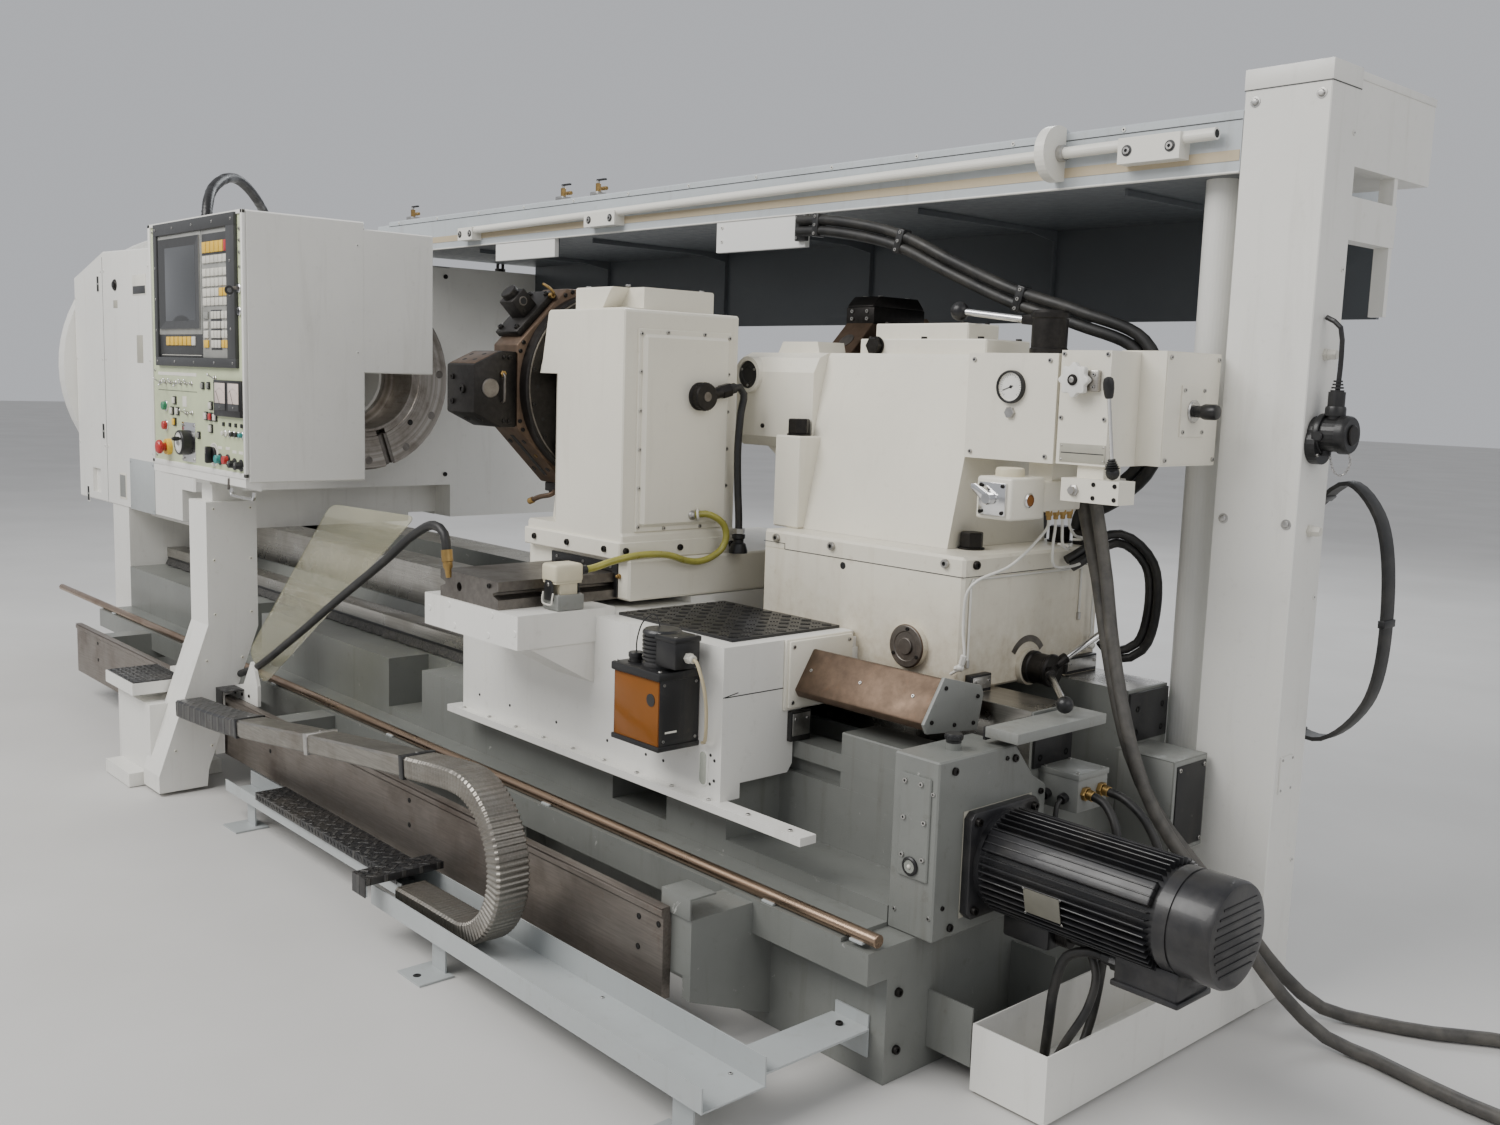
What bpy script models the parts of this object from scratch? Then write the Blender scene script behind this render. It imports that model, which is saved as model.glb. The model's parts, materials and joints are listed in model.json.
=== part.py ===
# CNC turning lathe, metres, +Z up.
# X runs along the spindle towards the tailstock, -Y is the operator's side,
# z = 0 is the underside of the bed, the spindle axis is y = 0, z = SPIN_Z.
import bpy
import bmesh
import math
from mathutils import Vector, Matrix

for ob in list(bpy.data.objects):
    bpy.data.objects.remove(ob, do_unlink=True)

# ---------------------------------------------------------------- dimensions
G = 0.0003                 # assembly gap
SPIN_Z = 1.216             # spindle height
BED_L, BED_R = -2.20, 1.966
BED_F = -0.6146            # front of the foot
WALL_F = -0.546            # front wall of the bed
WAY_F = -0.400             # front of the front way
WAY_Z = 0.499              # top of the front carriage way
RWAY_Z = 0.571             # top of the rear way
TWAY_Z = 0.6317            # top of the tailstock ways
ROD_R = 0.0125
CHUCK_R, CHUCK_BORE = 0.345, 0.193
CHUCK_X0, CHUCK_X1 = -1.440, -1.260
SLOT_A = -72.0             # angle of the first jaw slot
DISC_Y = -0.280            # turret axis
DISC_R = 0.265             # corner radius of the eight-sided disc
DISC_X0, DISC_X1 = 0.490, 0.600
APRON_F = -0.6006
APRON_L, APRON_R = 0.480, 1.485
SADDLE_Z = 0.7176
TS_L, TS_R = 1.186, 1.778  # tailstock base
TS_F, TS_B = -0.226, 0.250
COL_X0, COL_X1, COL_Y0, COL_Y1, COL_Z = 2.0623, 2.2386, 0.2153, 0.3354, 1.882
RAIL_Y0, RAIL_Y1, RAIL_Z0, RAIL_Z1 = -0.8385, -0.819, 0.094, 0.273
PEND_X0, PEND_X1, PEND_Y0, PEND_Z0, PEND_Z1 = -0.842, -0.133, -0.897, 0.930, 1.651

scene = bpy.context.scene
COL = bpy.data.collections.new("cnc_turning_lathe")
scene.collection.children.link(COL)
CUT = bpy.data.collections.new("cutters")
scene.collection.children.link(CUT)
CUT.hide_render = True

WHITE = ((0.84, 0.82, 0.75), 0.0, 0.45)
GREY = ((0.34, 0.36, 0.35), 0.0, 0.5)
LIGHT = ((0.62, 0.65, 0.67), 0.0, 0.45)
BLACK = ((0.02, 0.02, 0.022), 0.0, 0.45)
STEEL = ((0.42, 0.40, 0.37), 1.0, 0.35)
BROWN = ((0.20, 0.13, 0.08), 0.6, 0.4)
AMBER = ((0.55, 0.22, 0.04), 0.0, 0.2)
CHROME = ((0.75, 0.75, 0.75), 1.0, 0.12)
RED = ((0.55, 0.02, 0.02), 0.0, 0.4)
YELLOW = ((0.80, 0.76, 0.45), 0.0, 0.15)


def material(name, look):
    rgb, metal, rough = look
    m = bpy.data.materials.new("m_" + name)
    m.use_nodes = True
    b = m.node_tree.nodes["Principled BSDF"]
    b.inputs["Base Color"].default_value = (rgb[0], rgb[1], rgb[2], 1.0)
    b.inputs["Metallic"].default_value = metal
    b.inputs["Roughness"].default_value = rough
    m.diffuse_color = (rgb[0], rgb[1], rgb[2], 1.0)
    return m


def mesh_object(name, me):
    ob = bpy.data.objects.new(name, me)
    CUT.objects.link(ob)
    ob.display_type = 'WIRE'
    ob.hide_render = True
    return ob


def from_curve(name, cu, mw):
    tmp = bpy.data.objects.new(name + "_c", cu)
    scene.collection.objects.link(tmp)
    bpy.context.view_layer.update()
    me = bpy.data.meshes.new_from_object(tmp)
    bpy.data.objects.remove(tmp, do_unlink=True)
    bm = bmesh.new()
    bm.from_mesh(me)
    bmesh.ops.remove_doubles(bm, verts=bm.verts, dist=1e-5)
    bmesh.ops.transform(bm, matrix=mw, verts=bm.verts)
    bmesh.ops.recalc_face_normals(bm, faces=bm.faces)
    bm.to_mesh(me)
    bm.free()
    return mesh_object(name, me)


def frame_of(plane, mid):
    if plane == 'x':
        m = Matrix(((0, 0, 1, mid), (1, 0, 0, 0), (0, 1, 0, 0), (0, 0, 0, 1)))
    elif plane == 'y':
        m = Matrix(((1, 0, 0, 0), (0, 0, -1, mid), (0, 1, 0, 0), (0, 0, 0, 1)))
    else:
        m = Matrix(((1, 0, 0, 0), (0, 1, 0, 0), (0, 0, 1, mid), (0, 0, 0, 1)))
    return m


def prism(name, pts, plane, a, b, holes=(), bev=0.0, seg=1, mw=None):
    """Flat outline pushed along an axis: 'x' takes (y,z), 'y' takes (x,z), 'z' takes (x,y)."""
    cu = bpy.data.curves.new(name, 'CURVE')
    cu.dimensions = '2D'
    cu.fill_mode = 'BOTH'
    cu.extrude = abs(b - a) / 2
    for loop in [pts] + list(holes):
        sp = cu.splines.new('POLY')
        sp.points.add(len(loop) - 1)
        for p, q in zip(sp.points, loop):
            p.co = (q[0], q[1], 0, 1)
        sp.use_cyclic_u = True
    ob = from_curve(name, cu, mw if mw is not None else frame_of(plane, (a + b) / 2))
    if bev:
        bevel(ob, bev, seg)
    return ob


def bevel(ob, w, seg=2, ang=30):
    m = ob.modifiers.new("bevel", 'BEVEL')
    m.width = w
    m.segments = seg
    m.limit_method = 'ANGLE'
    m.angle_limit = math.radians(ang)
    return ob


def box(name, x0, x1, y0, y1, z0, z1, bev=0.0, seg=1):
    return prism(name, [(x0, y0), (x1, y0), (x1, y1), (x0, y1)], 'z', z0, z1, bev=bev, seg=seg)


def circle(cx, cy, r, n=32, a0=0.0):
    return [(cx + r * math.cos(2 * math.pi * i / n + a0), cy + r * math.sin(2 * math.pi * i / n + a0)) for i in range(n)]


def rod(name, p0, p1, r, n=24, bev=0.0):
    p0, p1 = Vector(p0), Vector(p1)
    d = p1 - p0
    q = d.to_track_quat('Z', 'Y').to_matrix().to_4x4()
    mw = Matrix.Translation((p0 + p1) / 2) @ q
    return prism(name, circle(0, 0, r, n), 'z', -d.length / 2, d.length / 2, bev=bev, seg=1, mw=mw)


def lathe(name, prof, origin, axis, steps=48, ring=False):
    """Profile of (radius, height) from the top down its outer side, turned about axis."""
    me = bpy.data.meshes.new(name)
    n = len(prof)
    edges = [(i, i + 1) for i in range(n - 1)]
    if ring:
        edges.append((n - 1, 0))
    me.from_pydata([(r, 0, h) for r, h in prof], edges, [])
    ob = mesh_object(name, me)
    m = ob.modifiers.new("screw", 'SCREW')
    m.axis = 'Z'
    m.angle = math.tau
    m.steps = steps
    m.render_steps = steps
    m.use_merge_vertices = True
    m.merge_threshold = 0.00005
    m.use_smooth_shade = False
    q = Vector(axis).to_track_quat('Z', 'Y').to_matrix().to_4x4()
    ob.matrix_world = Matrix.Translation(Vector(origin)) @ q
    return ob


def smooth_path(pts, step):
    """Evenly spaced points on a smooth curve through pts."""
    P = [Vector(p) for p in pts]
    P = [P[0] * 2 - P[1]] + P + [P[-1] * 2 - P[-2]]
    out = []
    for i in range(1, len(P) - 2):
        a, b, c, d = P[i - 1], P[i], P[i + 1], P[i + 2]
        k = max(2, int((c - b).length / step + 0.5))
        for j in range(k):
            t = j / k
            out.append(0.5 * ((2 * b) + (c - a) * t + (2 * a - 5 * b + 4 * c - d) * t * t + (3 * b - a - 3 * c + d) * t ** 3))
    out.append(P[-2])
    return out


def tube(name, pts, r, step=None, res=2, smooth=True):
    path = smooth_path(pts, step or r * 5) if smooth else [Vector(p) for p in pts]
    cu = bpy.data.curves.new(name, 'CURVE')
    cu.dimensions = '3D'
    cu.bevel_depth = r
    cu.bevel_resolution = res
    cu.use_fill_caps = True
    sp = cu.splines.new('POLY')
    sp.points.add(len(path) - 1)
    for p, q in zip(sp.points, path):
        p.co = (q[0], q[1], q[2], 1)
    return from_curve(name, cu, Matrix.Identity(4))


def boolean(ob, other, op):
    m = ob.modifiers.new(op.lower(), 'BOOLEAN')
    m.operation = op
    m.solver = 'EXACT'
    m.object = other
    return ob


def node(name, base, look, add=(), cut=()):
    """One finished piece: base plus additions, minus cuts."""
    for o in add:
        boolean(base, o, 'UNION')
    for o in cut:
        boolean(base, o, 'DIFFERENCE')
    base.name = name
    CUT.objects.unlink(base)
    COL.objects.link(base)
    base.display_type = 'SOLID'
    base.hide_render = False
    base.data.materials.clear()
    base.data.materials.append(material(name, look))
    return base


# ---------------------------------------------------------------------- bed
bed = prism("bed", [(BED_F, 0), (BED_F, 0.201), (-0.667, 0.201), (-0.667, 0.269), (WALL_F, 0.269),
                    (WALL_F, 0.430), (-0.375, 0.430), (-0.375, 0.463), (WAY_F, 0.463), (WAY_F, WAY_Z),
                    (-0.330, WAY_Z), (-0.310, 0.470), (-0.245, 0.470), (-0.225, 0.500), (-0.225, TWAY_Z),
                    (-0.100, TWAY_Z), (-0.100, 0.420), (0.100, 0.420), (0.100, TWAY_Z), (0.249, TWAY_Z),
                    (0.249, RWAY_Z), (0.420, RWAY_Z), (0.420, 0.500), (0.380, 0.480), (0.380, 0)],
            'x', BED_L, BED_R)
bed_add = []
for i, bx in enumerate((-1.70, -0.20, 1.58)):
    bed_add.append(box("rail_arm_%d" % i, bx, bx + 0.085, RAIL_Y1 + G, BED_F + 0.01, 0.150, 0.262))
    bed_add.append(prism("rail_web_%d" % i, [(BED_F + 0.01, 0.02), (RAIL_Y1 + 0.001, 0.105), (RAIL_Y1 + 0.001, 0.255), (BED_F + 0.01, 0.255)],
                         'x', bx + 0.062, bx + 0.0849))
bed_add.append(box("screw_cover", 1.620, 1.890, -0.396, -0.290, 0.42, 0.545, bev=0.003))
bed_add.append(box("junction_box", 1.960, 2.0575, -0.198, -0.101, 0.449, 0.523))
bed_add.append(box("end_housing", 1.960, 2.0990, 0.073, 0.199, 0.319, 0.514))
bed_cut = [box("screw_bay", 1.445, 2.1, -0.70, -0.3965, 0.300, 0.80),
           box("gear_pocket", 1.8985 - G, 2.1, -0.70, -0.226 + G, 0.261 - G, 0.80),
           box("rear_notch", 1.900, 2.1, 0.255, 0.60, -0.1, 0.80)]
for i, (a, b) in enumerate(((-1.10, -0.91), (-0.024, 0.167), (1.05, 1.247))):
    bed_cut.append(box("window_%d" % i, a, b, -0.60, -0.42, 0.290, 0.450))
for i, (a, b) in enumerate(((-1.9, -1.2), (-0.95, -0.35), (0.0, 0.62), (0.80, 1.42))):
    bed_cut.append(box("foot_bay_%d" % i, a, b, -0.66, -0.56, 0.040, 0.170))
node("bed", bed, GREY, bed_add, bed_cut)

rod_y, rod_z = -0.649, 0.269 + ROD_R + G
node("guide_rod", rod("guide_rod", (-2.753, rod_y, rod_z), (1.973, rod_y, rod_z), ROD_R, 24, 0.001), STEEL)

rail = prism("rail_beam", [(RAIL_Y0, RAIL_Z0), (RAIL_Y1, RAIL_Z0), (RAIL_Y1, 0.240), (RAIL_Y1 - 0.004, 0.2625),
                           (-0.8225, RAIL_Z1), (-0.835, RAIL_Z1), (-0.843, 0.268), (-0.843, 0.258), (RAIL_Y0, 0.252)],
             'x', -1.90, 1.607)
node("rail_beam", rail, BROWN, (), [])

# front cable trough with its foot tabs and the link plate to the foot of the bed
TX0, TX1, TY0, TY1 = 0.80, 1.9375, -1.018, -0.876
tr = prism("front_trough", [(TY0, 0.073), (TY1, 0.073), (TY1, 0.128), (TY1 - 0.003, 0.128), (TY1 - 0.003, 0.076),
                            (TY0 + 0.003, 0.076), (TY0 + 0.003, 0.118), (TY0, 0.118)], 'x', TX0, TX1)
tr_left = prism("trough_left", [(-0.950, 0.073), (TY1, 0.073), (TY1, 0.118), (TY1 - 0.003, 0.118), (TY1 - 0.003, 0.076),
                                (-0.947, 0.076), (-0.947, 0.104), (-0.950, 0.104)], 'x', -0.20, TX0 + 0.01)
tr_add = [tr_left, box("link_plate", 1.841, 1.934, TY1 - 0.002, -0.621, 0.093, 0.097),
          box("link_tab", 1.846, 1.929, -0.6192, -0.6152, 0.040, 0.120),
          box("link_bend", 1.846, 1.929, -0.6225, -0.6152, 0.093, 0.097)]
for i, fx in enumerate((1.010, 1.817)):
    tr_add.append(box("foot_tab_%d" % i, fx, fx + 0.094, -1.065, -0.985, 0.000, 0.004))
    tr_add.append(box("foot_leg_%d" % i, fx + 0.02, fx + 0.074, -0.995, -0.991, 0.002, 0.074))
tr_add.append(box("foot_tab_l", -0.12, -0.03, -0.99, -0.90, 0.000, 0.004))
tr_add.append(box("foot_leg_l", -0.10, -0.05, -0.930, -0.926, 0.002, 0.074))
# tread plates lying over its left end
tr_add.append(prism("tread_plates", [(0.02, 0.1165), (0.8023, 0.1165), (0.8023, 0.150), (0.86, 0.150), (0.86, 0.154), (0.7983, 0.154),
                                     (0.7983, 0.1205), (0.02, 0.1205)], 'y', -0.955, -0.872))
tr_add.append(box("tread_b", 0.7985, 0.8595, -1.060, -0.954, 0.1502, 0.1542))
tr_add.append(box("tread_c", 0.7990, 0.8590, -1.0595, -1.056, 0.115, 0.153))
node("front_trough", tr, LIGHT, tr_add)

# ---------------------------------------------------------------- headstock
hs = prism("headstock", [(-2.80, 0.667), (-1.480, 0.667), (-1.480, 1.660), (-2.43, 1.677), (-2.80, 1.588)],
           'y', -0.550, 0.500, bev=0.006)
hs_add = [prism("hs_rear", [(-2.70, 0.655), (-1.480, 0.655), (-1.480, 1.660), (-2.43, 1.670), (-2.70, 1.600)],
                'y', 0.480, 1.000),
          box("hs_leg", -2.390, -2.2003, -0.545, -0.30, 0.240, 0.70),
          box("hs_base", -2.480, -2.2003, -0.500, 0.380, 0.0, 0.50),
          box("hs_mid", -2.46, -1.56, -0.46, 0.36, TWAY_Z + G, 0.70),
          box("hs_join", -2.46, -2.2003, -0.46, 0.36, 0.45, 0.70),
          rod("hs_nose", (-1.49, 0, SPIN_Z), (-1.4403, 0, SPIN_Z), 0.215, 48),
          rod("hs_collar", (-1.49, 0, SPIN_Z), (-1.462, 0, SPIN_Z), 0.300, 48)]
hs_cut = [box("hs_recess", -1.60, -1.40, -0.56, 0.484, 0.60, 0.787),
          rod("hs_bore", (-1.80, 0, SPIN_Z), (-1.30, 0, SPIN_Z), 0.150, 40),
          box("hs_pocket", -2.62, -2.52, -0.56, -0.535, 0.70, 0.80)]
node("headstock", hs, WHITE, hs_add, hs_cut)

guard = lathe("headstock_guard", [(0, -2.8003), (0.600, -2.8003), (0.600, -2.87), (0.585, -2.93), (0.54, -2.960), (0, -2.960)],
              (0, 0, SPIN_Z), (1, 0, 0), 64)
guard_trim = box("guard_trim", -3.2, -2.0, -1.0, 1.0, 0.40, 0.78)
node("headstock_guard", guard, WHITE, (), [guard_trim])

# -------------------------------------------------------------------- chuck
cx0, cx1 = CHUCK_X0, CHUCK_X1
chuck = lathe("chuck_body", [(CHUCK_BORE, cx1), (0.203, cx1), (0.206, cx1 - 0.005), (0.222, cx1 - 0.005), (0.225, cx1),
                             (CHUCK_R - 0.006, cx1), (CHUCK_R, cx1 - 0.006), (CHUCK_R, cx0 + 0.006), (CHUCK_R - 0.006, cx0),
                             (0.160, cx0), (0.160, cx0 + 0.03), (CHUCK_BORE, cx0 + 0.03)],
              (0, 0, SPIN_Z), (1, 0, 0), 48, ring=True)
c_cut = []
for i in range(12):
    a = math.radians(SLOT_A + 15 + 30 * i)
    y, z = 0.310 * math.cos(a), SPIN_Z + 0.310 * math.sin(a)
    c_cut.append(rod("rim_hole_%d" % i, (cx1 - 0.04, y, z), (cx1 + 0.01, y, z), 0.0095, 8))


def radial(name, ang, r0, r1, half, x0, x1):
    """Block lying along a radius at ang degrees in the plane of the chuck face."""
    a = math.radians(ang)
    er = Vector((0, math.cos(a), math.sin(a)))
    et = Vector((0, -math.sin(a), math.cos(a)))
    ex = Vector((1, 0, 0))
    c = Vector((0, 0, SPIN_Z))
    mw = Matrix.Translation(c) @ Matrix((er, et, ex)).transposed().to_4x4()
    return prism(name, [(r0, -half), (r1, -half), (r1, half), (r0, half)], 'z', 0, abs(x1 - x0), mw=mw @ Matrix.Translation((0, 0, (x0 + x1) / 2)))


for k in range(3):
    ang = SLOT_A + 120 * k
    c_cut.append(radial("slot_w_%d" % k, ang, 0.205, 0.36, 0.0300, cx1 - 0.0500, cx1 - 0.0180))
    c_cut.append(radial("slot_n_%d" % k, ang, 0.205, 0.36, 0.0180, cx1 - 0.0200, cx1 + 0.0100))
node("chuck_body", chuck, STEEL, (), c_cut)
for k in range(3):
    ang = SLOT_A + 120 * k
    a = math.radians(ang)
    jaw = radial("chuck_jaw_%d" % (k + 1), ang, 0.222, 0.3395, 0.0290, cx1 - 0.0490, cx1 - 0.0190)
    top = radial("jaw_top_%d" % k, ang, 0.2235, 0.3380, 0.0170, cx1 - 0.0200, cx1 - 0.0010)
    groove = radial("jaw_groove_%d" % k, ang, 0.10, 0.40, 0.0065, cx1 - 0.0120, cx1 + 0.01)
    node("chuck_jaw_%d" % (k + 1), jaw, STEEL, [top], [groove])

# ----------------------------------------------------------------- carriage
car = prism("carriage", [(APRON_F, 0.400), (-0.548, 0.400), (-0.548, 0.432), (-0.4015, 0.432), (-0.4015, WAY_Z + G), (-0.2295, WAY_Z + G),
                         (-0.2295, 0.634), (0.2520, 0.634), (0.2520, RWAY_Z + G), (0.4235, RWAY_Z + G), (0.4235, 0.470), (0.470, 0.470),
                         (0.470, 0.733), (-0.300, 0.733), (-0.300, SADDLE_Z), (APRON_F, SADDLE_Z)], 'x', APRON_L, 1.018)
car_add = [prism("wing", [(APRON_F, 0.400), (-0.548, 0.400), (-0.548, 0.432), (-0.415, 0.432), (-0.4015, 0.450), (-0.4015, 0.555), (-0.365, 0.572),
                          (-0.2295, 0.576), (-0.2295, SADDLE_Z), (APRON_F, SADDLE_Z)], 'x', 1.0, APRON_R),
           prism("bottom_flange", [(0.441, 0.384), (1.743, 0.384), (1.743, 0.4005), (0.441, 0.4005)], 'y', -0.624, -0.582),
           prism("front_slab", [(-0.805, 0.661), (-0.55, 0.661), (-0.55, 0.735), (-0.805, 0.735)], 'x', 0.653, 1.050),
           prism("slab_gusset", [(-0.78, 0.665), (-0.590, 0.665), (-0.590, 0.560)], 'x', 0.90, 1.045),
           box("carriage_mat", 1.062, 1.447, -0.546, -0.235, SADDLE_Z - 0.002, SADDLE_Z + 0.0055)]
car_cut = [box("sight_slot", 1.420, 1.442, -0.62, -0.590, 0.430, 0.490)]
node("carriage", car, WHITE, car_add, car_cut)

way = prism("cross_way", [(0.716, 0.7353), (0.964, 0.7353), (0.964, 0.757), (0.942, 0.765), (0.942, 0.770), (0.964, 0.776),
                          (0.964, 0.797), (0.716, 0.797), (0.716, 0.776), (0.738, 0.770), (0.738, 0.765), (0.716, 0.757)],
            'y', -0.800, 0.440)
node("cross_way", way, STEEL, (), [rod("way_hole", (0.80, -0.81, 0.766), (0.80, -0.77, 0.766), 0.0105, 20)])


LX0, LX1, LY0, LY1, LZ0, LZ1 = 1.262, 1.412, -0.705, APRON_F - G, 0.512, 0.652
tank = box("lube_tank", LX0, LX1, LY0, LY1, LZ0, LZ1, bev=0.006)
pump = box("pump_plate", LX0 - 0.006, LX1 + 0.006, LY0 - 0.006, LY1, LZ1 - 0.004, LZ1 + 0.014, bev=0.003)
tank_add = [pump, rod("pump_motor", (1.355, -0.655, LZ1 + 0.01), (1.355, -0.655, LZ1 + 0.088), 0.041, 28, 0.004),
            box("pump_box", 1.375, 1.440, -0.690, -0.625, LZ1 + 0.022, LZ1 + 0.085, bev=0.004),
            rod("pump_filler", (1.292, -0.672, LZ1 + 0.01), (1.292, -0.672, LZ1 + 0.022), 0.017, 20),
            box("tank_foot", LX0 - 0.004, LX1 + 0.004, LY0 - 0.004, LY1, LZ0 - 0.008, LZ0 + 0.004)]
node("lube_tank", tank, AMBER, tank_add)

wc = prism("way_cover", [(-0.363, 0.694), (-0.415, 0.612), (-0.405, 0.596), (-0.260, 0.583), (-0.2440, 0.649), (-0.252, 0.664)],
           'x', APRON_R + 0.012, 1.852, bev=0.002)
node("way_cover", wc, BROWN, [prism("cover_end", [(-0.364, 0.697), (-0.419, 0.612), (-0.408, 0.592), (-0.257, 0.579), (-0.2425, 0.650), (-0.250, 0.668)], 'x', 1.850, 1.857),
                              box("cover_flange", APRON_R + G, APRON_R + 0.014, -0.430, -0.2430, 0.5735, 0.7150, bev=0.003)])

# -------------------------------------------------- cross slide and turret
cs = box("cross_slide", 0.600, 1.015, -0.485, 0.300, 0.7353, 0.830, bev=0.005)
cs_cut = [box("way_channel", 0.714, 0.966, -0.60, 0.60, 0.70, 0.7990)]
node("cross_slide", cs, WHITE, [], cs_cut)

th = prism("turret_housing", [(0.615, 0.8303), (1.004, 0.8303), (1.004, 0.885), (1.000, 0.892), (1.000, 1.395), (0.995, 1.400), (0.700, 1.400), (0.695, 1.395),
                              (0.668, 1.270), (0.657, 1.220), (0.645, 1.120), (0.633, 0.960), (0.622, 0.892), (0.615, 0.885)],
           'y', -0.500, -0.158, bev=0.003)
th_add = [box("housing_foot", 0.612, 1.006, -0.5080, -0.150, 0.8303, 0.872, bev=0.003),
          prism("housing_cap", [(-0.46, 1.395), (-0.20, 1.395), (-0.20, 1.449), (-0.204, 1.453), (-0.456, 1.453), (-0.46, 1.449)], 'x', 0.752, 0.952),
          box("turret_cover", 0.995, 1.0160, -0.452, -0.196, 0.905, 1.345, bev=0.0075),
          box("cover_rim", 0.995, 1.0055, -0.462, -0.186, 0.8935, 1.357, bev=0.0015),
          rod("turret_neck", (0.635, DISC_Y, SPIN_Z), (0.72, DISC_Y, SPIN_Z), 0.205, 48)]
th_cut = [prism("cap_notch", [(0.86, 1.405), (0.99, 1.405), (0.99, 1.50), (0.93, 1.50)], 'y', -0.50, -0.41),
          prism("housing_flank", [(0.50, -0.52), (0.740, -0.52), (0.740, -0.501), (0.630, -0.430), (0.50, -0.430)], 'z', 0.893, 1.250)]
node("turret_housing", th, WHITE, th_add, th_cut)


sock = rod("turret_socket", (1.0163, -0.290, 1.207), (1.046, -0.290, 1.207), 0.033, 28, 0.003)
node("turret_socket", sock, BLACK, [rod("socket_neck", (1.030, -0.290, 1.207), (1.036, -0.225, 1.222), 0.014, 20),
                                    rod("socket_gland", (1.034, -0.236, 1.219), (1.038, -0.200, 1.229), 0.018, 6)])

disc = prism("turret_disc", circle(DISC_Y, SPIN_Z, DISC_R, 8, math.radians(22.5)), 'x', DISC_X0, DISC_X1, bev=0.002)
d_add = [rod("disc_ring", (DISC_X1 - 0.01, DISC_Y, SPIN_Z), (0.6320, DISC_Y, SPIN_Z), 0.238, 48)]
node("turret_disc", disc, BROWN, d_add)

hold_r = DISC_R * math.cos(math.pi / 8)
hy = DISC_Y - hold_r - G
th1 = prism("tool_holder", [(hy, 1.300), (hy, 1.115), (hy - 0.045, 1.115), (-0.645, 1.150), (-0.645, 1.265), (hy - 0.045, 1.300)],
            'x', 0.470, 0.598, bev=0.003)
node("tool_holder", th1, BLACK, [], [rod("tool_bore", (0.45, -0.60, 1.21), (0.62, -0.60, 1.21), 0.016, 20),
                                     rod("tool_screw", (0.535, -0.660, 1.212), (0.535, -0.625, 1.212), 0.009, 12)])
a = math.radians(135)
er = Vector((0, math.cos(a), math.sin(a)))
et = Vector((0, -math.sin(a), math.cos(a)))
hm = Matrix.Translation(Vector((0.535, DISC_Y, SPIN_Z))) @ Matrix((er, et, Vector((1, 0, 0)))).transposed().to_4x4()
bh = prism("boring_holder", [(hold_r + G, -0.075), (hold_r + 0.018, -0.075), (hold_r + 0.018, 0.075), (hold_r + G, 0.075)], 'z', -0.05, 0.05, bev=0.002,
           mw=hm)
bh2 = prism("boring_body", [(hold_r + 0.01, -0.025), (hold_r + 0.085, -0.022), (hold_r + 0.085, 0.022), (hold_r + 0.01, 0.025)], 'z', -0.03, 0.03, mw=hm)
node("boring_holder", bh, BLACK, [bh2])
cn = tube("coolant_nozzle", [(0.545, DISC_Y - 0.08, SPIN_Z - 0.2560), (0.54, DISC_Y - 0.10, SPIN_Z - 0.275), (0.50, DISC_Y - 0.11, SPIN_Z - 0.285), (0.465, DISC_Y - 0.12, SPIN_Z - 0.30)], 0.007, 0.02, 2)
node("coolant_nozzle", cn, BLACK, [box("nozzle_block", 0.50, 0.59, DISC_Y - 0.095, DISC_Y + 0.02, SPIN_Z - hold_r - 0.024, SPIN_Z - hold_r - G)])

cb = box("connector_box", 0.985, 1.045, -0.700, -0.630, 0.7353, 0.772, bev=0.003)
node("connector_box", cb, WHITE, [box("hood_neck", 0.992, 1.036, -0.688, -0.642, 0.765, 0.800),
                                  box("hood", 0.985, 1.043, -0.705, -0.630, 0.795, 0.838, bev=0.006)])

# ---------------------------------------------------------------- tailstock
tb = box("tailstock_base", TS_L, TS_R, TS_F, TS_B, TWAY_Z + G, 0.9095, bev=0.006)
tb_add = [rod("base_collar", (1.648, TS_F - 0.014, 0.711), (1.648, TS_F + 0.01, 0.711), 0.046, 40),
          rod("rack_boss", (TS_R - 0.01, 0.0, 0.665), (TS_R + 0.012, 0.0, 0.665), 0.040, 32),
          rod("hex_a", (1.683, -0.089, 0.90), (1.683, -0.089, 0.945), 0.022, 6),
          rod("hex_b", (1.691, 0.215, 0.90), (1.691, 0.215, 0.945), 0.022, 6),
          box("wiper_a", TS_R - 0.01, TS_R + 0.016, TS_F + 0.02, TS_F + 0.085, TWAY_Z + G, 0.668),
          box("wiper_b", TS_R - 0.01, TS_R + 0.016, 0.12, 0.235, TWAY_Z + G, 0.668)]
tb_cut = [rod("collar_recess", (1.648, TS_F - 0.03, 0.711), (1.648, TS_F + 0.02, 0.711), 0.030, 32),
          box("split_line", TS_L - 0.1, TS_R + 0.1, TS_F - 0.002, TS_F + 0.0015, 0.8680, 0.8700)]
node("tailstock_base", tb, WHITE, tb_add, tb_cut)

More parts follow.
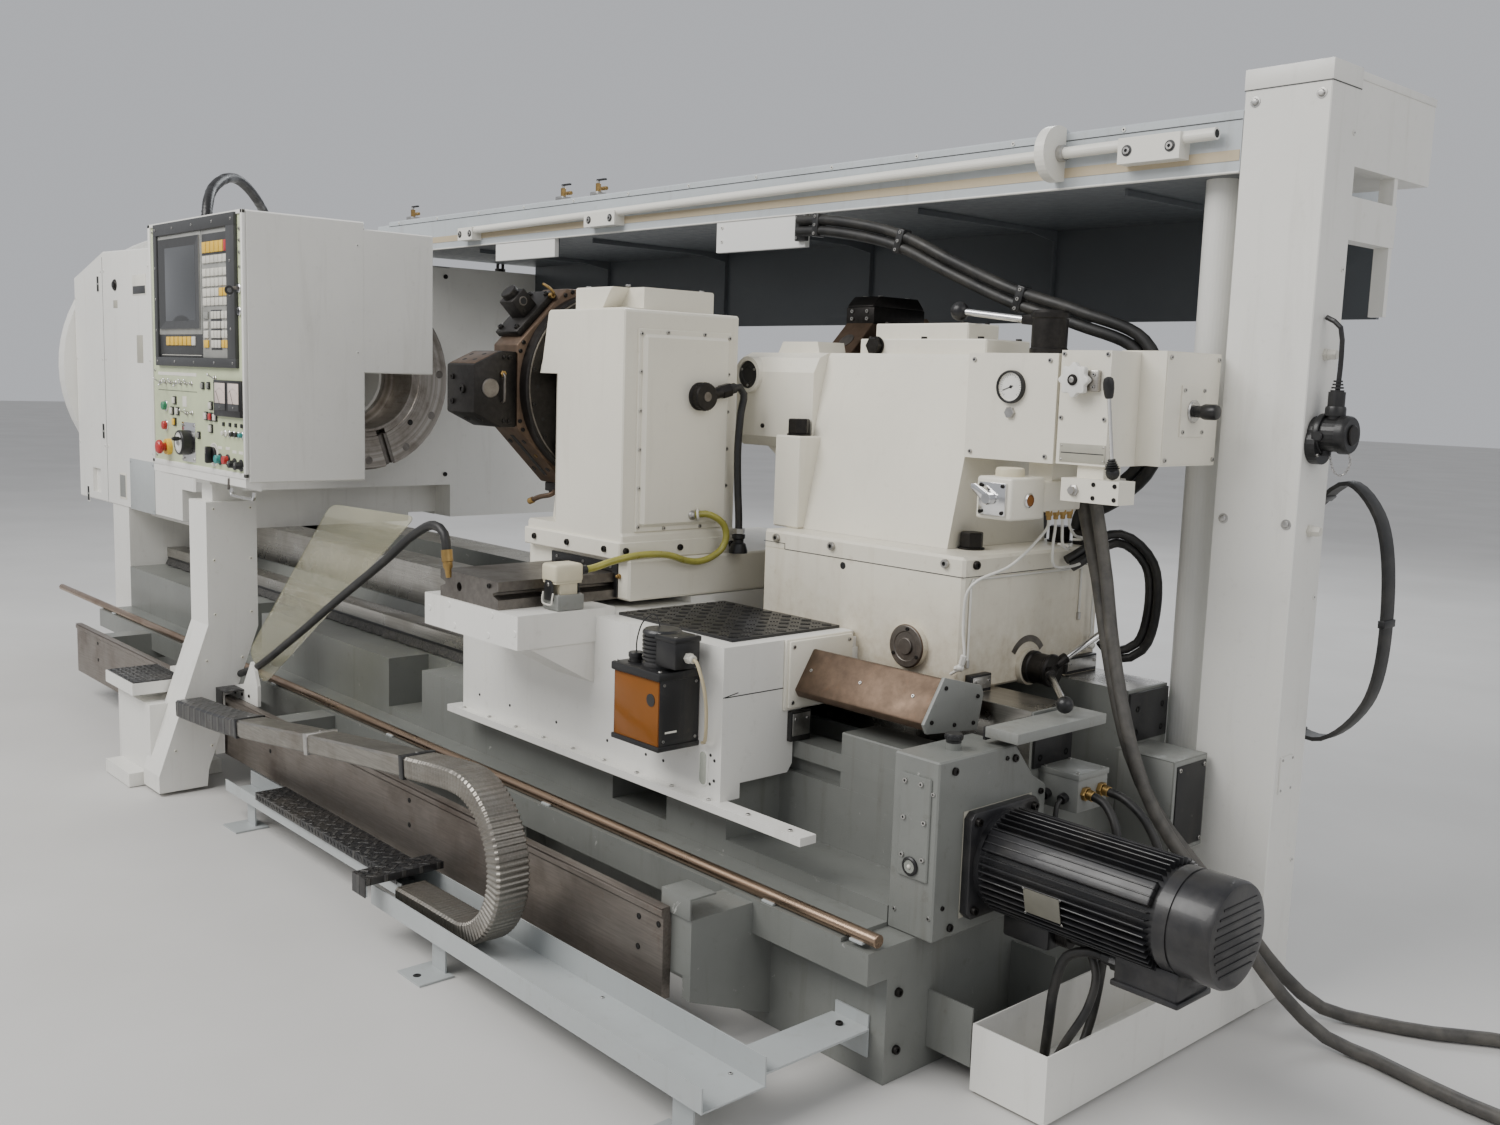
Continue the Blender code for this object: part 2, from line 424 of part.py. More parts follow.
ts = prism("tailstock_body", [(-0.140, 0.9098), (-0.052, 1.310), (-0.044, 1.318), (0.140, 1.318), (0.146, 1.312), (0.200, 0.9098)],
           'x', 1.160, 1.660)
ts_add = [prism("barrel", [(-0.098, 1.115), (-0.098, 1.270), (-0.080, 1.305), (-0.05, 1.3175), (0.05, 1.3175), (0.080, 1.305), (0.098, 1.27), (0.098, 1.115), (0.07, 1.09), (-0.07, 1.09)],
                'x', 0.930, 1.20),
          prism("barrel_web", [(0.994, 1.10), (1.165, 0.985), (1.165, 1.12)], 'y', -0.06, 0.06),
          prism("bolt_boss", [(1.144, 0.9098), (1.226, 0.9098), (1.226, 1.124), (1.144, 1.124)], 'y', -0.160, -0.05, bev=0.003),
          rod("boss_bolt", (1.185, -0.125, 1.12), (1.185, -0.125, 1.162), 0.022, 6),
          rod("side_disc", (0.978, -0.04, 1.262), (0.978, -0.108, 1.262), 0.044, 36),
          box("top_block", 1.270, 1.640, -0.020, 0.135, 1.312, 1.352, bev=0.003),
          box("top_step", 1.285, 1.560, 0.015, 0.125, 1.345, 1.388, bev=0.003),
          rod("top_bolt", (1.325, -0.015, 1.336), (1.325, -0.0400, 1.336), 0.017, 6),
          prism("top_lump", [(1.0, 1.31), (1.15, 1.31), (1.14, 1.345), (1.02, 1.345)], 'y', -0.03, 0.06)]
ts_cut = [rod("quill_bore", (0.90, 0, SPIN_Z), (1.40, 0, SPIN_Z), 0.0650, 40),
          rod("disc_recess", (0.978, -0.100, 1.262), (0.978, -0.12, 1.262), 0.034, 32)]
node("tailstock_body", ts, WHITE, ts_add, ts_cut)

qu = lathe("quill", [(0, 1.38), (0.0645, 1.38), (0.0645, 0.905), (0.0615, 0.902), (0.046, 0.902), (0.046, 0.884), (0.036, 0.884), (0, 0.825)],
           (0, 0, SPIN_Z), (1, 0, 0), 48)
node("quill", qu, STEEL)


cl = rod("clamp_lever", (1.765, 0.03, 1.3203), (1.765, 0.03, 1.412), 0.040, 32, 0.003)
node("clamp_lever", cl, BLACK, [box("lever_lug", 1.700, 1.765, 0.016, 0.044, 1.382, 1.404),
                                rod("lever_rod", (1.712, 0.03, 1.393), (1.535, 0.03, 1.413), 0.0078, 16),
                                lathe("lever_ball", [(0, 0.021), (0.0115, 0.0176), (0.0185, 0.0100), (0.021, 0), (0.0185, -0.0100), (0.0115, -0.0176), (0, -0.021)],
                                      (1.522, 0.03, 1.4145), (-1, 0, 0.11), 20)])

# control boxes on the end of the tailstock
gb = box("control_boxes", 1.6603, 1.884, -0.100, 0.110, 1.103, 1.3200)
cb_add = [box("box_joint", 1.87, 1.91, -0.080, 0.095, 1.112, 1.311),
          box("valve_box", 1.890, 2.004, -0.098, 0.100, 1.1045, 1.3265),
          box("end_box", 1.960, 2.0600, 0.003, 0.205, 1.107, 1.330),
          rod("gauge_rim", (1.775, -0.09, 1.252), (1.775, -0.1075, 1.252), 0.0325, 32),
          box("knob_plate", 2.050, 2.0645, 0.060, 0.150, 1.165, 1.265),
          box("valve_bracket", 1.935, 1.995, -0.088, -0.030, 1.060, 1.120),
          box("lever_valve", 1.925, 2.055, -0.125, -0.070, 1.035, 1.080)]
node("control_boxes", gb, WHITE, cb_add, [rod("knob_bore", (2.0605, 0.105, 1.215), (2.072, 0.105, 1.215), 0.0160, 28),
      rod("gauge_glass", (1.775, -0.1035, 1.252), (1.775, -0.12, 1.252), 0.0285, 32)])

sk = prism("star_knob", [((0.031 + 0.0035 * math.cos(8 * t)) * math.cos(t), (0.031 + 0.0035 * math.cos(8 * t)) * math.sin(t)) for t in [math.tau * i / 32 for i in range(32)]],
           'z', -0.007, 0.007, mw=Matrix.Translation((1.939, -0.1210, 1.269)) @ Matrix.Rotation(math.radians(90), 4, 'X'))
node("star_knob", sk, WHITE, [rod("knob_stem", (1.939, -0.0983, 1.269), (1.939, -0.120, 1.269), 0.011, 20),
                              rod("knob_hub", (1.939, -0.120, 1.269), (1.939, -0.132, 1.269), 0.011, 20)])
node("push_knob", rod("push_knob", (2.0640, 0.105, 1.215), (2.118, 0.105, 1.215), 0.0155, 28, 0.003), BLACK)

js = lathe("joystick", [(0, 0.0135), (0.0068, 0.0117), (0.0117, 0.0068), (0.0135, 0), (0.0117, -0.0068), (0.0068, -0.0117), (0, -0.0135)],
           (2.022, -0.098, 1.0942), (0, 0, 1), 20)
node("joystick", js, BLACK, [rod("boot_cone", (2.022, -0.098, 1.09), (2.022, -0.1095, 1.112), 0.010, 20),
                             rod("stick", (2.022, -0.1000, 1.10), (2.022, -0.1270, 1.240), 0.0042, 12),
                             rod("grip", (2.022, -0.1260, 1.235), (2.022, -0.1330, 1.275), 0.0105, 20, 0.003)])

lb = box("lubricator", 1.777 + 0.0, 1.864, -0.200, -0.090, 0.990, 1.075, bev=0.003)
node("lubricator", lb, WHITE, [rod("lub_cap", (1.820, -0.150, 1.07), (1.820, -0.150, 1.093), 0.029, 36, 0.002),
                               box("lub_arm", 1.785, 1.86, -0.100, 0.04, 1.005, 1.065),
                               box("lub_hang", 1.79, 1.85, -0.05, 0.04, 1.00, 1.1027),
                               box("lub_plate", 1.788, 1.853, -0.206, -0.195, 0.999, 1.064)], [])
lh = rod("lubricator_handle", (1.820, -0.2063, 1.032), (1.820, -0.226, 1.032), 0.012, 20)
node("lubricator_handle", lh, CHROME, [box("lub_lever", 1.7800, 1.826, -0.224, -0.217, 1.024, 1.060)])

rh = rod("rack_lever", (TS_R + 0.0123, 0.0, 0.665), (TS_R + 0.070, 0.0, 0.665), 0.035, 28, 0.002)
ball = [(0, 0.017), (0.0095, 0.0143), (0.0150, 0.0081), (0.017, 0), (0.0150, -0.0081), (0.0095, -0.0143), (0, -0.017)]
p1, p2 = Vector((TS_R + 0.2314, -0.1885, 0.6505)), Vector((TS_R + 0.105, 0.130, 0.745))
node("rack_lever", rh, BLACK, [rod("lever_a", (TS_R + 0.055, 0, 0.665), p1, 0.0075, 12), rod("lever_b", (TS_R + 0.055, 0, 0.665), p2, 0.0075, 12),
                               lathe("ball_a", ball, p1, p1 - Vector((TS_R + 0.05, 0, 0.665)), 16),
                               lathe("ball_b", ball, p2, p2 - Vector((TS_R + 0.05, 0, 0.665)), 16)])

# -------------------------------------------------------------- feed drive
fg = prism("feed_gearbox", [(-0.546, 0.261), (-0.226, 0.261), (-0.226, 0.500), (-0.268, 0.524), (-0.327, 0.593), (-0.546, 0.593)],
           'x', 1.8985, 2.0046, bev=0.003)
node("feed_gearbox", fg, GREY, [box("gear_cover", 1.920, 1.990, -0.5505, -0.540, 0.370, 0.560, bev=0.002),
                                rod("gear_cap", (1.955, -0.45, 0.59), (1.955, -0.45, 0.622), 0.014, 16)])
MY, MZ = -0.374, 0.392
fm = box("feed_motor", 2.0049, 2.025, MY - 0.100, MY + 0.100, MZ - 0.100, MZ + 0.100, bev=0.006)
fm_add = [rod("motor_body", (2.02, MY, MZ), (2.40, MY, MZ), 0.083, 28),
          rod("motor_end", (2.385, MY, MZ), (2.490, MY, MZ), 0.090, 28, 0.010),
          box("motor_box", 2.30, 2.42, MY - 0.05, MY + 0.05, MZ - 0.135, MZ - 0.06)]
for i in range(14):
    a = math.tau * i / 14
    q = Matrix.Translation((2.205, MY, MZ)) @ Matrix.Rotation(a, 4, 'X')
    fm_add.append(prism("fin_%d" % i, [(-0.172, 0.075), (0.172, 0.075), (0.172, 0.098), (-0.172, 0.098)], 'z', -0.002, 0.002,
                        mw=q @ Matrix.Rotation(math.radians(90), 4, 'X')))
node("feed_motor", fm, BLACK, fm_add)

ct = prism("chip_tray", [(-0.500, 0.040), (-0.250, 0.040), (-0.250, 0.1800), (-0.254, 0.180), (-0.254, 0.044), (-0.496, 0.044), (-0.496, 0.150), (-0.500, 0.150)],
           'x', 1.9663, 2.0700)
node("chip_tray", ct, GREY)
rt = box("right_trough", 2.080, 2.240, -0.510, 0.2150, 0.006, 0.130)
node("right_trough", rt, WHITE, [], [box("trough_in", 2.083, 2.237, -0.507, 0.3, 0.009, 0.20)])

# ------------------------------------------------------- column and canopy
col = box("column", COL_X0, COL_X1, COL_Y0, COL_Y1, 0.0, COL_Z, bev=0.002)
node("column", col, WHITE, [box("col_arm", COL_X0 + 0.004, COL_X1 - 0.004, 0.30, 0.690, 1.700, COL_Z - 0.004),
                            box("col_beam", 2.198, COL_X1 - 0.005, 0.31, 0.550, 1.560, 1.644),
                            box("col_link", 2.202, COL_X1 - 0.006, 0.53, 0.546, 1.42, 1.71),
                            box("col_plate", COL_X1 - 0.005, COL_X1 + 0.004, 0.232, 0.285, 0.455, 0.530)])

can = prism("canopy", [(COL_Y0, 1.690), (COL_Y0, 1.806), (COL_Y0 + 0.004, 1.810), (0.900, 1.810), (0.900, 1.436), (0.884, 1.436), (0.884, 1.690)],
            'x', -1.4797, COL_X0 - G)
can_add = [box("canopy_end", -1.600, -1.470, 0.23, 0.89, 1.702, 1.800),
           rod("canopy_tube", (-0.90, COL_Y0 - 0.022, 1.738), (2.02, COL_Y0 - 0.022, 1.765), 0.0125, 20),
           box("tube_clamp_a", -0.126, 0.034, COL_Y0 - 0.040, COL_Y0 + 0.01, 1.706, 1.748),
           box("tube_clamp_b", 1.804, 1.949, COL_Y0 - 0.040, COL_Y0 + 0.01, 1.722, 1.775),
           box("tube_clamp_c", -0.895, -0.80, COL_Y0 - 0.040, COL_Y0 + 0.01, 1.705, 1.748),
           rod("tube_disc", (1.620, COL_Y0 - 0.022, 1.7615), (1.645, COL_Y0 - 0.022, 1.7617), 0.060, 36),
           box("hanger_a", 0.469, 0.830, COL_Y0 + 0.001, COL_Y0 + 0.02, 1.604, 1.70),
           box("hanger_b", -0.707, -0.346, COL_Y0 + 0.001, COL_Y0 + 0.02, 1.630, 1.70),
           rod("pipe_post", (1.982, 0.305, 0.0), (1.982, 0.305, 1.7400), 0.037, 32)]
node("canopy", can, LIGHT, can_add)

# second turret behind the tailstock
rt_y, rt_z = 0.520, 1.190
rtd = prism("rear_turret_disc", circle(rt_y, rt_z, DISC_R, 8, math.radians(22.5)), 'x', 0.820, 0.920, bev=0.002)
node("rear_turret_disc", rtd, BROWN, [prism("rear_holder", [(0.400, 1.40), (0.600, 1.40), (0.600, 1.455), (0.575, 1.480), (0.425, 1.480), (0.400, 1.455)],
                                            'x', 0.825, 0.915)])
rtu = rod("rear_turret", (0.9203, rt_y, rt_z), (1.080, rt_y, rt_z), 0.20, 32)
node("rear_turret", rtu, BLACK, [box("rear_house", 1.062, 1.340, 0.330, 0.660, 0.62, 1.300, bev=0.004),
                                 box("rear_foot", 1.060, 1.350, 0.275, 0.415, RWAY_Z + G, 0.64)])

# -------------------------------------------------------- operator pedestal
PX0, PX1 = -0.600, -0.468
ped = prism("pedestal", [(-0.741, 0.850), (-0.889, 0.850), (-0.889, 0.490), (-1.038, 0.060), (-1.038, 0.010), (-0.900, 0.010), (-0.895, 0.060), (-0.8438, 0.205), (-0.8438, 0.276), (-0.8130, 0.276), (-0.741, 0.475)],
            'x', PX0, PX1)
ped_add = [box("ped_foot", -0.845, PX0 + 0.03, -1.026, -0.862, 0.007, 0.250),
           box("ped_sole", -0.820, -0.610, -1.076, -0.803, 0.002, 0.042),
           prism("ped_shoe", [(-0.872, 0.100), (-0.8438, 0.100), (-0.8438, 0.2745), (-0.8180, 0.2745), (-0.8180, 0.264), (-0.790, 0.264), (-0.790, 0.302), (-0.872, 0.302)],
                 'x', -0.838, -0.475),
           rod("ped_boss", (-0.73, -0.96, 0.24), (-0.73, -0.96, 0.28), 0.045, 28),
           box("step_plate", -0.850, -0.61, -1.060, -0.905, 0.275, 0.310),
           prism("shield_bracket", [(-0.50, 0.270), (-0.50, 0.296), (-0.40, 0.320), (-0.345, 0.395), (-0.318, 0.372), (-0.300, 0.330), (-0.30, 0.270)], 'y', -0.815, -0.8053),
           box("ped_neck", -0.575, -0.495, -0.860, -0.770, 0.845, 0.900)]
node("pedestal", ped, WHITE, ped_add)

# U-shaped metal conduit between the pedestal and the fixed end by the trough
cu_pts = [(-0.440, -0.925, 0.262), (-0.10, -0.935, 0.285), (0.40, -0.947, 0.345), (0.88, -0.955, 0.400)]
bend_c, bend_r = (1.105, 0.262), 0.158
for i in range(13):
    t = math.radians(92 - 187 * i / 12)
    cu_pts.append((bend_c[0] + bend_r * math.cos(t), -0.957, bend_c[1] + bend_r * math.sin(t)))
cu_pts += [(0.98, -0.955, 0.104), (0.87, -0.950, 0.102)]
path = smooth_path(cu_pts[:5], 0.10)[:-1] + [Vector(p) for p in cu_pts[4:]]


def ribbon(name, path, width, thick):
    """Rectangular section swept in the XZ plane, built as a flat outline pushed along Y."""
    up, dn = [], []
    n = len(path)
    for i, p in enumerate(path):
        a = path[max(0, i - 1)]
        b = path[min(n - 1, i + 1)]
        d = Vector((b[0] - a[0], b[2] - a[2])).normalized()
        nrm = Vector((-d[1], d[0])) * thick / 2
        up.append((p[0] + nrm[0], p[2] + nrm[1]))
        dn.append((p[0] - nrm[0], p[2] - nrm[1]))
    return prism(name, up + dn[::-1], 'y', -0.957 - width / 2, -0.957 + width / 2)


node("pedestal_conduit", ribbon("pedestal_conduit", path, 0.078, 0.048), STEEL)

# pendant
pb = box("pendant_box", PEND_X0, PEND_X1, PEND_Y0, -0.560, PEND_Z0, PEND_Z1, bev=0.004)
node("pendant_box", pb, WHITE, [box("pendant_rear", -0.820, PEND_X1 - 0.0005, -0.570, -0.346, 1.234, 1.632, bev=0.003),
                                box("pendant_neck", -0.590, -0.480, -0.872, -0.758, 0.9003, 0.935),
                                prism("pendant_lip", [(-0.905, 0.918), (-0.862, 0.906), (-0.862, 0.935), (-0.905, 0.9400)], 'x', PEND_X0 + 0.004, PEND_X1 - 0.004)])
pf = PEND_Y0 - G
STOP_X, STOP_Z, SEL_X, SEL_Z = -0.705, 0.997, -0.360, 0.994
panel = box("pendant_panel", PEND_X0 + 0.018, PEND_X1 - 0.012, pf - 0.006, pf, 0.955, 1.640)
node("pendant_panel", panel, BLACK, [box("screen_frame", -0.777, -0.172, pf - 0.016, pf - 0.004, 1.236, 1.636, bev=0.002),
                                     box("meter_box", -0.330, -0.1460, pf - 0.017, pf - 0.004, 1.104, 1.203, bev=0.003)],
     [box("screen_in", -0.752, -0.226, pf - 0.030, pf - 0.012, 1.262, 1.612),
      box("screen_deep", -0.697, -0.462, pf - 0.030, pf - 0.008, 1.366, 1.575),
      rod("stop_hole", (STOP_X, pf - 0.010, STOP_Z), (STOP_X, pf + 0.002, STOP_Z), 0.0118, 20)])
HX, HZ = -0.548, 1.018
mw_ = rod("mpg_wheel", (HX, pf - 0.0063, HZ), (HX, pf - 0.040, HZ), 0.036, 36, 0.003)
node("mpg_wheel", mw_, BLACK, [rod("mpg_grip", (HX + 0.018, pf - 0.038, HZ + 0.012), (HX + 0.018, pf - 0.062, HZ + 0.012), 0.0065, 14)])
node("e_stop", rod("e_stop", (STOP_X, pf - 0.0063, STOP_Z), (STOP_X, pf - 0.030, STOP_Z), 0.011, 20), RED,
     [rod("stop_head", (STOP_X, pf - 0.028, STOP_Z), (STOP_X, pf - 0.046, STOP_Z), 0.021, 28, 0.004)])
node("mode_selector", rod("mode_selector", (SEL_X, pf - 0.0063, SEL_Z), (SEL_X, pf - 0.014, SEL_Z), 0.022, 24), BLACK,
     [box("selector_bar", SEL_X - 0.009, SEL_X + 0.009, pf - 0.032, pf - 0.012, SEL_Z - 0.024, SEL_Z + 0.024, bev=0.003)])
hd = tube("pendant_handle", [(-0.300, -0.880, 0.9045), (-0.300, -0.880, 0.893), (-0.294, -0.880, 0.885), (-0.150, -0.880, 0.885), (-0.144, -0.880, 0.893), (-0.144, -0.880, 0.9045)],
          0.0055, smooth=False, res=3)
node("pendant_handle", hd, CHROME)

# see-through shield leaning from its bracket on the pedestal
BL, BR = Vector((-0.390, -0.800, 0.420)), Vector((-0.290, -0.800, 0.335))
TR, TL = Vector((0.277, -0.650, 0.873)), Vector((-0.109, -0.650, 0.865))
o = BL
eu = (BR - BL).normalized()
nn = (BR - BL).cross((TL + TR) / 2 - (BL + BR) / 2).normalized()
ev = nn.cross(eu).normalized()
quad = [((p - o).dot(eu), (p - o).dot(ev)) for p in (BL, BR, TR, TL)]


def rounded(pts, r, k=5):
    out = []
    n = len(pts)
    for i in range(n):
        p, a, b = Vector(pts[i]), Vector(pts[i - 1]), Vector(pts[(i + 1) % n])
        u, v = (a - p).normalized(), (b - p).normalized()
        s, e = p + u * r, p + v * r
        for j in range(k + 1):
            t = j / k
            q = s * (1 - t) ** 2 + p * 2 * t * (1 - t) + e * t * t
            out.append((q[0], q[1]))
    return out


smw = Matrix.Translation(o) @ Matrix((eu, ev, nn)).transposed().to_4x4()
sh = prism("shield", rounded(quad, 0.035), 'z', -0.002, 0.002, mw=smw)
node("shield", sh, YELLOW)

# ------------------------------------------------------------------- cables
ps = rod("column_socket", (COL_X1 + G, 0.262, 1.180), (COL_X1 + 0.075, 0.262, 1.180), 0.034, 28, 0.003)
node("column_socket", ps, BLACK, [rod("socket_base", (COL_X1 + G, 0.262, 1.160), (COL_X1 + 0.02, 0.262, 1.160), 0.040, 28),
                                  rod("socket_plug", (COL_X1 + 0.038, 0.262, 1.180), (COL_X1 + 0.038, 0.262, 1.262), 0.016, 20),
                                  tube("socket_lead", [(COL_X1 + 0.038, 0.262, 1.25), (COL_X1 + 0.040, 0.262, 1.33), (COL_X1 + 0.034, 0.262, 1.385), (COL_X1 + 0.004, 0.262, 1.405)], 0.005, 0.03, 2)])

oc = tube("overhead_hose", [(0.780, 0.190, 1.660), (0.95, 0.188, 1.648), (1.178, 0.186, 1.603), (1.37, 0.184, 1.525), (1.549, 0.182, 1.456), (1.72, 0.200, 1.405), (1.850, 0.238, 1.350), (1.895, 0.245, 1.25), (1.880, 0.250, 1.10), (1.800, 0.248, 1.02), (1.752, 0.225, 0.985), (1.745, 0.218, 0.940)],
          0.024, 0.07, 3)
node("overhead_hose", oc, BLACK)
HOSE_R = 0.0135
COIL = Vector((2.93, 0.30, 0))
hose_a = [(1.835, 0.075, 1.0875), (1.838, 0.072, 1.045), (1.862, 0.066, 0.97), (1.900, 0.060, 0.86), (1.925, 0.055, 0.77), (1.968, 0.045, 0.64),
          (2.020, 0.035, 0.52), (2.080, 0.040, 0.42), (2.150, 0.070, 0.33), (2.220, 0.130, 0.225), (2.290, 0.215, 0.095), (2.345, 0.285, 0.024),
          (2.430, 0.325, 0.0145), (2.530, 0.375, 0.0145), (2.614, 0.440, 0.0145), (2.700, 0.475, 0.0145), (2.800, 0.470, 0.0145)]
hose_b = [(1.868, 0.075, 1.0875), (1.872, 0.070, 1.045), (1.898, 0.058, 0.97), (1.932, 0.046, 0.86), (1.955, 0.036, 0.77), (1.998, 0.020, 0.64),
          (2.050, 0.005, 0.52), (2.105, 0.005, 0.42), (2.175, 0.025, 0.33), (2.255, 0.060, 0.225), (2.340, 0.120, 0.095), (2.410, 0.165, 0.024),
          (2.500, 0.170, 0.0145), (2.620, 0.145, 0.0145), (2.738, 0.133, 0.0145), (2.800, 0.136, 0.0230)]
node("pressure_hose", tube("pressure_hose", hose_a, HOSE_R, 0.06, 2), BLACK)
node("return_hose", tube("return_hose", hose_b, HOSE_R, 0.06, 2), BLACK)
lp = [(1.800, 0.10, 0.88), (1.855, 0.20, 0.935), (1.895, 0.262, 0.880), (1.895, 0.285, 0.770), (1.870, 0.285, 0.690), (1.830, 0.262, 0.668), (1.810, 0.235, 0.700)]
node("rear_loop", tube("rear_loop", lp, 0.020, 0.05, 2), BLACK)
hp = [(2.18, 0.385, 1.02), (2.26, 0.390, 1.085), (2.32, 0.41, 1.02), (2.345, 0.43, 0.82), (2.325, 0.42, 0.63), (2.25, 0.395, 0.545), (2.16, 0.385, 0.56)]
node("column_hoop", tube("column_hoop", hp, 0.026, 0.06, 2), BLACK)

# the unseen length of the two hoses, coiled on the floor, with their end fittings
turns = []
for i in range(2):
    turns.append(lathe("coil_turn_%d" % i, [(0.150 + HOSE_R * math.cos(t), 0.0145 + i * 0.0265 + HOSE_R * math.sin(t)) for t in [math.pi / 2 - math.tau * j / 8 for j in range(8)]],
                       (COIL[0], COIL[1], 0), (0, 0, 1), 24, ring=True))
node("hose_coil", turns[0], BLACK, turns[1:])
fx, fy = 0.048 * math.cos(math.radians(8)), 0.048 * math.sin(math.radians(8))
fit = rod("hose_fitting_a", (COIL[0] + 0.002, COIL[1] + 0.1095, 0.0180), (COIL[0] + 0.002 + fx, COIL[1] + 0.1095 - fy, 0.0180), 0.0165, 16, 0.002)
node("hose_fitting_a", fit, STEEL)
fit = rod("hose_fitting_b", (COIL[0] + 0.002, COIL[1] - 0.1095, 0.0452), (COIL[0] + 0.002 + fx, COIL[1] - 0.1095 + fy, 0.0452), 0.0165, 16, 0.002)
node("hose_fitting_b", fit, STEEL)

# flexible conduit from the top of the pendant over to the back of the headstock
pc = [(-0.760, -0.760, 1.6545), (-0.770, -0.755, 1.700), (-0.83, -0.72, 1.765), (-0.98, -0.62, 1.830), (-1.20, -0.48, 1.860), (-1.42, -0.33, 1.830), (-1.575, -0.22, 1.765), (-1.625, -0.182, 1.715), (-1.632, -0.178, 1.6665)]
node("pendant_conduit", tube("pendant_conduit", pc, 0.017, 0.06, 2), BLACK)

# ------------------------------------------------------------- pivot points
def pivot(name, p):
    """Puts a turning piece's origin on its axis."""
    ob = COL.objects[name]
    p = Vector(p)
    ob.data.transform(Matrix.Translation(-p) @ ob.matrix_world)
    ob.matrix_world = Matrix.Translation(p)


pivot("turret_disc", (DISC_X0, DISC_Y, SPIN_Z))
pivot("clamp_lever", (1.765, 0.03, 1.3203))
pivot("rack_lever", (TS_R + 0.0123, 0, 0.665))
pivot("star_knob", (1.939, -0.1210, 1.269))
pivot("joystick", (2.022, -0.098, 1.0942))
pivot("lubricator_handle", (1.820, -0.2063, 1.032))
pivot("mpg_wheel", (HX, pf, HZ))
pivot("mode_selector", (SEL_X, pf, SEL_Z))
pivot("pendant_box", (-0.535, -0.815, PEND_Z0))
pivot("rear_turret_disc", (0.820, rt_y, rt_z))
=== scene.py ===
import bpy, bmesh, math, json, random
from mathutils import Vector, Matrix, Quaternion

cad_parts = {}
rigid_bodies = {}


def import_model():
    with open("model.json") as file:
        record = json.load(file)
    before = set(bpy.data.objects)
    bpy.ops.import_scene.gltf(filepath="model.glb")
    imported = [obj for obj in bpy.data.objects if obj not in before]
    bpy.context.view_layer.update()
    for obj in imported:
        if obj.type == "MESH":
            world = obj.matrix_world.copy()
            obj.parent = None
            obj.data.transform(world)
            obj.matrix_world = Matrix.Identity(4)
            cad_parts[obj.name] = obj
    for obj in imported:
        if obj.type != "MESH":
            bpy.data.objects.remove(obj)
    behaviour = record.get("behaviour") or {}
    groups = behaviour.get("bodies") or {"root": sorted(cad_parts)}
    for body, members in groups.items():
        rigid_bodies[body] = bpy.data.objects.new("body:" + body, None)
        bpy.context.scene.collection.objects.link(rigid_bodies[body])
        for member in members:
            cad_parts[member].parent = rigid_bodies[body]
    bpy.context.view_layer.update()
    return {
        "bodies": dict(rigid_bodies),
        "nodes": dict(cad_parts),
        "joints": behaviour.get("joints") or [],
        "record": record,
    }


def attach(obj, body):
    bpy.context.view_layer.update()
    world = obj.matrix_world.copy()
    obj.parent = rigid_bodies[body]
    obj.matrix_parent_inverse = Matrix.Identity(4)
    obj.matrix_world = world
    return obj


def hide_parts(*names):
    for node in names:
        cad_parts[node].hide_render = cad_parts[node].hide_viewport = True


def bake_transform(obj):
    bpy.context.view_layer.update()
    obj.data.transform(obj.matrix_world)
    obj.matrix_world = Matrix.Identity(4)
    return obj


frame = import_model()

NODES = frame["nodes"]
V = Vector
SPZ = 1.216


# ------------------------------------------------------------------ materials
def new_mat(name):
    m = bpy.data.materials.new(name)
    m.use_nodes = True
    nt = m.node_tree
    return m, nt, nt.nodes["Principled BSDF"]


def coords(nt, scale=(1, 1, 1), rot=(0, 0, 0)):
    tc = nt.nodes.new("ShaderNodeTexCoord")
    mp = nt.nodes.new("ShaderNodeMapping")
    mp.inputs["Scale"].default_value = scale
    mp.inputs["Rotation"].default_value = rot
    nt.links.new(tc.outputs["Object"], mp.inputs["Vector"])
    return mp.outputs["Vector"]


def noise(nt, vec, scale, detail=4, rough=0.55, dist=0.0):
    n = nt.nodes.new("ShaderNodeTexNoise")
    n.inputs["Scale"].default_value = scale
    n.inputs["Detail"].default_value = detail
    n.inputs["Roughness"].default_value = rough
    n.inputs["Distortion"].default_value = dist
    nt.links.new(vec, n.inputs["Vector"])
    return n.outputs["Fac"]


def ramp(nt, fac, lo, hi, a=0.0, b=1.0):
    r = nt.nodes.new("ShaderNodeMapRange")
    r.inputs["From Min"].default_value = lo
    r.inputs["From Max"].default_value = hi
    r.inputs["To Min"].default_value = a
    r.inputs["To Max"].default_value = b
    r.clamp = True
    nt.links.new(fac, r.inputs["Value"])
    return r.outputs["Result"]


def math_node(nt, op, a, b=None):
    n = nt.nodes.new("ShaderNodeMath")
    n.operation = op
    for i, v in enumerate((a, b)):
        if v is None:
            continue
        if isinstance(v, (int, float)):
            n.inputs[i].default_value = v
        else:
            nt.links.new(v, n.inputs[i])
    return n.outputs[0]


def mix(nt, fac, a, b, kind='MIX'):
    n = nt.nodes.new("ShaderNodeMix")
    n.data_type = 'RGBA'
    n.blend_type = kind
    if isinstance(fac, (int, float)):
        n.inputs[0].default_value = fac
    else:
        nt.links.new(fac, n.inputs[0])
    for i, v in ((6, a), (7, b)):
        if isinstance(v, tuple):
            n.inputs[i].default_value = (v[0], v[1], v[2], 1.0)
        else:
            nt.links.new(v, n.inputs[i])
    return n.outputs[2]


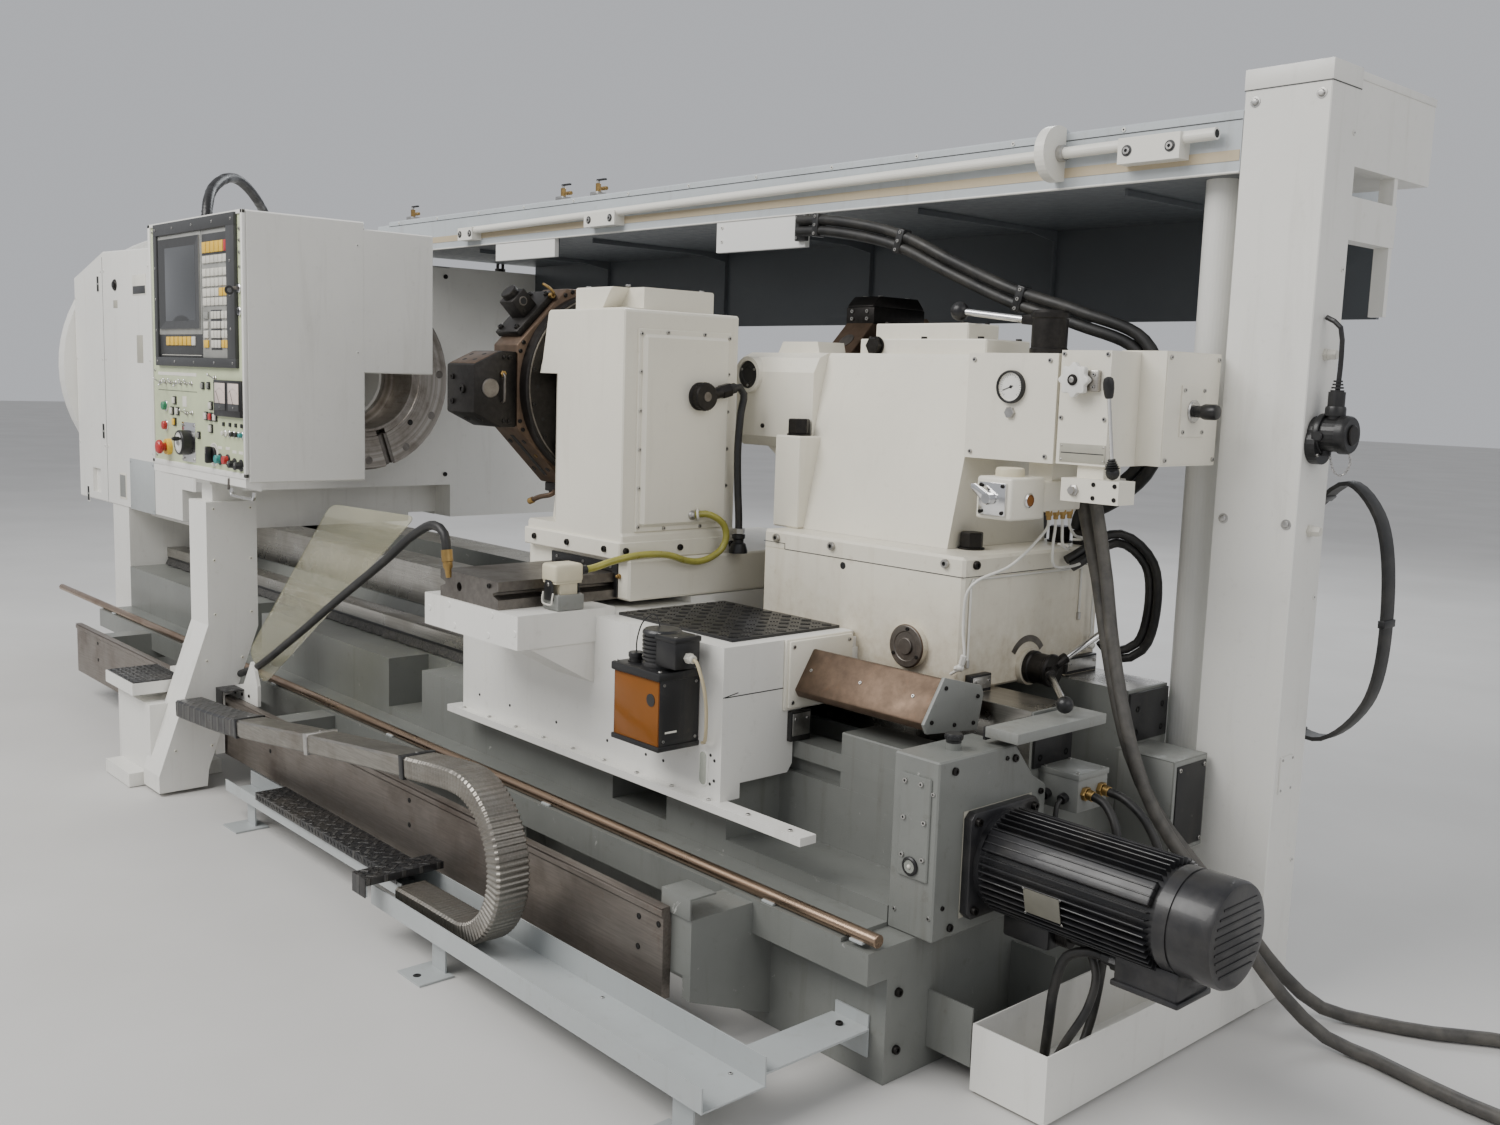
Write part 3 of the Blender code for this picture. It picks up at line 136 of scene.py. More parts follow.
def bump(nt, bsdf, height, strength, dist=0.001, prev=None):
    b = nt.nodes.new("ShaderNodeBump")
    b.inputs["Strength"].default_value = strength
    b.inputs["Distance"].default_value = dist
    nt.links.new(height, b.inputs["Height"])
    if prev is not None:
        nt.links.new(prev, b.inputs["Normal"])
    nt.links.new(b.outputs["Normal"], bsdf.inputs["Normal"])
    return b.outputs["Normal"]


def paint(name, rgb, rough=0.42, var=0.08, stain=(0.40, 0.33, 0.22), amount=0.25, streak=0.3, peel=0.12, wear=None, low=None, coat=0.0, scale=2.2):
    """Enamel with faint mottling, vertical dirt streaks, orange peel and worn spots."""
    m, nt, b = new_mat(name)
    v = coords(nt)
    big = noise(nt, v, scale, 5, 0.6)
    fine = noise(nt, v, 38.0, 6, 0.65)
    vs = coords(nt, (9.0, 9.0, 0.9))
    st = noise(nt, vs, 2.2, 6, 0.65, 0.4)
    dark = tuple(c * (1 - var) for c in rgb)
    lite = tuple(min(1, c * (1 + var * 0.5)) for c in rgb)
    col = mix(nt, ramp(nt, big, 0.35, 0.65), dark, lite)
    f = math_node(nt, 'MULTIPLY', ramp(nt, st, 0.56, 0.78), streak)
    f2 = math_node(nt, 'MULTIPLY', ramp(nt, fine, 0.60, 0.80), amount)
    col = mix(nt, math_node(nt, 'ADD', f, f2), col, stain)
    if low is not None:
        tc = nt.nodes.new("ShaderNodeTexCoord")
        sp = nt.nodes.new("ShaderNodeSeparateXYZ")
        nt.links.new(tc.outputs["Object"], sp.inputs[0])
        g = ramp(nt, sp.outputs[2], low[0], low[1], low[2], 0.0)
        g = math_node(nt, 'MULTIPLY', g, ramp(nt, fine, 0.30, 0.62, 0.3, 1.0))
        col = mix(nt, g, col, stain)
    if wear is not None:
        w = ramp(nt, noise(nt, v, 17.0, 8, 0.72, 0.6), 0.655, 0.70)
        col = mix(nt, w, col, wear)
        nt.links.new(ramp(nt, w, 0, 1, rough, 0.36), b.inputs["Roughness"])
    else:
        nt.links.new(ramp(nt, fine, 0.3, 0.7, rough - 0.06, rough + 0.12), b.inputs["Roughness"])
    nt.links.new(col, b.inputs["Base Color"])
    if coat:
        b.inputs["Coat Weight"].default_value = coat
        b.inputs["Coat Roughness"].default_value = 0.18
    h = noise(nt, v, 420.0, 2, 0.5)
    n1 = bump(nt, b, h, peel, 0.0006)
    bump(nt, b, noise(nt, v, 14.0, 3, 0.5), 0.10, 0.002, n1)
    return m


def metal(name, rgb, rough=0.32, var=0.25, grain=(1, 1, 1), gscale=60.0, gbump=0.12, stain=(0.10, 0.07, 0.05), amount=0.35, metallic=1.0, rust=0.0):
    """Bare metal with a directional grain, oil film and darker patches."""
    m, nt, b = new_mat(name)
    v = coords(nt)
    g = noise(nt, coords(nt, grain), gscale, 5, 0.6)
    big = noise(nt, v, 5.0, 6, 0.62, 0.3)
    dark = tuple(c * (1 - var) for c in rgb)
    col = mix(nt, ramp(nt, g, 0.3, 0.7), dark, rgb)
    f = math_node(nt, 'MULTIPLY', ramp(nt, big, 0.48, 0.72), amount)
    col = mix(nt, f, col, stain)
    if rust:
        rr = math_node(nt, 'MULTIPLY', ramp(nt, noise(nt, v, 23.0, 8, 0.75, 0.8), 0.58, 0.70), rust)
        col = mix(nt, rr, col, (0.16, 0.07, 0.03))
    nt.links.new(col, b.inputs["Base Color"])
    b.inputs["Metallic"].default_value = metallic
    nt.links.new(ramp(nt, big, 0.3, 0.7, rough - 0.07, rough + 0.16), b.inputs["Roughness"])
    bump(nt, b, g, gbump, 0.0005)
    return m


def plastic(name, rgb, rough=0.35, bumps=0.06, var=0.15, coat=0.0, scale=260.0, dust=0.0):
    m, nt, b = new_mat(name)
    v = coords(nt)
    big = noise(nt, v, 26.0, 5, 0.6)
    col = mix(nt, ramp(nt, big, 0.35, 0.7), tuple(c * (1 - var) for c in rgb), tuple(min(1, c * (1 + var)) for c in rgb))
    if dust:
        d = math_node(nt, 'MULTIPLY', ramp(nt, noise(nt, v, 9.0, 7, 0.7, 0.5), 0.45, 0.75), dust)
        col = mix(nt, d, col, (0.30, 0.27, 0.22))
    nt.links.new(col, b.inputs["Base Color"])
    nt.links.new(ramp(nt, big, 0.3, 0.7, rough - 0.05, rough + 0.1), b.inputs["Roughness"])
    bump(nt, b, noise(nt, v, scale, 2, 0.5), bumps, 0.0004)
    if coat:
        b.inputs["Coat Weight"].default_value = coat
    return m


CREAM = paint("cream_enamel", (0.800, 0.765, 0.660), 0.36, 0.05, (0.42, 0.36, 0.25), 0.18, 0.16, 0.30, coat=0.15)
CREAM_LOW = paint("cream_enamel_oily", (0.785, 0.745, 0.630), 0.36, 0.06, (0.34, 0.25, 0.13), 0.30, 0.26, 0.30, coat=0.15, low=(0.64, 0.86, 0.55))
WHITE = paint("white_enamel", (0.800, 0.790, 0.745), 0.38, 0.05, (0.36, 0.33, 0.27), 0.20, 0.22, 0.2, coat=0.1)
GREY = paint("grey_casting", (0.196, 0.203, 0.188), 0.40, 0.16, (0.10, 0.09, 0.07), 0.45, 0.45, 0.5, wear=(0.46, 0.46, 0.43), coat=0.1)
GREY_LT = paint("grey_casting_light", (0.250, 0.257, 0.240), 0.40, 0.12, (0.13, 0.11, 0.08), 0.40, 0.35, 0.5, coat=0.1)
BLUEGREY = paint("light_blue_grey", (0.430, 0.455, 0.455), 0.36, 0.07, (0.22, 0.19, 0.14), 0.28, 0.22, 0.15, coat=0.1)
BLACKP = paint("black_paint", (0.012, 0.012, 0.013), 0.42, 0.3, (0.10, 0.085, 0.06), 0.35, 0.3, 0.4, wear=(0.10, 0.095, 0.085))
BLACKOX = metal("black_oxide", (0.034, 0.031, 0.029), 0.38, 0.4, (1, 1, 1), 80.0, 0.25, (0.02, 0.018, 0.015), 0.5, 0.75)
STEEL = metal("ground_steel", (0.50, 0.48, 0.45), 0.30, 0.25, (0.4, 14, 14), 20.0, 0.12, (0.16, 0.12, 0.08), 0.45)
STEEL_D = metal("dark_steel", (0.235, 0.215, 0.195), 0.36, 0.35, (1, 1, 1), 60.0, 0.2, (0.05, 0.038, 0.028), 0.6, 0.9)
BROWNST = metal("browned_steel", (0.155, 0.105, 0.072), 0.40, 0.35, (1, 1, 1), 45.0, 0.3, (0.045, 0.03, 0.02), 0.6, 0.75, rust=0.35)
RAILST = metal("rail_steel", (0.30, 0.265, 0.235), 0.42, 0.3, (0.5, 8, 9), 24.0, 0.25, (0.10, 0.07, 0.05), 0.55, 0.85, rust=0.25)
WAYST = metal("way_steel", (0.56, 0.54, 0.50), 0.24, 0.3, (0.35, 22, 22), 16.0, 0.08, (0.20, 0.155, 0.10), 0.4)
CHROME = metal("bright_chrome", (0.80, 0.80, 0.80), 0.12, 0.06, (1, 1, 1), 60.0, 0.02, (0.35, 0.33, 0.30), 0.2)
ZINC = metal("zinc_screw", (0.55, 0.54, 0.52), 0.30, 0.2, (1, 1, 1), 90.0, 0.1, (0.25, 0.21, 0.16), 0.35)
BRASS = metal("oily_brass", (0.44, 0.29, 0.11), 0.34, 0.25, (1, 1, 1), 60.0, 0.1, (0.10, 0.06, 0.03), 0.5)
BLKPL = plastic("black_plastic", (0.011, 0.011, 0.012), 0.34, 0.10, 0.2, dust=0.05)
RUBBER = plastic("black_hose_rubber", (0.012, 0.012, 0.012), 0.46, 0.18, 0.3, dust=0.12)
RUBBER_G = plastic("grey_dusty_hose", (0.070, 0.066, 0.060), 0.50, 0.18, 0.3, dust=0.30)
MOTOR = plastic("motor_black", (0.016, 0.016, 0.018), 0.33, 0.14, 0.25, dust=0.10, coat=0.15)
TAN = plastic("tan_strip", (0.50, 0.44, 0.30), 0.55, 0.1, 0.12)
RED = plastic("red_button", (0.45, 0.018, 0.016), 0.28, 0.02, 0.1, coat=0.3)
GREEN = plastic("green_button", (0.02, 0.22, 0.10), 0.28, 0.02, 0.1, coat=0.3)
TEAL = plastic("teal_cap", (0.03, 0.25, 0.24), 0.3, 0.02, 0.1, coat=0.3)
YELLOWK = plastic("yellow_key", (0.80, 0.50, 0.05), 0.38, 0.03, 0.06)
WHITEK = plastic("white_key", (0.66, 0.64, 0.57), 0.38, 0.03, 0.06)
GREYK = plastic("grey_key", (0.30, 0.30, 0.28), 0.40, 0.03, 0.1)
BEZEL = plastic("screen_surround", (0.045, 0.046, 0.047), 0.42, 0.10, 0.1, scale=500)
SCREEN = plastic("screen_glass", (0.010, 0.012, 0.012), 0.08, 0.0, 0.1, coat=0.8)
PALEGREEN = plastic("pale_green_panel", (0.565, 0.620, 0.405), 0.42, 0.05, 0.05, scale=600)
METER = plastic("meter_face", (0.72, 0.60, 0.54), 0.35, 0.0, 0.04, coat=0.5)
DIAL = plastic("dial_face", (0.80, 0.79, 0.74), 0.3, 0.0, 0.03, coat=0.6)
CREAMPL = plastic("cream_plastic", (0.66, 0.60, 0.44), 0.36, 0.05, 0.06, coat=0.2)
GREENHOSE = plastic("yellow_green_hose", (0.33, 0.31, 0.055), 0.30, 0.05, 0.15, coat=0.3)
BEIGE = plastic("beige_cable", (0.55, 0.47, 0.30), 0.40, 0.05, 0.08)
WHITETUBE = plastic("white_tube", (0.70, 0.69, 0.64), 0.35, 0.04, 0.06)
LABEL = plastic("bare_plate", (0.40, 0.385, 0.320), 0.40, 0.02, 0.05)
WORNPLATE = plastic("worn_metal_plate", (0.155, 0.148, 0.120), 0.38, 0.10, 0.10)
LABEL_W = plastic("bare_label", (0.76, 0.74, 0.66), 0.45, 0.02, 0.04)
# near-black painted shade, put as thin discs and sheets where holes, sockets, slots and gaps are
RECESS_SHADE = plastic("painted_recess_shade", (0.012, 0.012, 0.012), 0.7, 0.1, 0.2)


def chuck_mat():
    m, nt, b = new_mat("turned_chuck_steel")
    tc = nt.nodes.new("ShaderNodeTexCoord")
    sp = nt.nodes.new("ShaderNodeSeparateXYZ")
    nt.links.new(tc.outputs["Object"], sp.inputs[0])
    y2 = math_node(nt, 'POWER', sp.outputs[1], 2.0)
    z2 = math_node(nt, 'POWER', math_node(nt, 'SUBTRACT', sp.outputs[2], SPZ), 2.0)
    r = math_node(nt, 'SQRT', math_node(nt, 'ADD', y2, z2))
    cmb = nt.nodes.new("ShaderNodeCombineXYZ")
    nt.links.new(r, cmb.inputs[0])
    fine = noise(nt, cmb.outputs[0], 420.0, 3, 0.6)
    wide = noise(nt, cmb.outputs[0], 60.0, 2, 0.5)
    blot = noise(nt, coords(nt), 9.0, 7, 0.7, 0.4)
    col = mix(nt, ramp(nt, wide, 0.35, 0.65), (0.24, 0.215, 0.185), (0.43, 0.40, 0.365))
    col = mix(nt, math_node(nt, 'MULTIPLY', ramp(nt, blot, 0.46, 0.74), 0.65), col, (0.085, 0.06, 0.04))
    nt.links.new(col, b.inputs["Base Color"])
    b.inputs["Metallic"].default_value = 0.95
    nt.links.new(ramp(nt, blot, 0.3, 0.7, 0.26, 0.46), b.inputs["Roughness"])
    b.inputs["Anisotropic"].default_value = 0.4
    n1 = bump(nt, b, fine, 0.25, 0.0006)
    bump(nt, b, noise(nt, coords(nt), 70.0, 5, 0.6), 0.12, 0.0006, n1)
    return m


CHUCK = chuck_mat()


def tread_mat(name, base=(0.018, 0.018, 0.019), pitch=0.030):
    """Chequered plate: short raised bars set crosswise in turn."""
    m, nt, b = new_mat(name)
    v = coords(nt)
    sp = nt.nodes.new("ShaderNodeSeparateXYZ")
    nt.links.new(v, sp.inputs[0])
    u = math_node(nt, 'DIVIDE', math_node(nt, 'ADD', sp.outputs[0], sp.outputs[1]), pitch * 1.4142)
    w = math_node(nt, 'DIVIDE', math_node(nt, 'SUBTRACT', sp.outputs[0], sp.outputs[1]), pitch * 1.4142)
    fu, fw = math_node(nt, 'FRACT', u), math_node(nt, 'FRACT', w)
    iu, iw = math_node(nt, 'FLOOR', u), math_node(nt, 'FLOOR', w)
    par = math_node(nt, 'ABSOLUTE', math_node(nt, 'MODULO', math_node(nt, 'ADD', iu, iw), 2.0))
    au = math_node(nt, 'ABSOLUTE', math_node(nt, 'SUBTRACT', fu, 0.5))
    aw = math_node(nt, 'ABSOLUTE', math_node(nt, 'SUBTRACT', fw, 0.5))
    long1 = math_node(nt, 'MULTIPLY', ramp(nt, au, 0.40, 0.46, 1, 0), ramp(nt, aw, 0.10, 0.18, 1, 0))
    long2 = math_node(nt, 'MULTIPLY', ramp(nt, aw, 0.40, 0.46, 1, 0), ramp(nt, au, 0.10, 0.18, 1, 0))
    inv = math_node(nt, 'SUBTRACT', 1.0, par)
    h = math_node(nt, 'ADD', math_node(nt, 'MULTIPLY', long1, par), math_node(nt, 'MULTIPLY', long2, inv))
    wearn = noise(nt, v, 26.0, 5, 0.65)
    tip = math_node(nt, 'MULTIPLY', h, ramp(nt, wearn, 0.4, 0.7, 0.05, 0.7))
    col = mix(nt, tip, base, (0.12, 0.115, 0.105))
    col = mix(nt, math_node(nt, 'MULTIPLY', ramp(nt, noise(nt, v, 6.0, 6, 0.7), 0.5, 0.75), 0.4), col, (0.10, 0.085, 0.065))
    nt.links.new(col, b.inputs["Base Color"])
    nt.links.new(ramp(nt, wearn, 0.3, 0.7, 0.26, 0.46), b.inputs["Roughness"])
    bump(nt, b, h, 0.9, 0.0025)
    return m


TREAD = tread_mat("chequered_black_plate")


def clear_mat(name, rgb, rough, trans, alpha=1.0, scratches=0.3):
    m, nt, b = new_mat(name)
    v = coords(nt)
    s = noise(nt, coords(nt, (3, 3, 30)), 12.0, 6, 0.7, 0.6)
    big = noise(nt, v, 4.0, 5, 0.6)
    col = mix(nt, ramp(nt, big, 0.35, 0.7), rgb, tuple(c * 0.80 for c in rgb))
    nt.links.new(col, b.inputs["Base Color"])
    b.inputs["Transmission Weight"].default_value = trans
    b.inputs["Alpha"].default_value = alpha
    b.inputs["IOR"].default_value = 1.2
    nt.links.new(ramp(nt, s, 0.45, 0.8, rough, rough + scratches), b.inputs["Roughness"])
    bump(nt, b, s, 0.05, 0.0006)
    return m


SHIELD = clear_mat("yellowed_clear_sheet", (0.95, 0.90, 0.60), 0.05, 0.85, 0.46, 0.22)
AMBER = clear_mat("amber_tank", (0.50, 0.20, 0.05), 0.12, 0.55, 1.0, 0.1)
OIL = plastic("dark_oil", (0.090, 0.022, 0.004), 0.12, 0.0, 0.2, coat=0.6)
EYE = clear_mat("sight_glass", (0.75, 0.78, 0.70), 0.05, 0.6, 1.0, 0.05)


def bristle():
    m, nt, b = new_mat("brush_bristles")
    v = coords(nt, (110, 110, 14))
    s = noise(nt, v, 3.0, 5, 0.7, 0.5)
    col = mix(nt, ramp(nt, s, 0.40, 0.66), (0.008, 0.008, 0.008), (0.11, 0.105, 0.095))
    nt.links.new(col, b.inputs["Base Color"])
    b.inputs["Roughness"].default_value = 0.62
    bump(nt, b, s, 0.9, 0.004)
    return m


BRISTLE = bristle()


# ------------------------------------------------------------- mesh building
class Group:
    """Gathers shapes of several materials into one piece that rides on a body."""

    def __init__(self, name, body):
        self.name, self.body, self.bm, self.mats = name, body, bmesh.new(), []

    def push(self, bm, mat, mw=None):
        if mat not in self.mats:
            self.mats.append(mat)
        i = self.mats.index(mat)
        if mw is not None:
            bmesh.ops.transform(bm, matrix=mw, verts=bm.verts)
            if mw.determinant() < 0:
                bmesh.ops.reverse_faces(bm, faces=bm.faces)
        for f in bm.faces:
            f.material_index = i
        me = bpy.data.meshes.new("t")
        bm.to_mesh(me)
        bm.free()
        self.bm.from_mesh(me)
        bpy.data.meshes.remove(me)

    def box(self, x0, x1, y0, y1, z0, z1, mat, bev=0.0015, seg=2, mw=None):
        bm = bmesh.new()
        bmesh.ops.create_cube(bm, size=1.0)
        for v in bm.verts:
            v.co = V(((x0 + x1) / 2 + v.co.x * (x1 - x0), (y0 + y1) / 2 + v.co.y * (y1 - y0), (z0 + z1) / 2 + v.co.z * (z1 - z0)))
        bev = min(bev, 0.45 * min(abs(x1 - x0), abs(y1 - y0), abs(z1 - z0)))
        if bev > 0:
            bmesh.ops.bevel(bm, geom=bm.edges[:], offset=bev, segments=seg, profile=0.5, affect='EDGES')
        self.push(bm, mat, mw)

    def prism(self, pts, plane, a, b, mat, bev=0.0015, seg=2, mw=None):
        bm = bmesh.new()
        def at(p, q):
            return {'x': (q, p[0], p[1]), 'y': (p[0], q, p[1]), 'z': (p[0], p[1], q)}[plane]
        lo = [bm.verts.new(at(p, a)) for p in pts]
        hi = [bm.verts.new(at(p, b)) for p in pts]
        n = len(pts)
        bm.faces.new(lo)
        bm.faces.new(hi[::-1])
        for i in range(n):
            bm.faces.new((lo[i], hi[i], hi[(i + 1) % n], lo[(i + 1) % n]))
        bmesh.ops.recalc_face_normals(bm, faces=bm.faces)
        if bev > 0:
            bmesh.ops.bevel(bm, geom=[e for e in bm.edges if e.calc_face_angle(0) > 0.3], offset=bev, segments=seg, profile=0.5, affect='EDGES')
        self.push(bm, mat, mw)

    def lathe(self, prof, o, axis, mat, n=40, close=True, turn=0.0):
        """prof: (radius, height) pairs along axis from o."""
        bm = bmesh.new()
        q = V(axis).to_track_quat('Z', 'Y').to_matrix().to_4x4()
        mw = Matrix.Translation(V(o)) @ q
        rings = []
        for r, h in prof:
            if r < 1e-6:
                rings.append([bm.verts.new((0, 0, h))])
            else:
                rings.append([bm.verts.new((r * math.cos(turn + math.tau * i / n), r * math.sin(turn + math.tau * i / n), h)) for i in range(n)])
        for a, b in zip(rings, rings[1:]):
            for i in range(n):
                j = (i + 1) % n
                if len(a) == 1 and len(b) == 1:
                    continue
                if len(a) == 1:
                    bm.faces.new((a[0], b[i], b[j]))
                elif len(b) == 1:
                    bm.faces.new((a[i], b[0], a[j]))
                else:
                    bm.faces.new((a[i], b[i], b[j], a[j]))
        if close:
            for ring in (rings[0], rings[-1]):
                if len(ring) > 2:
                    bm.faces.new(ring)
        bmesh.ops.recalc_face_normals(bm, faces=bm.faces)
        self.push(bm, mat, mw)

    def rod(self, p0, p1, r, mat, n=32, bev=0.0008, r2=None, turn=0.0):
        p0, p1 = V(p0), V(p1)
        L = (p1 - p0).length
        r2 = r if r2 is None else r2
        b = min(bev, r * 0.4, r2 * 0.4, L * 0.4)
        self.lathe([(0, 0), (r - b, 0), (r, b), (r2, L - b), (r2 - b, L), (0, L)], p0, p1 - p0, mat, n, close=False, turn=turn)

    def ball(self, c, r, mat, n=20, axis=(0, 0, 1), sq=1.0):
        k = max(6, n // 2)
        prof = [(r * math.sin(math.pi * i / k), -r * sq * math.cos(math.pi * i / k)) for i in range(k + 1)]
        prof[0] = (0, prof[0][1])
        prof[-1] = (0, prof[-1][1])
        self.lathe(prof, c, axis, mat, n, close=False)

    def hexnut(self, p, axis, r, h, mat, bore=0.0):
        axis = V(axis).normalized()
        self.rod(p, V(p) + axis * h, r, mat, 6, 0.0012)

    def cap(self, p, axis, r, h, mat=None, socket=True):
        """Round socket-head screw standing h out of a face."""
        mat = mat or ZINC
        s = r * 0.48
        self.lathe([(0, 0), (r, 0), (r, h * 0.78), (r * 0.9, h), (s, h), (s * 0.98, h * 0.45), (0, h * 0.40)], p, axis, mat, 18, close=False)
        # the socket is a near-black disc: painted shade of the hex hole
        if socket:
            self.lathe([(0, 0), (s * 1.02, 0), (s * 1.02, 0.0004), (0, 0.0004)], V(p) + V(axis).normalized() * h * 0.46, axis, RECESS_SHADE, 6, close=False)

    def tube(self, pts, r, mat, n=12, smooth=True, step=0.02, ends=True, rfun=None):
        P = smooth_path(pts, step) if smooth else [V(p) for p in pts]
        bm = bmesh.new()
        t = (P[1] - P[0]).normalized()
        up = V((0, 0, 1)) if abs(t.z) < 0.9 else V((1, 0, 0))
        nrm = (up - t * up.dot(t)).normalized()
        rings = []
        s = 0.0
        for i, p in enumerate(P):
            t2 = (P[min(i + 1, len(P) - 1)] - P[max(i - 1, 0)]).normalized()
            nrm = (nrm - t2 * nrm.dot(t2)).normalized()
            bi = t2.cross(nrm)
            if i:
                s += (p - P[i - 1]).length
            rr = r if rfun is None else rfun(s)
            rings.append([bm.verts.new(p + nrm * rr * math.cos(math.tau * k / n) + bi * rr * math.sin(math.tau * k / n)) for k in range(n)])
        for a, b in zip(rings, rings[1:]):
            for k in range(n):
                j = (k + 1) % n
                bm.faces.new((a[k], a[j], b[j], b[k]))
        if ends:
            bm.faces.new(rings[0][::-1])
            bm.faces.new(rings[-1])
        self.push(bm, mat)

    def sheet(self, grid, mat, thick=0.0):
        """Surface through a grid of points, given a thickness if thick is set."""
        bm = bmesh.new()
        vs = [[bm.verts.new(p) for p in row] for row in grid]
        for a, b in zip(vs, vs[1:]):
            for i in range(len(a) - 1):
                bm.faces.new((a[i], a[i + 1], b[i + 1], b[i]))
        if thick:
            bmesh.ops.recalc_face_normals(bm, faces=bm.faces)
            bmesh.ops.solidify(bm, geom=bm.faces[:], thickness=thick)
        self.push(bm, mat)

    def done(self, angle=32.0, *swap):
        bm = self.bm
        lim = math.radians(angle)
        for f in bm.faces:
            f.smooth = True
        for e in bm.edges:
            if len(e.link_faces) == 2 and e.calc_face_angle(0) > lim:
                e.smooth = False
        me = bpy.data.meshes.new(self.name)
        bm.to_mesh(me)
        bm.free()
        for m in self.mats:
            me.materials.append(m)
        ob = bpy.data.objects.new(self.name, me)
        bpy.context.scene.collection.objects.link(ob)
        if self.body:
            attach(ob, self.body)
        if swap:
            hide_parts(*swap)
        return ob


def smooth_path(pts, step):
    P = [V(p) for p in pts]
    P = [P[0] * 2 - P[1]] + P + [P[-1] * 2 - P[-2]]
    out = []
    for i in range(1, len(P) - 2):
        a, b, c, d = P[i - 1], P[i], P[i + 1], P[i + 2]
        n = max(1, int(round((c - b).length / step)))
        t0 = 0.0
        t1 = t0 + max(1e-6, (b - a).length) ** 0.5
        t2 = t1 + max(1e-6, (c - b).length) ** 0.5
        t3 = t2 + max(1e-6, (d - c).length) ** 0.5
        for k in range(n):
            t = t1 + (t2 - t1) * k / n
            A1 = a * ((t1 - t) / (t1 - t0)) + b * ((t - t0) / (t1 - t0))
            A2 = b * ((t2 - t) / (t2 - t1)) + c * ((t - t1) / (t2 - t1))
            A3 = c * ((t3 - t) / (t3 - t2)) + d * ((t - t2) / (t3 - t2))
            B1 = A1 * ((t2 - t) / (t2 - t0)) + A2 * ((t - t0) / (t2 - t0))
            B2 = A2 * ((t3 - t) / (t3 - t1)) + A3 * ((t - t1) / (t3 - t1))
            out.append(B1 * ((t2 - t) / (t2 - t1)) + B2 * ((t - t1) / (t2 - t1)))
    out.append(P[-2])
    return out


def look(node, mat, smooth=False):
    """Gives a carried-over CAD node its material."""
    ob = NODES[node]
    for s in ob.material_slots:
        s.material = mat
    return ob


# --------------------------------------------------------------------- camera
C = V((3.51, -2.379, 1.248))
yaw, pitch, roll, focal = .833287, .131480, .0321147, 1376.40
fwd = V((-math.sin(yaw), math.cos(yaw), 0))
right = V((math.cos(yaw), math.sin(yaw), 0))
up = V((0, 0, 1))
fwd2 = fwd * math.cos(pitch) - up * math.sin(pitch)
up2 = up * math.cos(pitch) + fwd * math.sin(pitch)
r2 = right * math.cos(roll) + up2 * math.sin(roll)
u2 = up2 * math.cos(roll) - right * math.sin(roll)
cam = bpy.data.cameras.new("camera")
cam.sensor_width = 36.0
cam.lens = 36.0 * focal / 1500.0
cam.clip_end = 100.0
co = bpy.data.objects.new("camera", cam)
bpy.context.scene.collection.objects.link(co)
co.matrix_world = Matrix(((r2.x, u2.x, -fwd2.x, C.x), (r2.y, u2.y, -fwd2.y, C.y), (r2.z, u2.z, -fwd2.z, C.z), (0, 0, 0, 1)))
bpy.context.scene.camera = co

# ------------------------------------------------------------ floor and light
fm, nt, b = new_mat("floor_plain")
fv = coords(nt)
nt.links.new(mix(nt, ramp(nt, noise(nt, fv, 1.2, 4), 0.3, 0.7), (0.56, 0.55, 0.53), (0.62, 0.61, 0.59)), b.inputs["Base Color"])
b.inputs["Roughness"].default_value = 0.7
me = bpy.data.meshes.new("floor")
me.from_pydata([(-40, -40, -0.0005), (40, -40, -0.0005), (40, 40, -0.0005), (-40, 40, -0.0005)], [], [(0, 1, 2, 3)])
me.materials.append(fm)
floor = bpy.data.objects.new("floor", me)
bpy.context.scene.collection.objects.link(floor)
w = bpy.data.worlds.new("studio")
bpy.context.scene.world = w
w.use_nodes = True
bg = w.node_tree.nodes["Background"]
bg.inputs["Color"].default_value = (0.93, 0.95, 1.0, 1.0)
bg.inputs["Strength"].default_value = 0.56


def area(name, loc, target, size, power, col=(1, 1, 1)):
    l = bpy.data.lights.new(name, 'AREA')
    l.shape = 'RECTANGLE'
    l.size, l.size_y = size
    l.energy = power
    l.color = col
    o = bpy.data.objects.new(name, l)
    o.location = loc
    o.rotation_euler = (V(target) - V(loc)).to_track_quat('-Z', 'Y').to_euler()
    bpy.context.scene.collection.objects.link(o)
    return o


area("key", (-0.6, -5.0, 5.6), (0.2, 0.0, 0.8), (5.5, 3.6), 470, (1.0, 0.985, 0.96))
area("side", (7.0, -0.5, 4.2), (1.0, 0.0, 1.0), (5.0, 3.5), 84, (1.0, 0.98, 0.95))
area("back", (-2.5, 5.5, 5.5), (0.0, 0.0, 1.0), (6.0, 3.0), 260, (0.93, 0.97, 1.0))

# --------------------------------------------------- finishes of the CAD nodes
for n_ in NODES:
    look(n_, CREAM)
for n_ in ("bed", "chip_tray"):
    look(n_, GREY)
look("feed_gearbox", GREY)
for n_ in ("headstock", "headstock_guard", "column", "pendant_box", "pedestal", "right_trough"):
    look(n_, WHITE)


def box_zone(nt, lo, hi):
    """1 inside a box in object coordinates, else 0."""
    v = coords(nt)
    sp = nt.nodes.new("ShaderNodeSeparateXYZ")
    nt.links.new(v, sp.inputs[0])
    f = None
    for i in range(3):
        for lim, op in ((lo[i], 'GREATER_THAN'), (hi[i], 'LESS_THAN')):
            if lim is None:
                continue
            t = math_node(nt, op, sp.outputs[i], lim)
            f = t if f is None else math_node(nt, 'MULTIPLY', f, t)
    return f


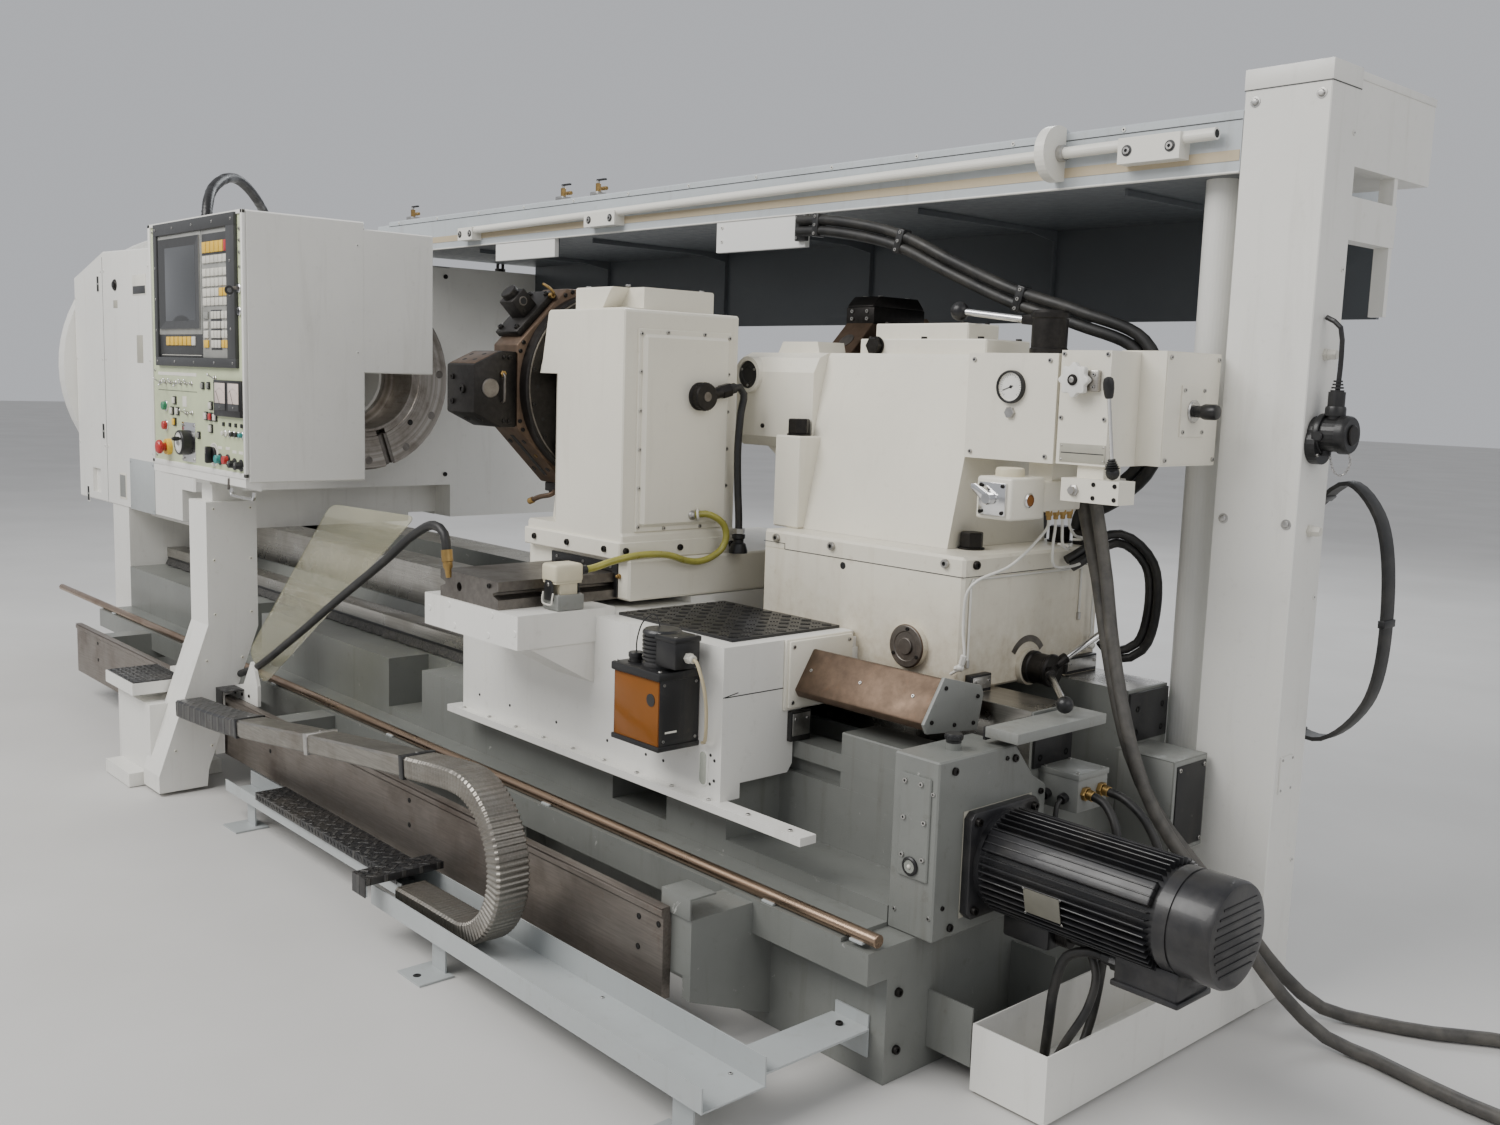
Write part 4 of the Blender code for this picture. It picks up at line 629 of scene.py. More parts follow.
def zoned(m, zones):
    """Gives parts of a material another colour inside boxes of object space."""
    nt = m.node_tree
    b = nt.nodes["Principled BSDF"]
    src = b.inputs["Base Color"].links[0].from_socket
    for lo, hi, dark in zones:
        src = mix(nt, box_zone(nt, lo, hi), src, dark)
    nt.links.new(src, b.inputs["Base Color"])
    return m


CANOPY = paint("canopy_enamel_with_painted_shade", (0.50, 0.535, 0.555), 0.36, 0.07, (0.22, 0.19, 0.14), 0.28, 0.22, 0.15, coat=0.1)
# the third zone colours the inside and underside of the hood, behind y 0.232 and below z 1.6975, near-black: painted
# shade
zoned(CANOPY, [((-1.0, 0.10, 1.7015), (2.03, 0.2151, 1.86), (0.80, 0.785, 0.72)), ((-0.72, 0.10, 1.60), (0.84, 0.2362, 1.6898), (0.80, 0.80, 0.775)),
               ((None, 0.232, None), (None, None, 1.6975), (0.085, 0.095, 0.105)),
               ((1.94, 0.262, -0.1), (2.025, 0.346, 1.6898), (0.74, 0.735, 0.70))])
look("canopy", CANOPY)
look("front_trough", BLUEGREY)
look("carriage", WHITE)
for n_ in ("tailstock_base",):
    look(n_, CREAM_LOW)
for n_ in ("chuck_body",):
    look(n_, CHUCK)
for n_ in ("chuck_jaw_1", "chuck_jaw_2", "chuck_jaw_3", "cross_way"):
    look(n_, STEEL_D)
for n_ in ("guide_rod", "quill"):
    look(n_, STEEL)
look("rail_beam", RAILST)
for n_ in ("way_cover", "turret_disc", "rear_turret_disc"):
    look(n_, BROWNST)
for n_ in ("tool_holder", "boring_holder", "coolant_nozzle", "rear_turret", "turret_socket"):
    look(n_, BLACKOX)
for n_ in ("clamp_lever", "rack_lever", "joystick", "push_knob", "pendant_panel", "mpg_wheel", "mode_selector", "column_socket"):
    look(n_, BLKPL)
look("feed_motor", MOTOR)
look("lube_tank", AMBER)
look("star_knob", WHITE)
look("e_stop", RED)
for n_ in ("lubricator_handle", "pendant_handle"):
    look(n_, CHROME)
look("shield", SHIELD)
look("pedestal_conduit", ZINC)
for n_ in ("overhead_hose", "rear_loop", "column_hoop", "pendant_conduit", "pressure_hose", "return_hose", "hose_coil"):
    look(n_, RUBBER)


# ---------------------------------------------------------------------- cords
def hose(name, pts, r, mat, length, swap):
    # hangs from the control boxes, which travel with the tailstock, and lies still on the floor
    g = Group(name, None)
    g.tube(pts, r, mat, 18, smooth=False)
    ob = g.done(40, *swap)
    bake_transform(ob)
    L = sum((V(a) - V(b)).length for a, b in zip(pts, pts[1:]))
    return ob


COIL = (2.93, 0.30)
hose_a = [(1.835, 0.075, 1.0875), (1.838, 0.072, 1.045), (1.862, 0.066, 0.97), (1.900, 0.060, 0.86), (1.925, 0.055, 0.77), (1.968, 0.045, 0.64), (2.020, 0.035, 0.52),
          (2.080, 0.040, 0.42), (2.150, 0.070, 0.33), (2.220, 0.130, 0.225), (2.290, 0.215, 0.095), (2.345, 0.285, 0.024), (2.430, 0.325, 0.0145), (2.530, 0.375, 0.0145),
          (2.614, 0.440, 0.0145), (2.700, 0.475, 0.0145), (2.800, 0.470, 0.0145)]
hose_b = [(1.868, 0.075, 1.0875), (1.872, 0.070, 1.045), (1.898, 0.058, 0.97), (1.932, 0.046, 0.86), (1.955, 0.036, 0.77), (1.998, 0.020, 0.64), (2.050, 0.005, 0.52),
          (2.105, 0.005, 0.42), (2.175, 0.025, 0.33), (2.255, 0.060, 0.225), (2.340, 0.120, 0.095), (2.410, 0.165, 0.024), (2.500, 0.170, 0.0145), (2.620, 0.145, 0.0145),
          (2.738, 0.133, 0.0145), (2.800, 0.136, 0.0230)]


def spiral(sign, z, zend):
    out = []
    for k in range(1, 49):
        t = k / 48
        r = 0.150 - 0.032 * t - 0.008 * (max(0.0, t - 0.75) / 0.25) ** 2
        a = math.radians(90 * sign - sign * 360 * t) if True else 0
        out.append((COIL[0] + r * math.cos(a), COIL[1] + r * math.sin(a), z + (zend - z) * max(0.0, (t - 0.9) / 0.1)))
    return out


pa = smooth_path(hose_a + [(2.93, 0.45, 0.0145)], 0.05)
pb = smooth_path(hose_b + [(2.93, 0.15, 0.0415)], 0.05)
pa = [tuple(p) for p in pa] + spiral(1, 0.0145, 0.018)
pb = [tuple(p) for p in pb] + spiral(-1, 0.0415, 0.0452)


def end_fitting(name, p, ang, node_name):
    d = V((math.cos(math.radians(ang)), math.sin(math.radians(ang)), 0))
    g = Group(name, "frame")
    g.rod(p, V(p) + d * 0.020, 0.0152, ZINC, 24)
    g.rod(V(p) + d * 0.020, V(p) + d * 0.036, 0.0165, ZINC, 6, 0.0014)
    g.rod(V(p) + d * 0.036, V(p) + d * 0.047, 0.0115, BRASS, 24)
    for k in range(4):
        g.lathe([(0.0115, 0), (0.0122, 0.0006), (0.0115, 0.0012)], V(p) + d * (0.038 + 0.002 * k), d, BRASS, 24)
    return g.done(30, node_name)


fit_a = end_fitting("pressure_hose_fitting", (COIL[0] + 0.002, COIL[1] + 0.1095, 0.0180), -8, "hose_fitting_a")
fit_b = end_fitting("return_hose_fitting", (COIL[0] + 0.002, COIL[1] - 0.1095, 0.0452), 8, "hose_fitting_b")
hose("pressure_hose_run", pa, 0.0135, RUBBER_G, 3.0, ("pressure_hose", "hose_coil"))
hose("return_hose_run", pb, 0.0135, RUBBER_G, 3.0, ("return_hose",))


# ------------------------------------------------------------ operator pendant
PY = -0.897
pn = Group("pendant_face", "pendant")
pn.box(-0.824, -0.145, PY - 0.0062, PY - 0.0004, 0.955, 1.641, PALEGREEN, 0.001)
# thin rim of the case round the panel
for a in ((-0.842, -0.824, 0.944, 1.651), (-0.145, -0.133, 0.944, 1.651), (-0.842, -0.133, 1.6405, 1.651), (-0.842, -0.133, 0.940, 0.9555)):
    pn.box(a[0], a[1], PY - 0.010, PY - 0.0003, a[2], a[3], WHITE, 0.0012)
# screen surround
Y1, Y2 = PY - 0.0062, PY - 0.0172
pn.box(-0.777, -0.172, Y2, Y1, 1.612, 1.646, BEZEL, 0.002)
pn.box(-0.777, -0.172, Y2, Y1, 1.236, 1.262, BEZEL, 0.002)
pn.box(-0.777, -0.752, Y2, Y1, 1.2615, 1.6125, BEZEL, 0.001)
pn.box(-0.226, -0.172, Y2, Y1, 1.2615, 1.6125, BEZEL, 0.001)
for x in (-0.760, -0.62, -0.47, -0.32, -0.190):
    for z in (1.629, 1.249):
        pn.cap((x, Y2, z), (0, -1, 0), 0.0036, 0.0016)
for z in (1.52, 1.43, 1.34):
    for x in (-0.764, -0.200):
        pn.cap((x, Y2, z), (0, -1, 0), 0.0034, 0.0015)
# screen block: sloping surround down to the glass
pn.box(-0.7515, -0.4165, Y1 - 0.0055, Y1, 1.327, 1.612, GREYK, 0.001)
sx0, sx1, sz0, sz1 = -0.697, -0.462, 1.366, 1.575
for (ax, az, bx, bz) in ((-0.738, 1.343, -0.424, 1.343), (-0.424, 1.343, -0.424, 1.600), (-0.424, 1.600, -0.738, 1.600), (-0.738, 1.600, -0.738, 1.343)):
    cx, cz = (sx0 + sx1) / 2, (sz0 + sz1) / 2
    def inner(x, z):
        return (sx0 if x < cx else sx1, sz0 if z < cz else sz1)
    i0, i1 = inner(ax, az), inner(bx, bz)
    pn.sheet([[(ax, Y2 + 0.001, az), (bx, Y2 + 0.001, bz)], [(i0[0], Y1 - 0.0056, i0[1]), (i1[0], Y1 - 0.0056, i1[1])]], BEZEL)
    pn.sheet([[(ax, Y2 + 0.001, az), (bx, Y2 + 0.001, bz)], [(ax * 1.0 + (0.006 if ax > cx else -0.006) * 0, Y1 - 0.0052, az), (bx, Y1 - 0.0052, bz)]], GREYK)
pn.sheet([[(sx0 + (sx1 - sx0) * u, Y1 - 0.0058 - 0.0042 * (1 - (2 * u - 1) ** 2) * (1 - (2 * w_ - 1) ** 2) ** 0.5, sz0 + (sz1 - sz0) * w_)
           for w_ in [k / 12 for k in range(13)]] for u in [k / 12 for k in range(13)]], SCREEN)
# soft keys
pn.box(-0.7515, -0.4165, Y1 - 0.0045, Y1, 1.2625, 1.327, BEZEL, 0.0008)
for k in range(7):
    x = -0.693 + k * 0.0332
    pn.box(x, x + 0.0275, Y1 - 0.0085, Y1 - 0.004, 1.296, 1.321, YELLOWK if k < 6 else WHITEK, 0.0016)
pn.box(-0.735, -0.425, Y1 - 0.0052, Y1 - 0.004, 1.2675, 1.2690, WHITEK, 0.0)
# keyboard
pn.box(-0.4155, -0.2265, Y1 - 0.0045, Y1, 1.262, 1.612, GREYK, 0.001)
pn.box(-0.409, -0.234, Y1 - 0.0052, Y1 - 0.004, 1.542, 1.600, BEZEL, 0.0008)


def keys(x0, x1, n, z0, z1, mats, gap=0.0035):
    w_ = (x1 - x0) / n
    for k in range(n):
        m = mats[k % len(mats)]
        pn.box(x0 + k * w_ + gap / 2, x0 + (k + 1) * w_ - gap / 2, Y1 - 0.0088, Y1 - 0.004, z0, z1, m, 0.0016)


keys(-0.403, -0.252, 5, 1.548, 1.578, [YELLOWK])
pn.box(-0.2495, -0.2315, Y1 - 0.0088, Y1 - 0.004, 1.548, 1.578, RED, 0.0016)
for z0, z1, mats in ((1.520, 1.540, [WHITEK]), (1.4845, 1.5055, [WHITEK]), (1.457, 1.479, [WHITEK]), (1.430, 1.4515, [WHITEK, WHITEK, WHITEK, WHITEK, YELLOWK, YELLOWK]),
                     (1.405, 1.426, [WHITEK])):
    keys(-0.403, -0.2285, 6, z0, z1, mats)
for i, (z0, z1) in enumerate(((1.369, 1.389), (1.3425, 1.3620), (1.3165, 1.3370), (1.290, 1.3110))):
    pn.box(-0.400, -0.368, Y1 - 0.0088, Y1 - 0.004, z0, z1, (GREYK, WHITEK, WHITEK, YELLOWK)[i], 0.0016)
    keys(-0.348, -0.279, 3, z0, z1, [WHITEK])
    keys(-0.2735, -0.2265, 2, z0, z1, [YELLOWK if i == 3 else WHITEK])
pn.box(-0.352, -0.275, Y1 - 0.0052, Y1 - 0.004, 1.2840, 1.3930, BEZEL, 0.0008)
# right-hand strip: screws and two key locks
for z in (1.602, 1.572, 1.541, 1.503):
    pn.cap((-0.158, Y1, z), (0, -1, 0), 0.0044, 0.003)
for z in (1.447, 1.387):
    pn.lathe([(0, 0), (0.0125, 0), (0.0125, 0.004), (0.0105, 0.006), (0.0085, 0.0055), (0, 0.0055)], (-0.160, Y1, z), (0, -1, 0), CHROME, 28, close=False)
    pn.box(-0.1612, -0.1588, Y1 - 0.0062, Y1 - 0.005, z - 0.0042, z + 0.0042, RECESS_SHADE, 0)
pn.box(-0.1622, -0.1578, Y1 - 0.020, Y1 - 0.0055, 1.443, 1.451, STEEL_D, 0.0006)
pn.lathe([(0.0062, -0.0022), (0.0120, -0.0022), (0.0120, 0.0022), (0.0062, 0.0022), (0.0062, -0.0022)], (-0.160, Y1 - 0.0290, 1.4405), (1, 0, 0), BLKPL, 24, close=False)


def button(x, z, mat, r=0.0075, h=0.011, ring=0.0105, rmat=None):
    pn.lathe([(0, 0), (ring, 0), (ring, 0.0026), (ring - 0.0012, 0.0036), (r, 0.0036), (0, 0.0036)], (x, Y1, z), (0, -1, 0), rmat or BLKPL, 28, close=False)
    pn.lathe([(0, 0.0036), (r, 0.0036), (r, h - 0.0012), (r - 0.0012, h), (0, h)], (x, Y1, z), (0, -1, 0), mat, 28, close=False)


def square(x, z, mat, w_=0.0185, frame=BLKPL, h=0.008):
    pn.box(x - w_ / 2 - 0.003, x + w_ / 2 + 0.003, Y1 - 0.0035, Y1, z - w_ / 2 - 0.003, z + w_ / 2 + 0.003, frame, 0.001)
    pn.box(x - w_ / 2, x + w_ / 2, Y1 - h, Y1 - 0.003, z - w_ / 2, z + w_ / 2, mat, 0.0022)


def toggle(x, z, up_=True):
    pn.hexnut((x, Y1, z), (0, -1, 0), 0.0080, 0.003, ZINC)
    pn.rod((x, Y1 - 0.003, z), (x, Y1 - 0.0075, z), 0.0048, ZINC, 20)
    t = V((x, Y1 - 0.022, z + (0.009 if up_ else -0.009)))
    pn.rod((x, Y1 - 0.007, z), t, 0.0020, CHROME, 12, r2=0.0031)
    pn.ball(t, 0.0034, CHROME, 12)


for i, x in enumerate((-0.763, -0.722, -0.682, -0.643, -0.601, -0.558, -0.518)):
    toggle(x, 1.188, i not in (1, 4))
pn.box(-0.790, -0.480, Y1 - 0.0009, Y1, 1.1640, 1.1652, BEZEL, 0)
pn.box(-0.788, -0.480, Y1 - 0.0007, Y1, 1.2085, 1.2180, LABEL_W, 0)
for x, z, m in ((-0.653, 1.136, WHITEK), (-0.675, 1.105, WHITEK), (-0.631, 1.105, WHITEK), (-0.657, 1.073, YELLOWK), (-0.373, 1.130, WHITEK), (-0.410, 1.100, WHITEK),
                (-0.343, 1.099, WHITEK), (-0.376, 1.066, WHITEK), (-0.376, 1.099, RED)):
    square(x, z, m)
for x, z in ((-0.431, 1.184), (-0.389, 1.185), (-0.468, 1.043)):
    square(x, z, GREYK, 0.015)
for x, z in ((-0.556, 1.102), (-0.518, 1.104), (-0.339, 1.207)):
    toggle(x, z)
pn.box(-0.592, -0.560, Y1 - 0.0009, Y1, 1.120, 1.150, LABEL_W, 0)
button(-0.727, 1.118, GREEN, 0.0125, 0.013, 0.0165, CHROME)
button(-0.727, 1.060, RED, 0.0125, 0.013, 0.0165, CHROME)
# black base of the stop button
pn.lathe([(0.0128, 0), (0.0240, 0), (0.0240, 0.010), (0.0225, 0.0135), (0.0128, 0.0135)], (-0.705, Y1, 0.997), (0, -1, 0), YELLOWK, 32, close=False)
# load meters
pn.box(-0.330, -0.146, Y1 - 0.0118, Y1, 1.104, 1.203, BLKPL, 0.003)
for x0, x1 in ((-0.315, -0.243), (-0.222, -0.150)):
    pn.box(x0 - 0.003, x1 + 0.003, Y1 - 0.0132, Y1 - 0.010, 1.120, 1.1985, BLKPL, 0.0015)
    pn.box(x0, x1, Y1 - 0.0140, Y1 - 0.010, 1.140, 1.195, METER, 0.0008)
    c = V(((x0 + x1) / 2, Y1 - 0.0144, 1.138))
    for k in range(11):
        a = math.radians(48 + 8.4 * k)
        d = V((math.cos(a), 0, math.sin(a)))
        n_ = V((-d.z, 0, d.x))
        q = c + d * 0.040
        e = d * (0.006 if k % 5 == 0 else 0.0038)
        pn.sheet([[q - n_ * 0.0004, q + n_ * 0.0004], [q + e - n_ * 0.0004, q + e + n_ * 0.0004]], BEZEL)
    a = math.radians(126 if x0 < -0.3 else 118)
    pn.rod(c, c + V((math.cos(a), 0, math.sin(a))) * 0.043, 0.0006, BLKPL, 6, 0)
    pn.box(x0, x1, Y1 - 0.0142, Y1 - 0.011, 1.1215, 1.1385, BEZEL, 0.001)
    pn.cap((c.x, Y1 - 0.0142, 1.130), (0, -1, 0), 0.003, 0.001)
for x in (-0.285, -0.240, -0.200, -0.160):
    pn.box(x - 0.006, x + 0.006, Y1 - 0.004, Y1, 1.077, 1.088, BLKPL, 0.001)
for x, m in ((-0.276, WHITEK), (-0.246, WHITEK), (-0.216, BLKPL), (-0.186, BLKPL), (-0.158, TEAL)):
    button(x, 1.058, m, 0.0068, 0.012, 0.0098, CHROME)
for x, z, m in ((-0.316, 0.984, TEAL), (-0.261, 0.985, RED)):
    button(x, z, m, 0.0120, 0.016, 0.0160)
for x, z in ((-0.214, 0.977), (-0.170, 0.976)):
    pn.lathe([(0, 0), (0.0165, 0), (0.0165, 0.0022), (0.0112, 0.004), (0.0100, 0.018), (0.0088, 0.0195), (0, 0.0195)], (x, Y1, z), (0, -1, 0), BLKPL, 28, close=False)
    pn.box(x - 0.0007, x + 0.0007, Y1 - 0.0200, Y1 - 0.019, z, z + 0.008, WHITEK, 0)
for x, z in ((-0.214, 1.010), (-0.170, 1.010), (-0.316, 1.016), (-0.261, 1.017)):
    pn.box(x - 0.014, x + 0.014, Y1 - 0.0007, Y1, z - 0.004, z + 0.004, LABEL_W, 0)
# plates and ring behind the handwheel and the selector
pn.box(-0.600, -0.497, Y1 - 0.0016, Y1, 0.962, 1.0760, CHROME, 0.0007)
for x in (-0.592, -0.505):
    for z in (0.970, 1.068):
        pn.cap((x, Y1 - 0.0016, z), (0, -1, 0), 0.0036, 0.0022)
pn.lathe([(0, 0), (0.0335, 0), (0.0335, 0.0012), (0, 0.0012)], (-0.360, Y1, 0.994), (0, -1, 0), LABEL_W, 40, close=False)
for k in range(11):
    a = math.radians(-60 + 12 * k + 90)
    d = V((math.cos(a), 0, math.sin(a)))
    n_ = V((-d.z, 0, d.x))
    q = V((-0.360, Y1 - 0.0015, 0.994)) + d * 0.0255
    pn.sheet([[q - n_ * 0.0005, q + n_ * 0.0005], [q + d * 0.0050 - n_ * 0.0005, q + d * 0.005 + n_ * 0.0005]], BEZEL)
for x in (-0.812, -0.155):
    for z in (0.968, 1.222, 1.628):
        if x < -0.5 or z < 1.0:
            pn.cap((x, Y1 + 0.0001, z), (0, -1, 0), 0.0042, 0.0022)
pn.done(30, "pendant_panel")

hw = Group("handwheel_wheel", "mpg_wheel")
HW = V((-0.548, PY - 0.0066, 1.018))
hw.lathe([(0, 0.001), (0.0345, 0.001), (0.036, 0.003), (0.036, 0.0285), (0.0340, 0.0315), (0.0305, 0.0325), (0.0300, 0.0300), (0, 0.0300)], HW, (0, -1, 0), BLKPL, 56, close=False)
hw.lathe([(0, 0.0300), (0.0296, 0.0300), (0.0296, 0.0308), (0, 0.0308)], HW, (0, -1, 0), DIAL, 56, close=False)
for k in range(50):
    a = math.tau * k / 50
    d = V((math.cos(a), 0, math.sin(a)))
    n_ = V((-d.z, 0, d.x))
    q = HW + V((0, -0.0310, 0)) + d * (0.0245 if k % 5 else 0.0225)
    e = HW + V((0, -0.0310, 0)) + d * 0.0285
    hw.sheet([[q - n_ * 0.00025, q + n_ * 0.00025], [e - n_ * 0.00025, e + n_ * 0.00025]], BEZEL)
    g_ = HW + V((0, -0.016, 0)) + d * 0.0358
hw.lathe([(0, 0.0308), (0.0085, 0.0308), (0.0085, 0.0335), (0.0070, 0.0345), (0, 0.0345)], HW, (0, -1, 0), ZINC, 24, close=False)
gp = HW + V((0.018, 0, 0.012))
hw.lathe([(0, 0.030), (0.0038, 0.030), (0.0038, 0.034), (0.0060, 0.036), (0.0065, 0.046), (0.0054, 0.0530), (0.0030, 0.0555), (0, 0.0555)], gp, (0, -1, 0), BLKPL, 20, close=False)
hw.done(30, "mpg_wheel")

es = Group("stop_button", "e_stop")
EO = V((-0.705, PY - 0.0066, 0.997))
es.lathe([(0, 0.0052), (0.0108, 0.0052), (0.0108, 0.0215), (0.0150, 0.0222), (0.0202, 0.0262), (0.0210, 0.0300), (0.0200, 0.0345), (0.0165, 0.0380), (0.0100, 0.0394), (0, 0.0396)],
         EO, (0, -1, 0), RED, 40, close=False)
for k in range(3):
    a = math.radians(90 + 120 * k)
    d = V((math.cos(a), 0, math.sin(a)))
    n_ = V((-d.z, 0, d.x))
    c = EO + V((0, -0.0393, 0))
    es.sheet([[c + d * 0.004 - n_ * 0.0008, c + d * 0.004 + n_ * 0.0008], [c + d * 0.0095 - n_ * 0.0008, c + d * 0.0095 + n_ * 0.0008]], WHITEK)
es.done(30, "e_stop")

ms = Group("selector_knob", "mode_selector")
MO = V((-0.360, PY - 0.0066, 0.994))
ms.lathe([(0, 0.0013), (0.0215, 0.0013), (0.0220, 0.0025), (0.0212, 0.0070), (0.0200, 0.0078), (0, 0.0078)], MO, (0, -1, 0), BLKPL, 40, close=False)
ms.box(-0.360 - 0.0075, -0.360 + 0.0075, PY - 0.0318, PY - 0.0135, 0.994 - 0.0235, 0.994 + 0.0235, BLKPL, 0.004, 3)
ms.box(-0.360 - 0.0009, -0.360 + 0.0009, PY - 0.0322, PY - 0.031, 0.994 + 0.004, 0.994 + 0.0215, WHITEK, 0)
ms.done(30, "mode_selector")

pd = Group("pendant_trim", "pendant")
for z in (1.290, 1.585):
    pd.cap((-0.133, -0.582, z), (1, 0, 0), 0.0035, 0.0022, WHITE)
for x in (-0.70, -0.26):
    pd.rod((x, -0.345, 1.27), (x, -0.345, 1.30), 0.007, ZINC, 16)
    pd.rod((x, -0.345, 1.56), (x, -0.345, 1.59), 0.007, ZINC, 16)
pd.box(-0.60, -0.38, -0.3475, -0.3440, 1.33, 1.50, BEZEL, 0.001)
for k in range(7):
    pd.box(-0.592, -0.388, -0.3440, -0.3425, 1.342 + 0.022 * k, 1.348 + 0.022 * k, BLKPL, 0.0005)
# black seal between the two halves and a gland under the swivel
pd.box(-0.825, -0.1338, -0.5665, -0.5620, 1.232, 1.6335, RUBBER, 0.001)
pd.rod((-0.535, -0.815, 0.9012), (-0.535, -0.815, 0.9290), 0.046, WHITE, 40)
for k in range(4):
    a = math.radians(45 + 90 * k)
    pd.cap((-0.535 + 0.037 * math.cos(a), -0.815 + 0.037 * math.sin(a), 0.9285), (0, 0, -1), 0.003, 0.001)
# a small key hanging on the underside
pd.tube([(-0.250, -0.893, 0.950), (-0.250, -0.905, 0.945), (-0.2505, -0.906, 0.935)], 0.0008, CHROME, 6, step=0.004)
pd.rod((-0.2505, -0.906, 0.936), (-0.252, -0.907, 0.905), 0.0034, STEEL_D, 8)
pd.done(30)


# ------------------------------------------------- feed motor and its gearbox
MY, MZ = -0.374, 0.392
fmg = Group("feed_motor_body", "frame")
fmg.box(2.0050, 2.0070, MY - 0.1000, MY + 0.1000, MZ - 0.1000, MZ + 0.1000, LABEL, 0.0005)
fmg.prism([(MY + a, MZ + b_) for a, b_ in ((-0.1, -0.088), (-0.088, -0.1), (0.088, -0.1), (0.1, -0.088), (0.1, 0.088), (0.088, 0.1), (-0.088, 0.1), (-0.1, 0.088))],
          'x', 2.0068, 2.0250, MOTOR, 0.002)
for a in (-0.083, 0.083):
    for b_ in (-0.083, 0.083):
        fmg.cap((2.025, MY + a, MZ + b_), (1, 0, 0), 0.0080, 0.008, BLACKOX)
fmg.lathe([(0.090, 2.0245), (0.090, 2.036), (0.0835, 2.040), (0.0835, 2.386), (0.0895, 2.388), (0.0895, 2.4115), (0.0870, 2.4125), (0.0870, 2.4165), (0.0900, 2.4175),
           (0.0900, 2.482), (0.0870, 2.4885), (0.080, 2.490), (0, 2.490)], (0, MY, MZ), (1, 0, 0), MOTOR, 72)
for k in range(44):
    a = math.tau * k / 44
    da = math.degrees(a) % 360
    if 222 < da < 247:
        continue
    mw = Matrix.Translation((2.21, MY, MZ)) @ Matrix.Rotation(a, 4, 'X')
    fmg.box(-0.168, 0.168, -0.00135, 0.00135, 0.082, 0.0978, MOTOR, 0.0008, 1, mw=mw)
a = math.radians(54.5)
mw = Matrix.Translation((2.21, MY, MZ)) @ Matrix.Rotation(math.radians(54.5), 4, 'X')
fmg.box(-0.168, 0.168, -0.021, 0.021, 0.082, 0.0955, MOTOR, 0.003, mw=mw)
mw = Matrix.Translation((2.18, MY, MZ)) @ Matrix.Rotation(math.radians(103), 4, 'X')
fmg.box(-0.036, 0.038, -0.023, 0.023, 0.0972, 0.0990, WORNPLATE, 0.0005, mw=mw)
for a in (-0.035, 0.041):
    for b_ in (-0.024, 0.024):
        fmg.cap(mw @ V((a, b_, 0.0990)), (mw.to_3x3() @ V((0, 0, 1))), 0.0022, 0.0012)
# cooling slots in the end band, one under another
for k in range(9):
    z = MZ - 0.056 + 0.014 * k
    hw_ = (0.085 ** 2 - (z - MZ) ** 2) ** 0.5 - 0.012
    fmg.box(2.4895, 2.4915, MY - hw_, MY + hw_, z - 0.0022, z + 0.0022, BLKPL, 0.0008)
fmg.box(2.300, 2.420, MY - 0.050, MY + 0.050, MZ - 0.135, MZ - 0.075, MOTOR, 0.005)
fmg.box(2.296, 2.424, MY - 0.0535, MY + 0.0535, MZ - 0.1345, MZ - 0.124, MOTOR, 0.003)
for x in (2.308, 2.412):
    for y in (MY - 0.044, MY + 0.044):
        fmg.cap((x, y, MZ - 0.1345), (0, 0, -1), 0.004, 0.0015, BLACKOX)
fmg.rod((2.3000, MY - 0.020, MZ - 0.105), (2.280, MY - 0.020, MZ - 0.105), 0.017, BLKPL, 6)
fmg.rod((2.281, MY - 0.020, MZ - 0.105), (2.262, MY - 0.020, MZ - 0.105), 0.0125, BLKPL, 24)
fmg.rod((2.3000, MY + 0.022, MZ - 0.105), (2.276, MY + 0.022, MZ - 0.105), 0.015, BLKPL, 6)
fmg.box(2.060, 2.160, MY - 0.040, MY + 0.034, MZ - 0.128, MZ - 0.078, BLKPL, 0.006)
fmg.rod((2.160, MY - 0.004, MZ - 0.104), (2.185, MY - 0.004, MZ - 0.104), 0.018, BLACKOX, 30)
for k in range(6):
    fmg.lathe([(0.018, 0), (0.0192, 0.0008), (0.018, 0.0016)], (2.163 + 0.0032 * k, MY - 0.004, MZ - 0.104), (1, 0, 0), BLACKOX, 30)
fmg.done(30, "feed_motor")

gbx = Group("gearbox_trim", "frame")
for y, z, r in ((-0.5042, 0.5718, 0.0075), (-0.330, 0.568, 0.0075), (-0.4972, 0.2800, 0.0075), (-0.245, 0.280, 0.0075), (-0.520, 0.3214, 0.0045), (-0.3537, 0.5714, 0.0045), (-0.245, 0.49, 0.006)):
    gbx.cap((2.0044, y, z), (1, 0, 0), r, 0.0052 if r > 0.005 else 0.003, BLACKOX)
for x, z in ((1.931, 0.5465), (1.9688, 0.5474), (1.931, 0.4788), (1.931, 0.4094), (1.9790, 0.4108), (1.979, 0.4790)):
    gbx.cap((x, -0.5504, z), (0, -1, 0), 0.0048, 0.0035)
gbx.lathe([(0, 0), (0.0175, 0), (0.0175, 0.0035), (0.0150, 0.0055), (0.0125, 0.0055), (0.0125, 0.003), (0, 0.003)], (1.952, -0.5504, 0.392), (0, -1, 0), BLKPL, 36, close=False)
gbx.lathe([(0, 0.0030), (0.0122, 0.0030), (0.0122, 0.0042), (0, 0.0042)], (1.952, -0.5504, 0.392), (0, -1, 0), EYE, 30, close=False)
gbx.ball((1.952, -0.5546, 0.392), 0.0040, WHITEK, 14)
for x, z in ((1.9933, 0.5339), (1.9960, 0.3058), (1.915, 0.300)):
    gbx.cap((x, -0.5458, z), (0, -1, 0), 0.004, 0.0025)
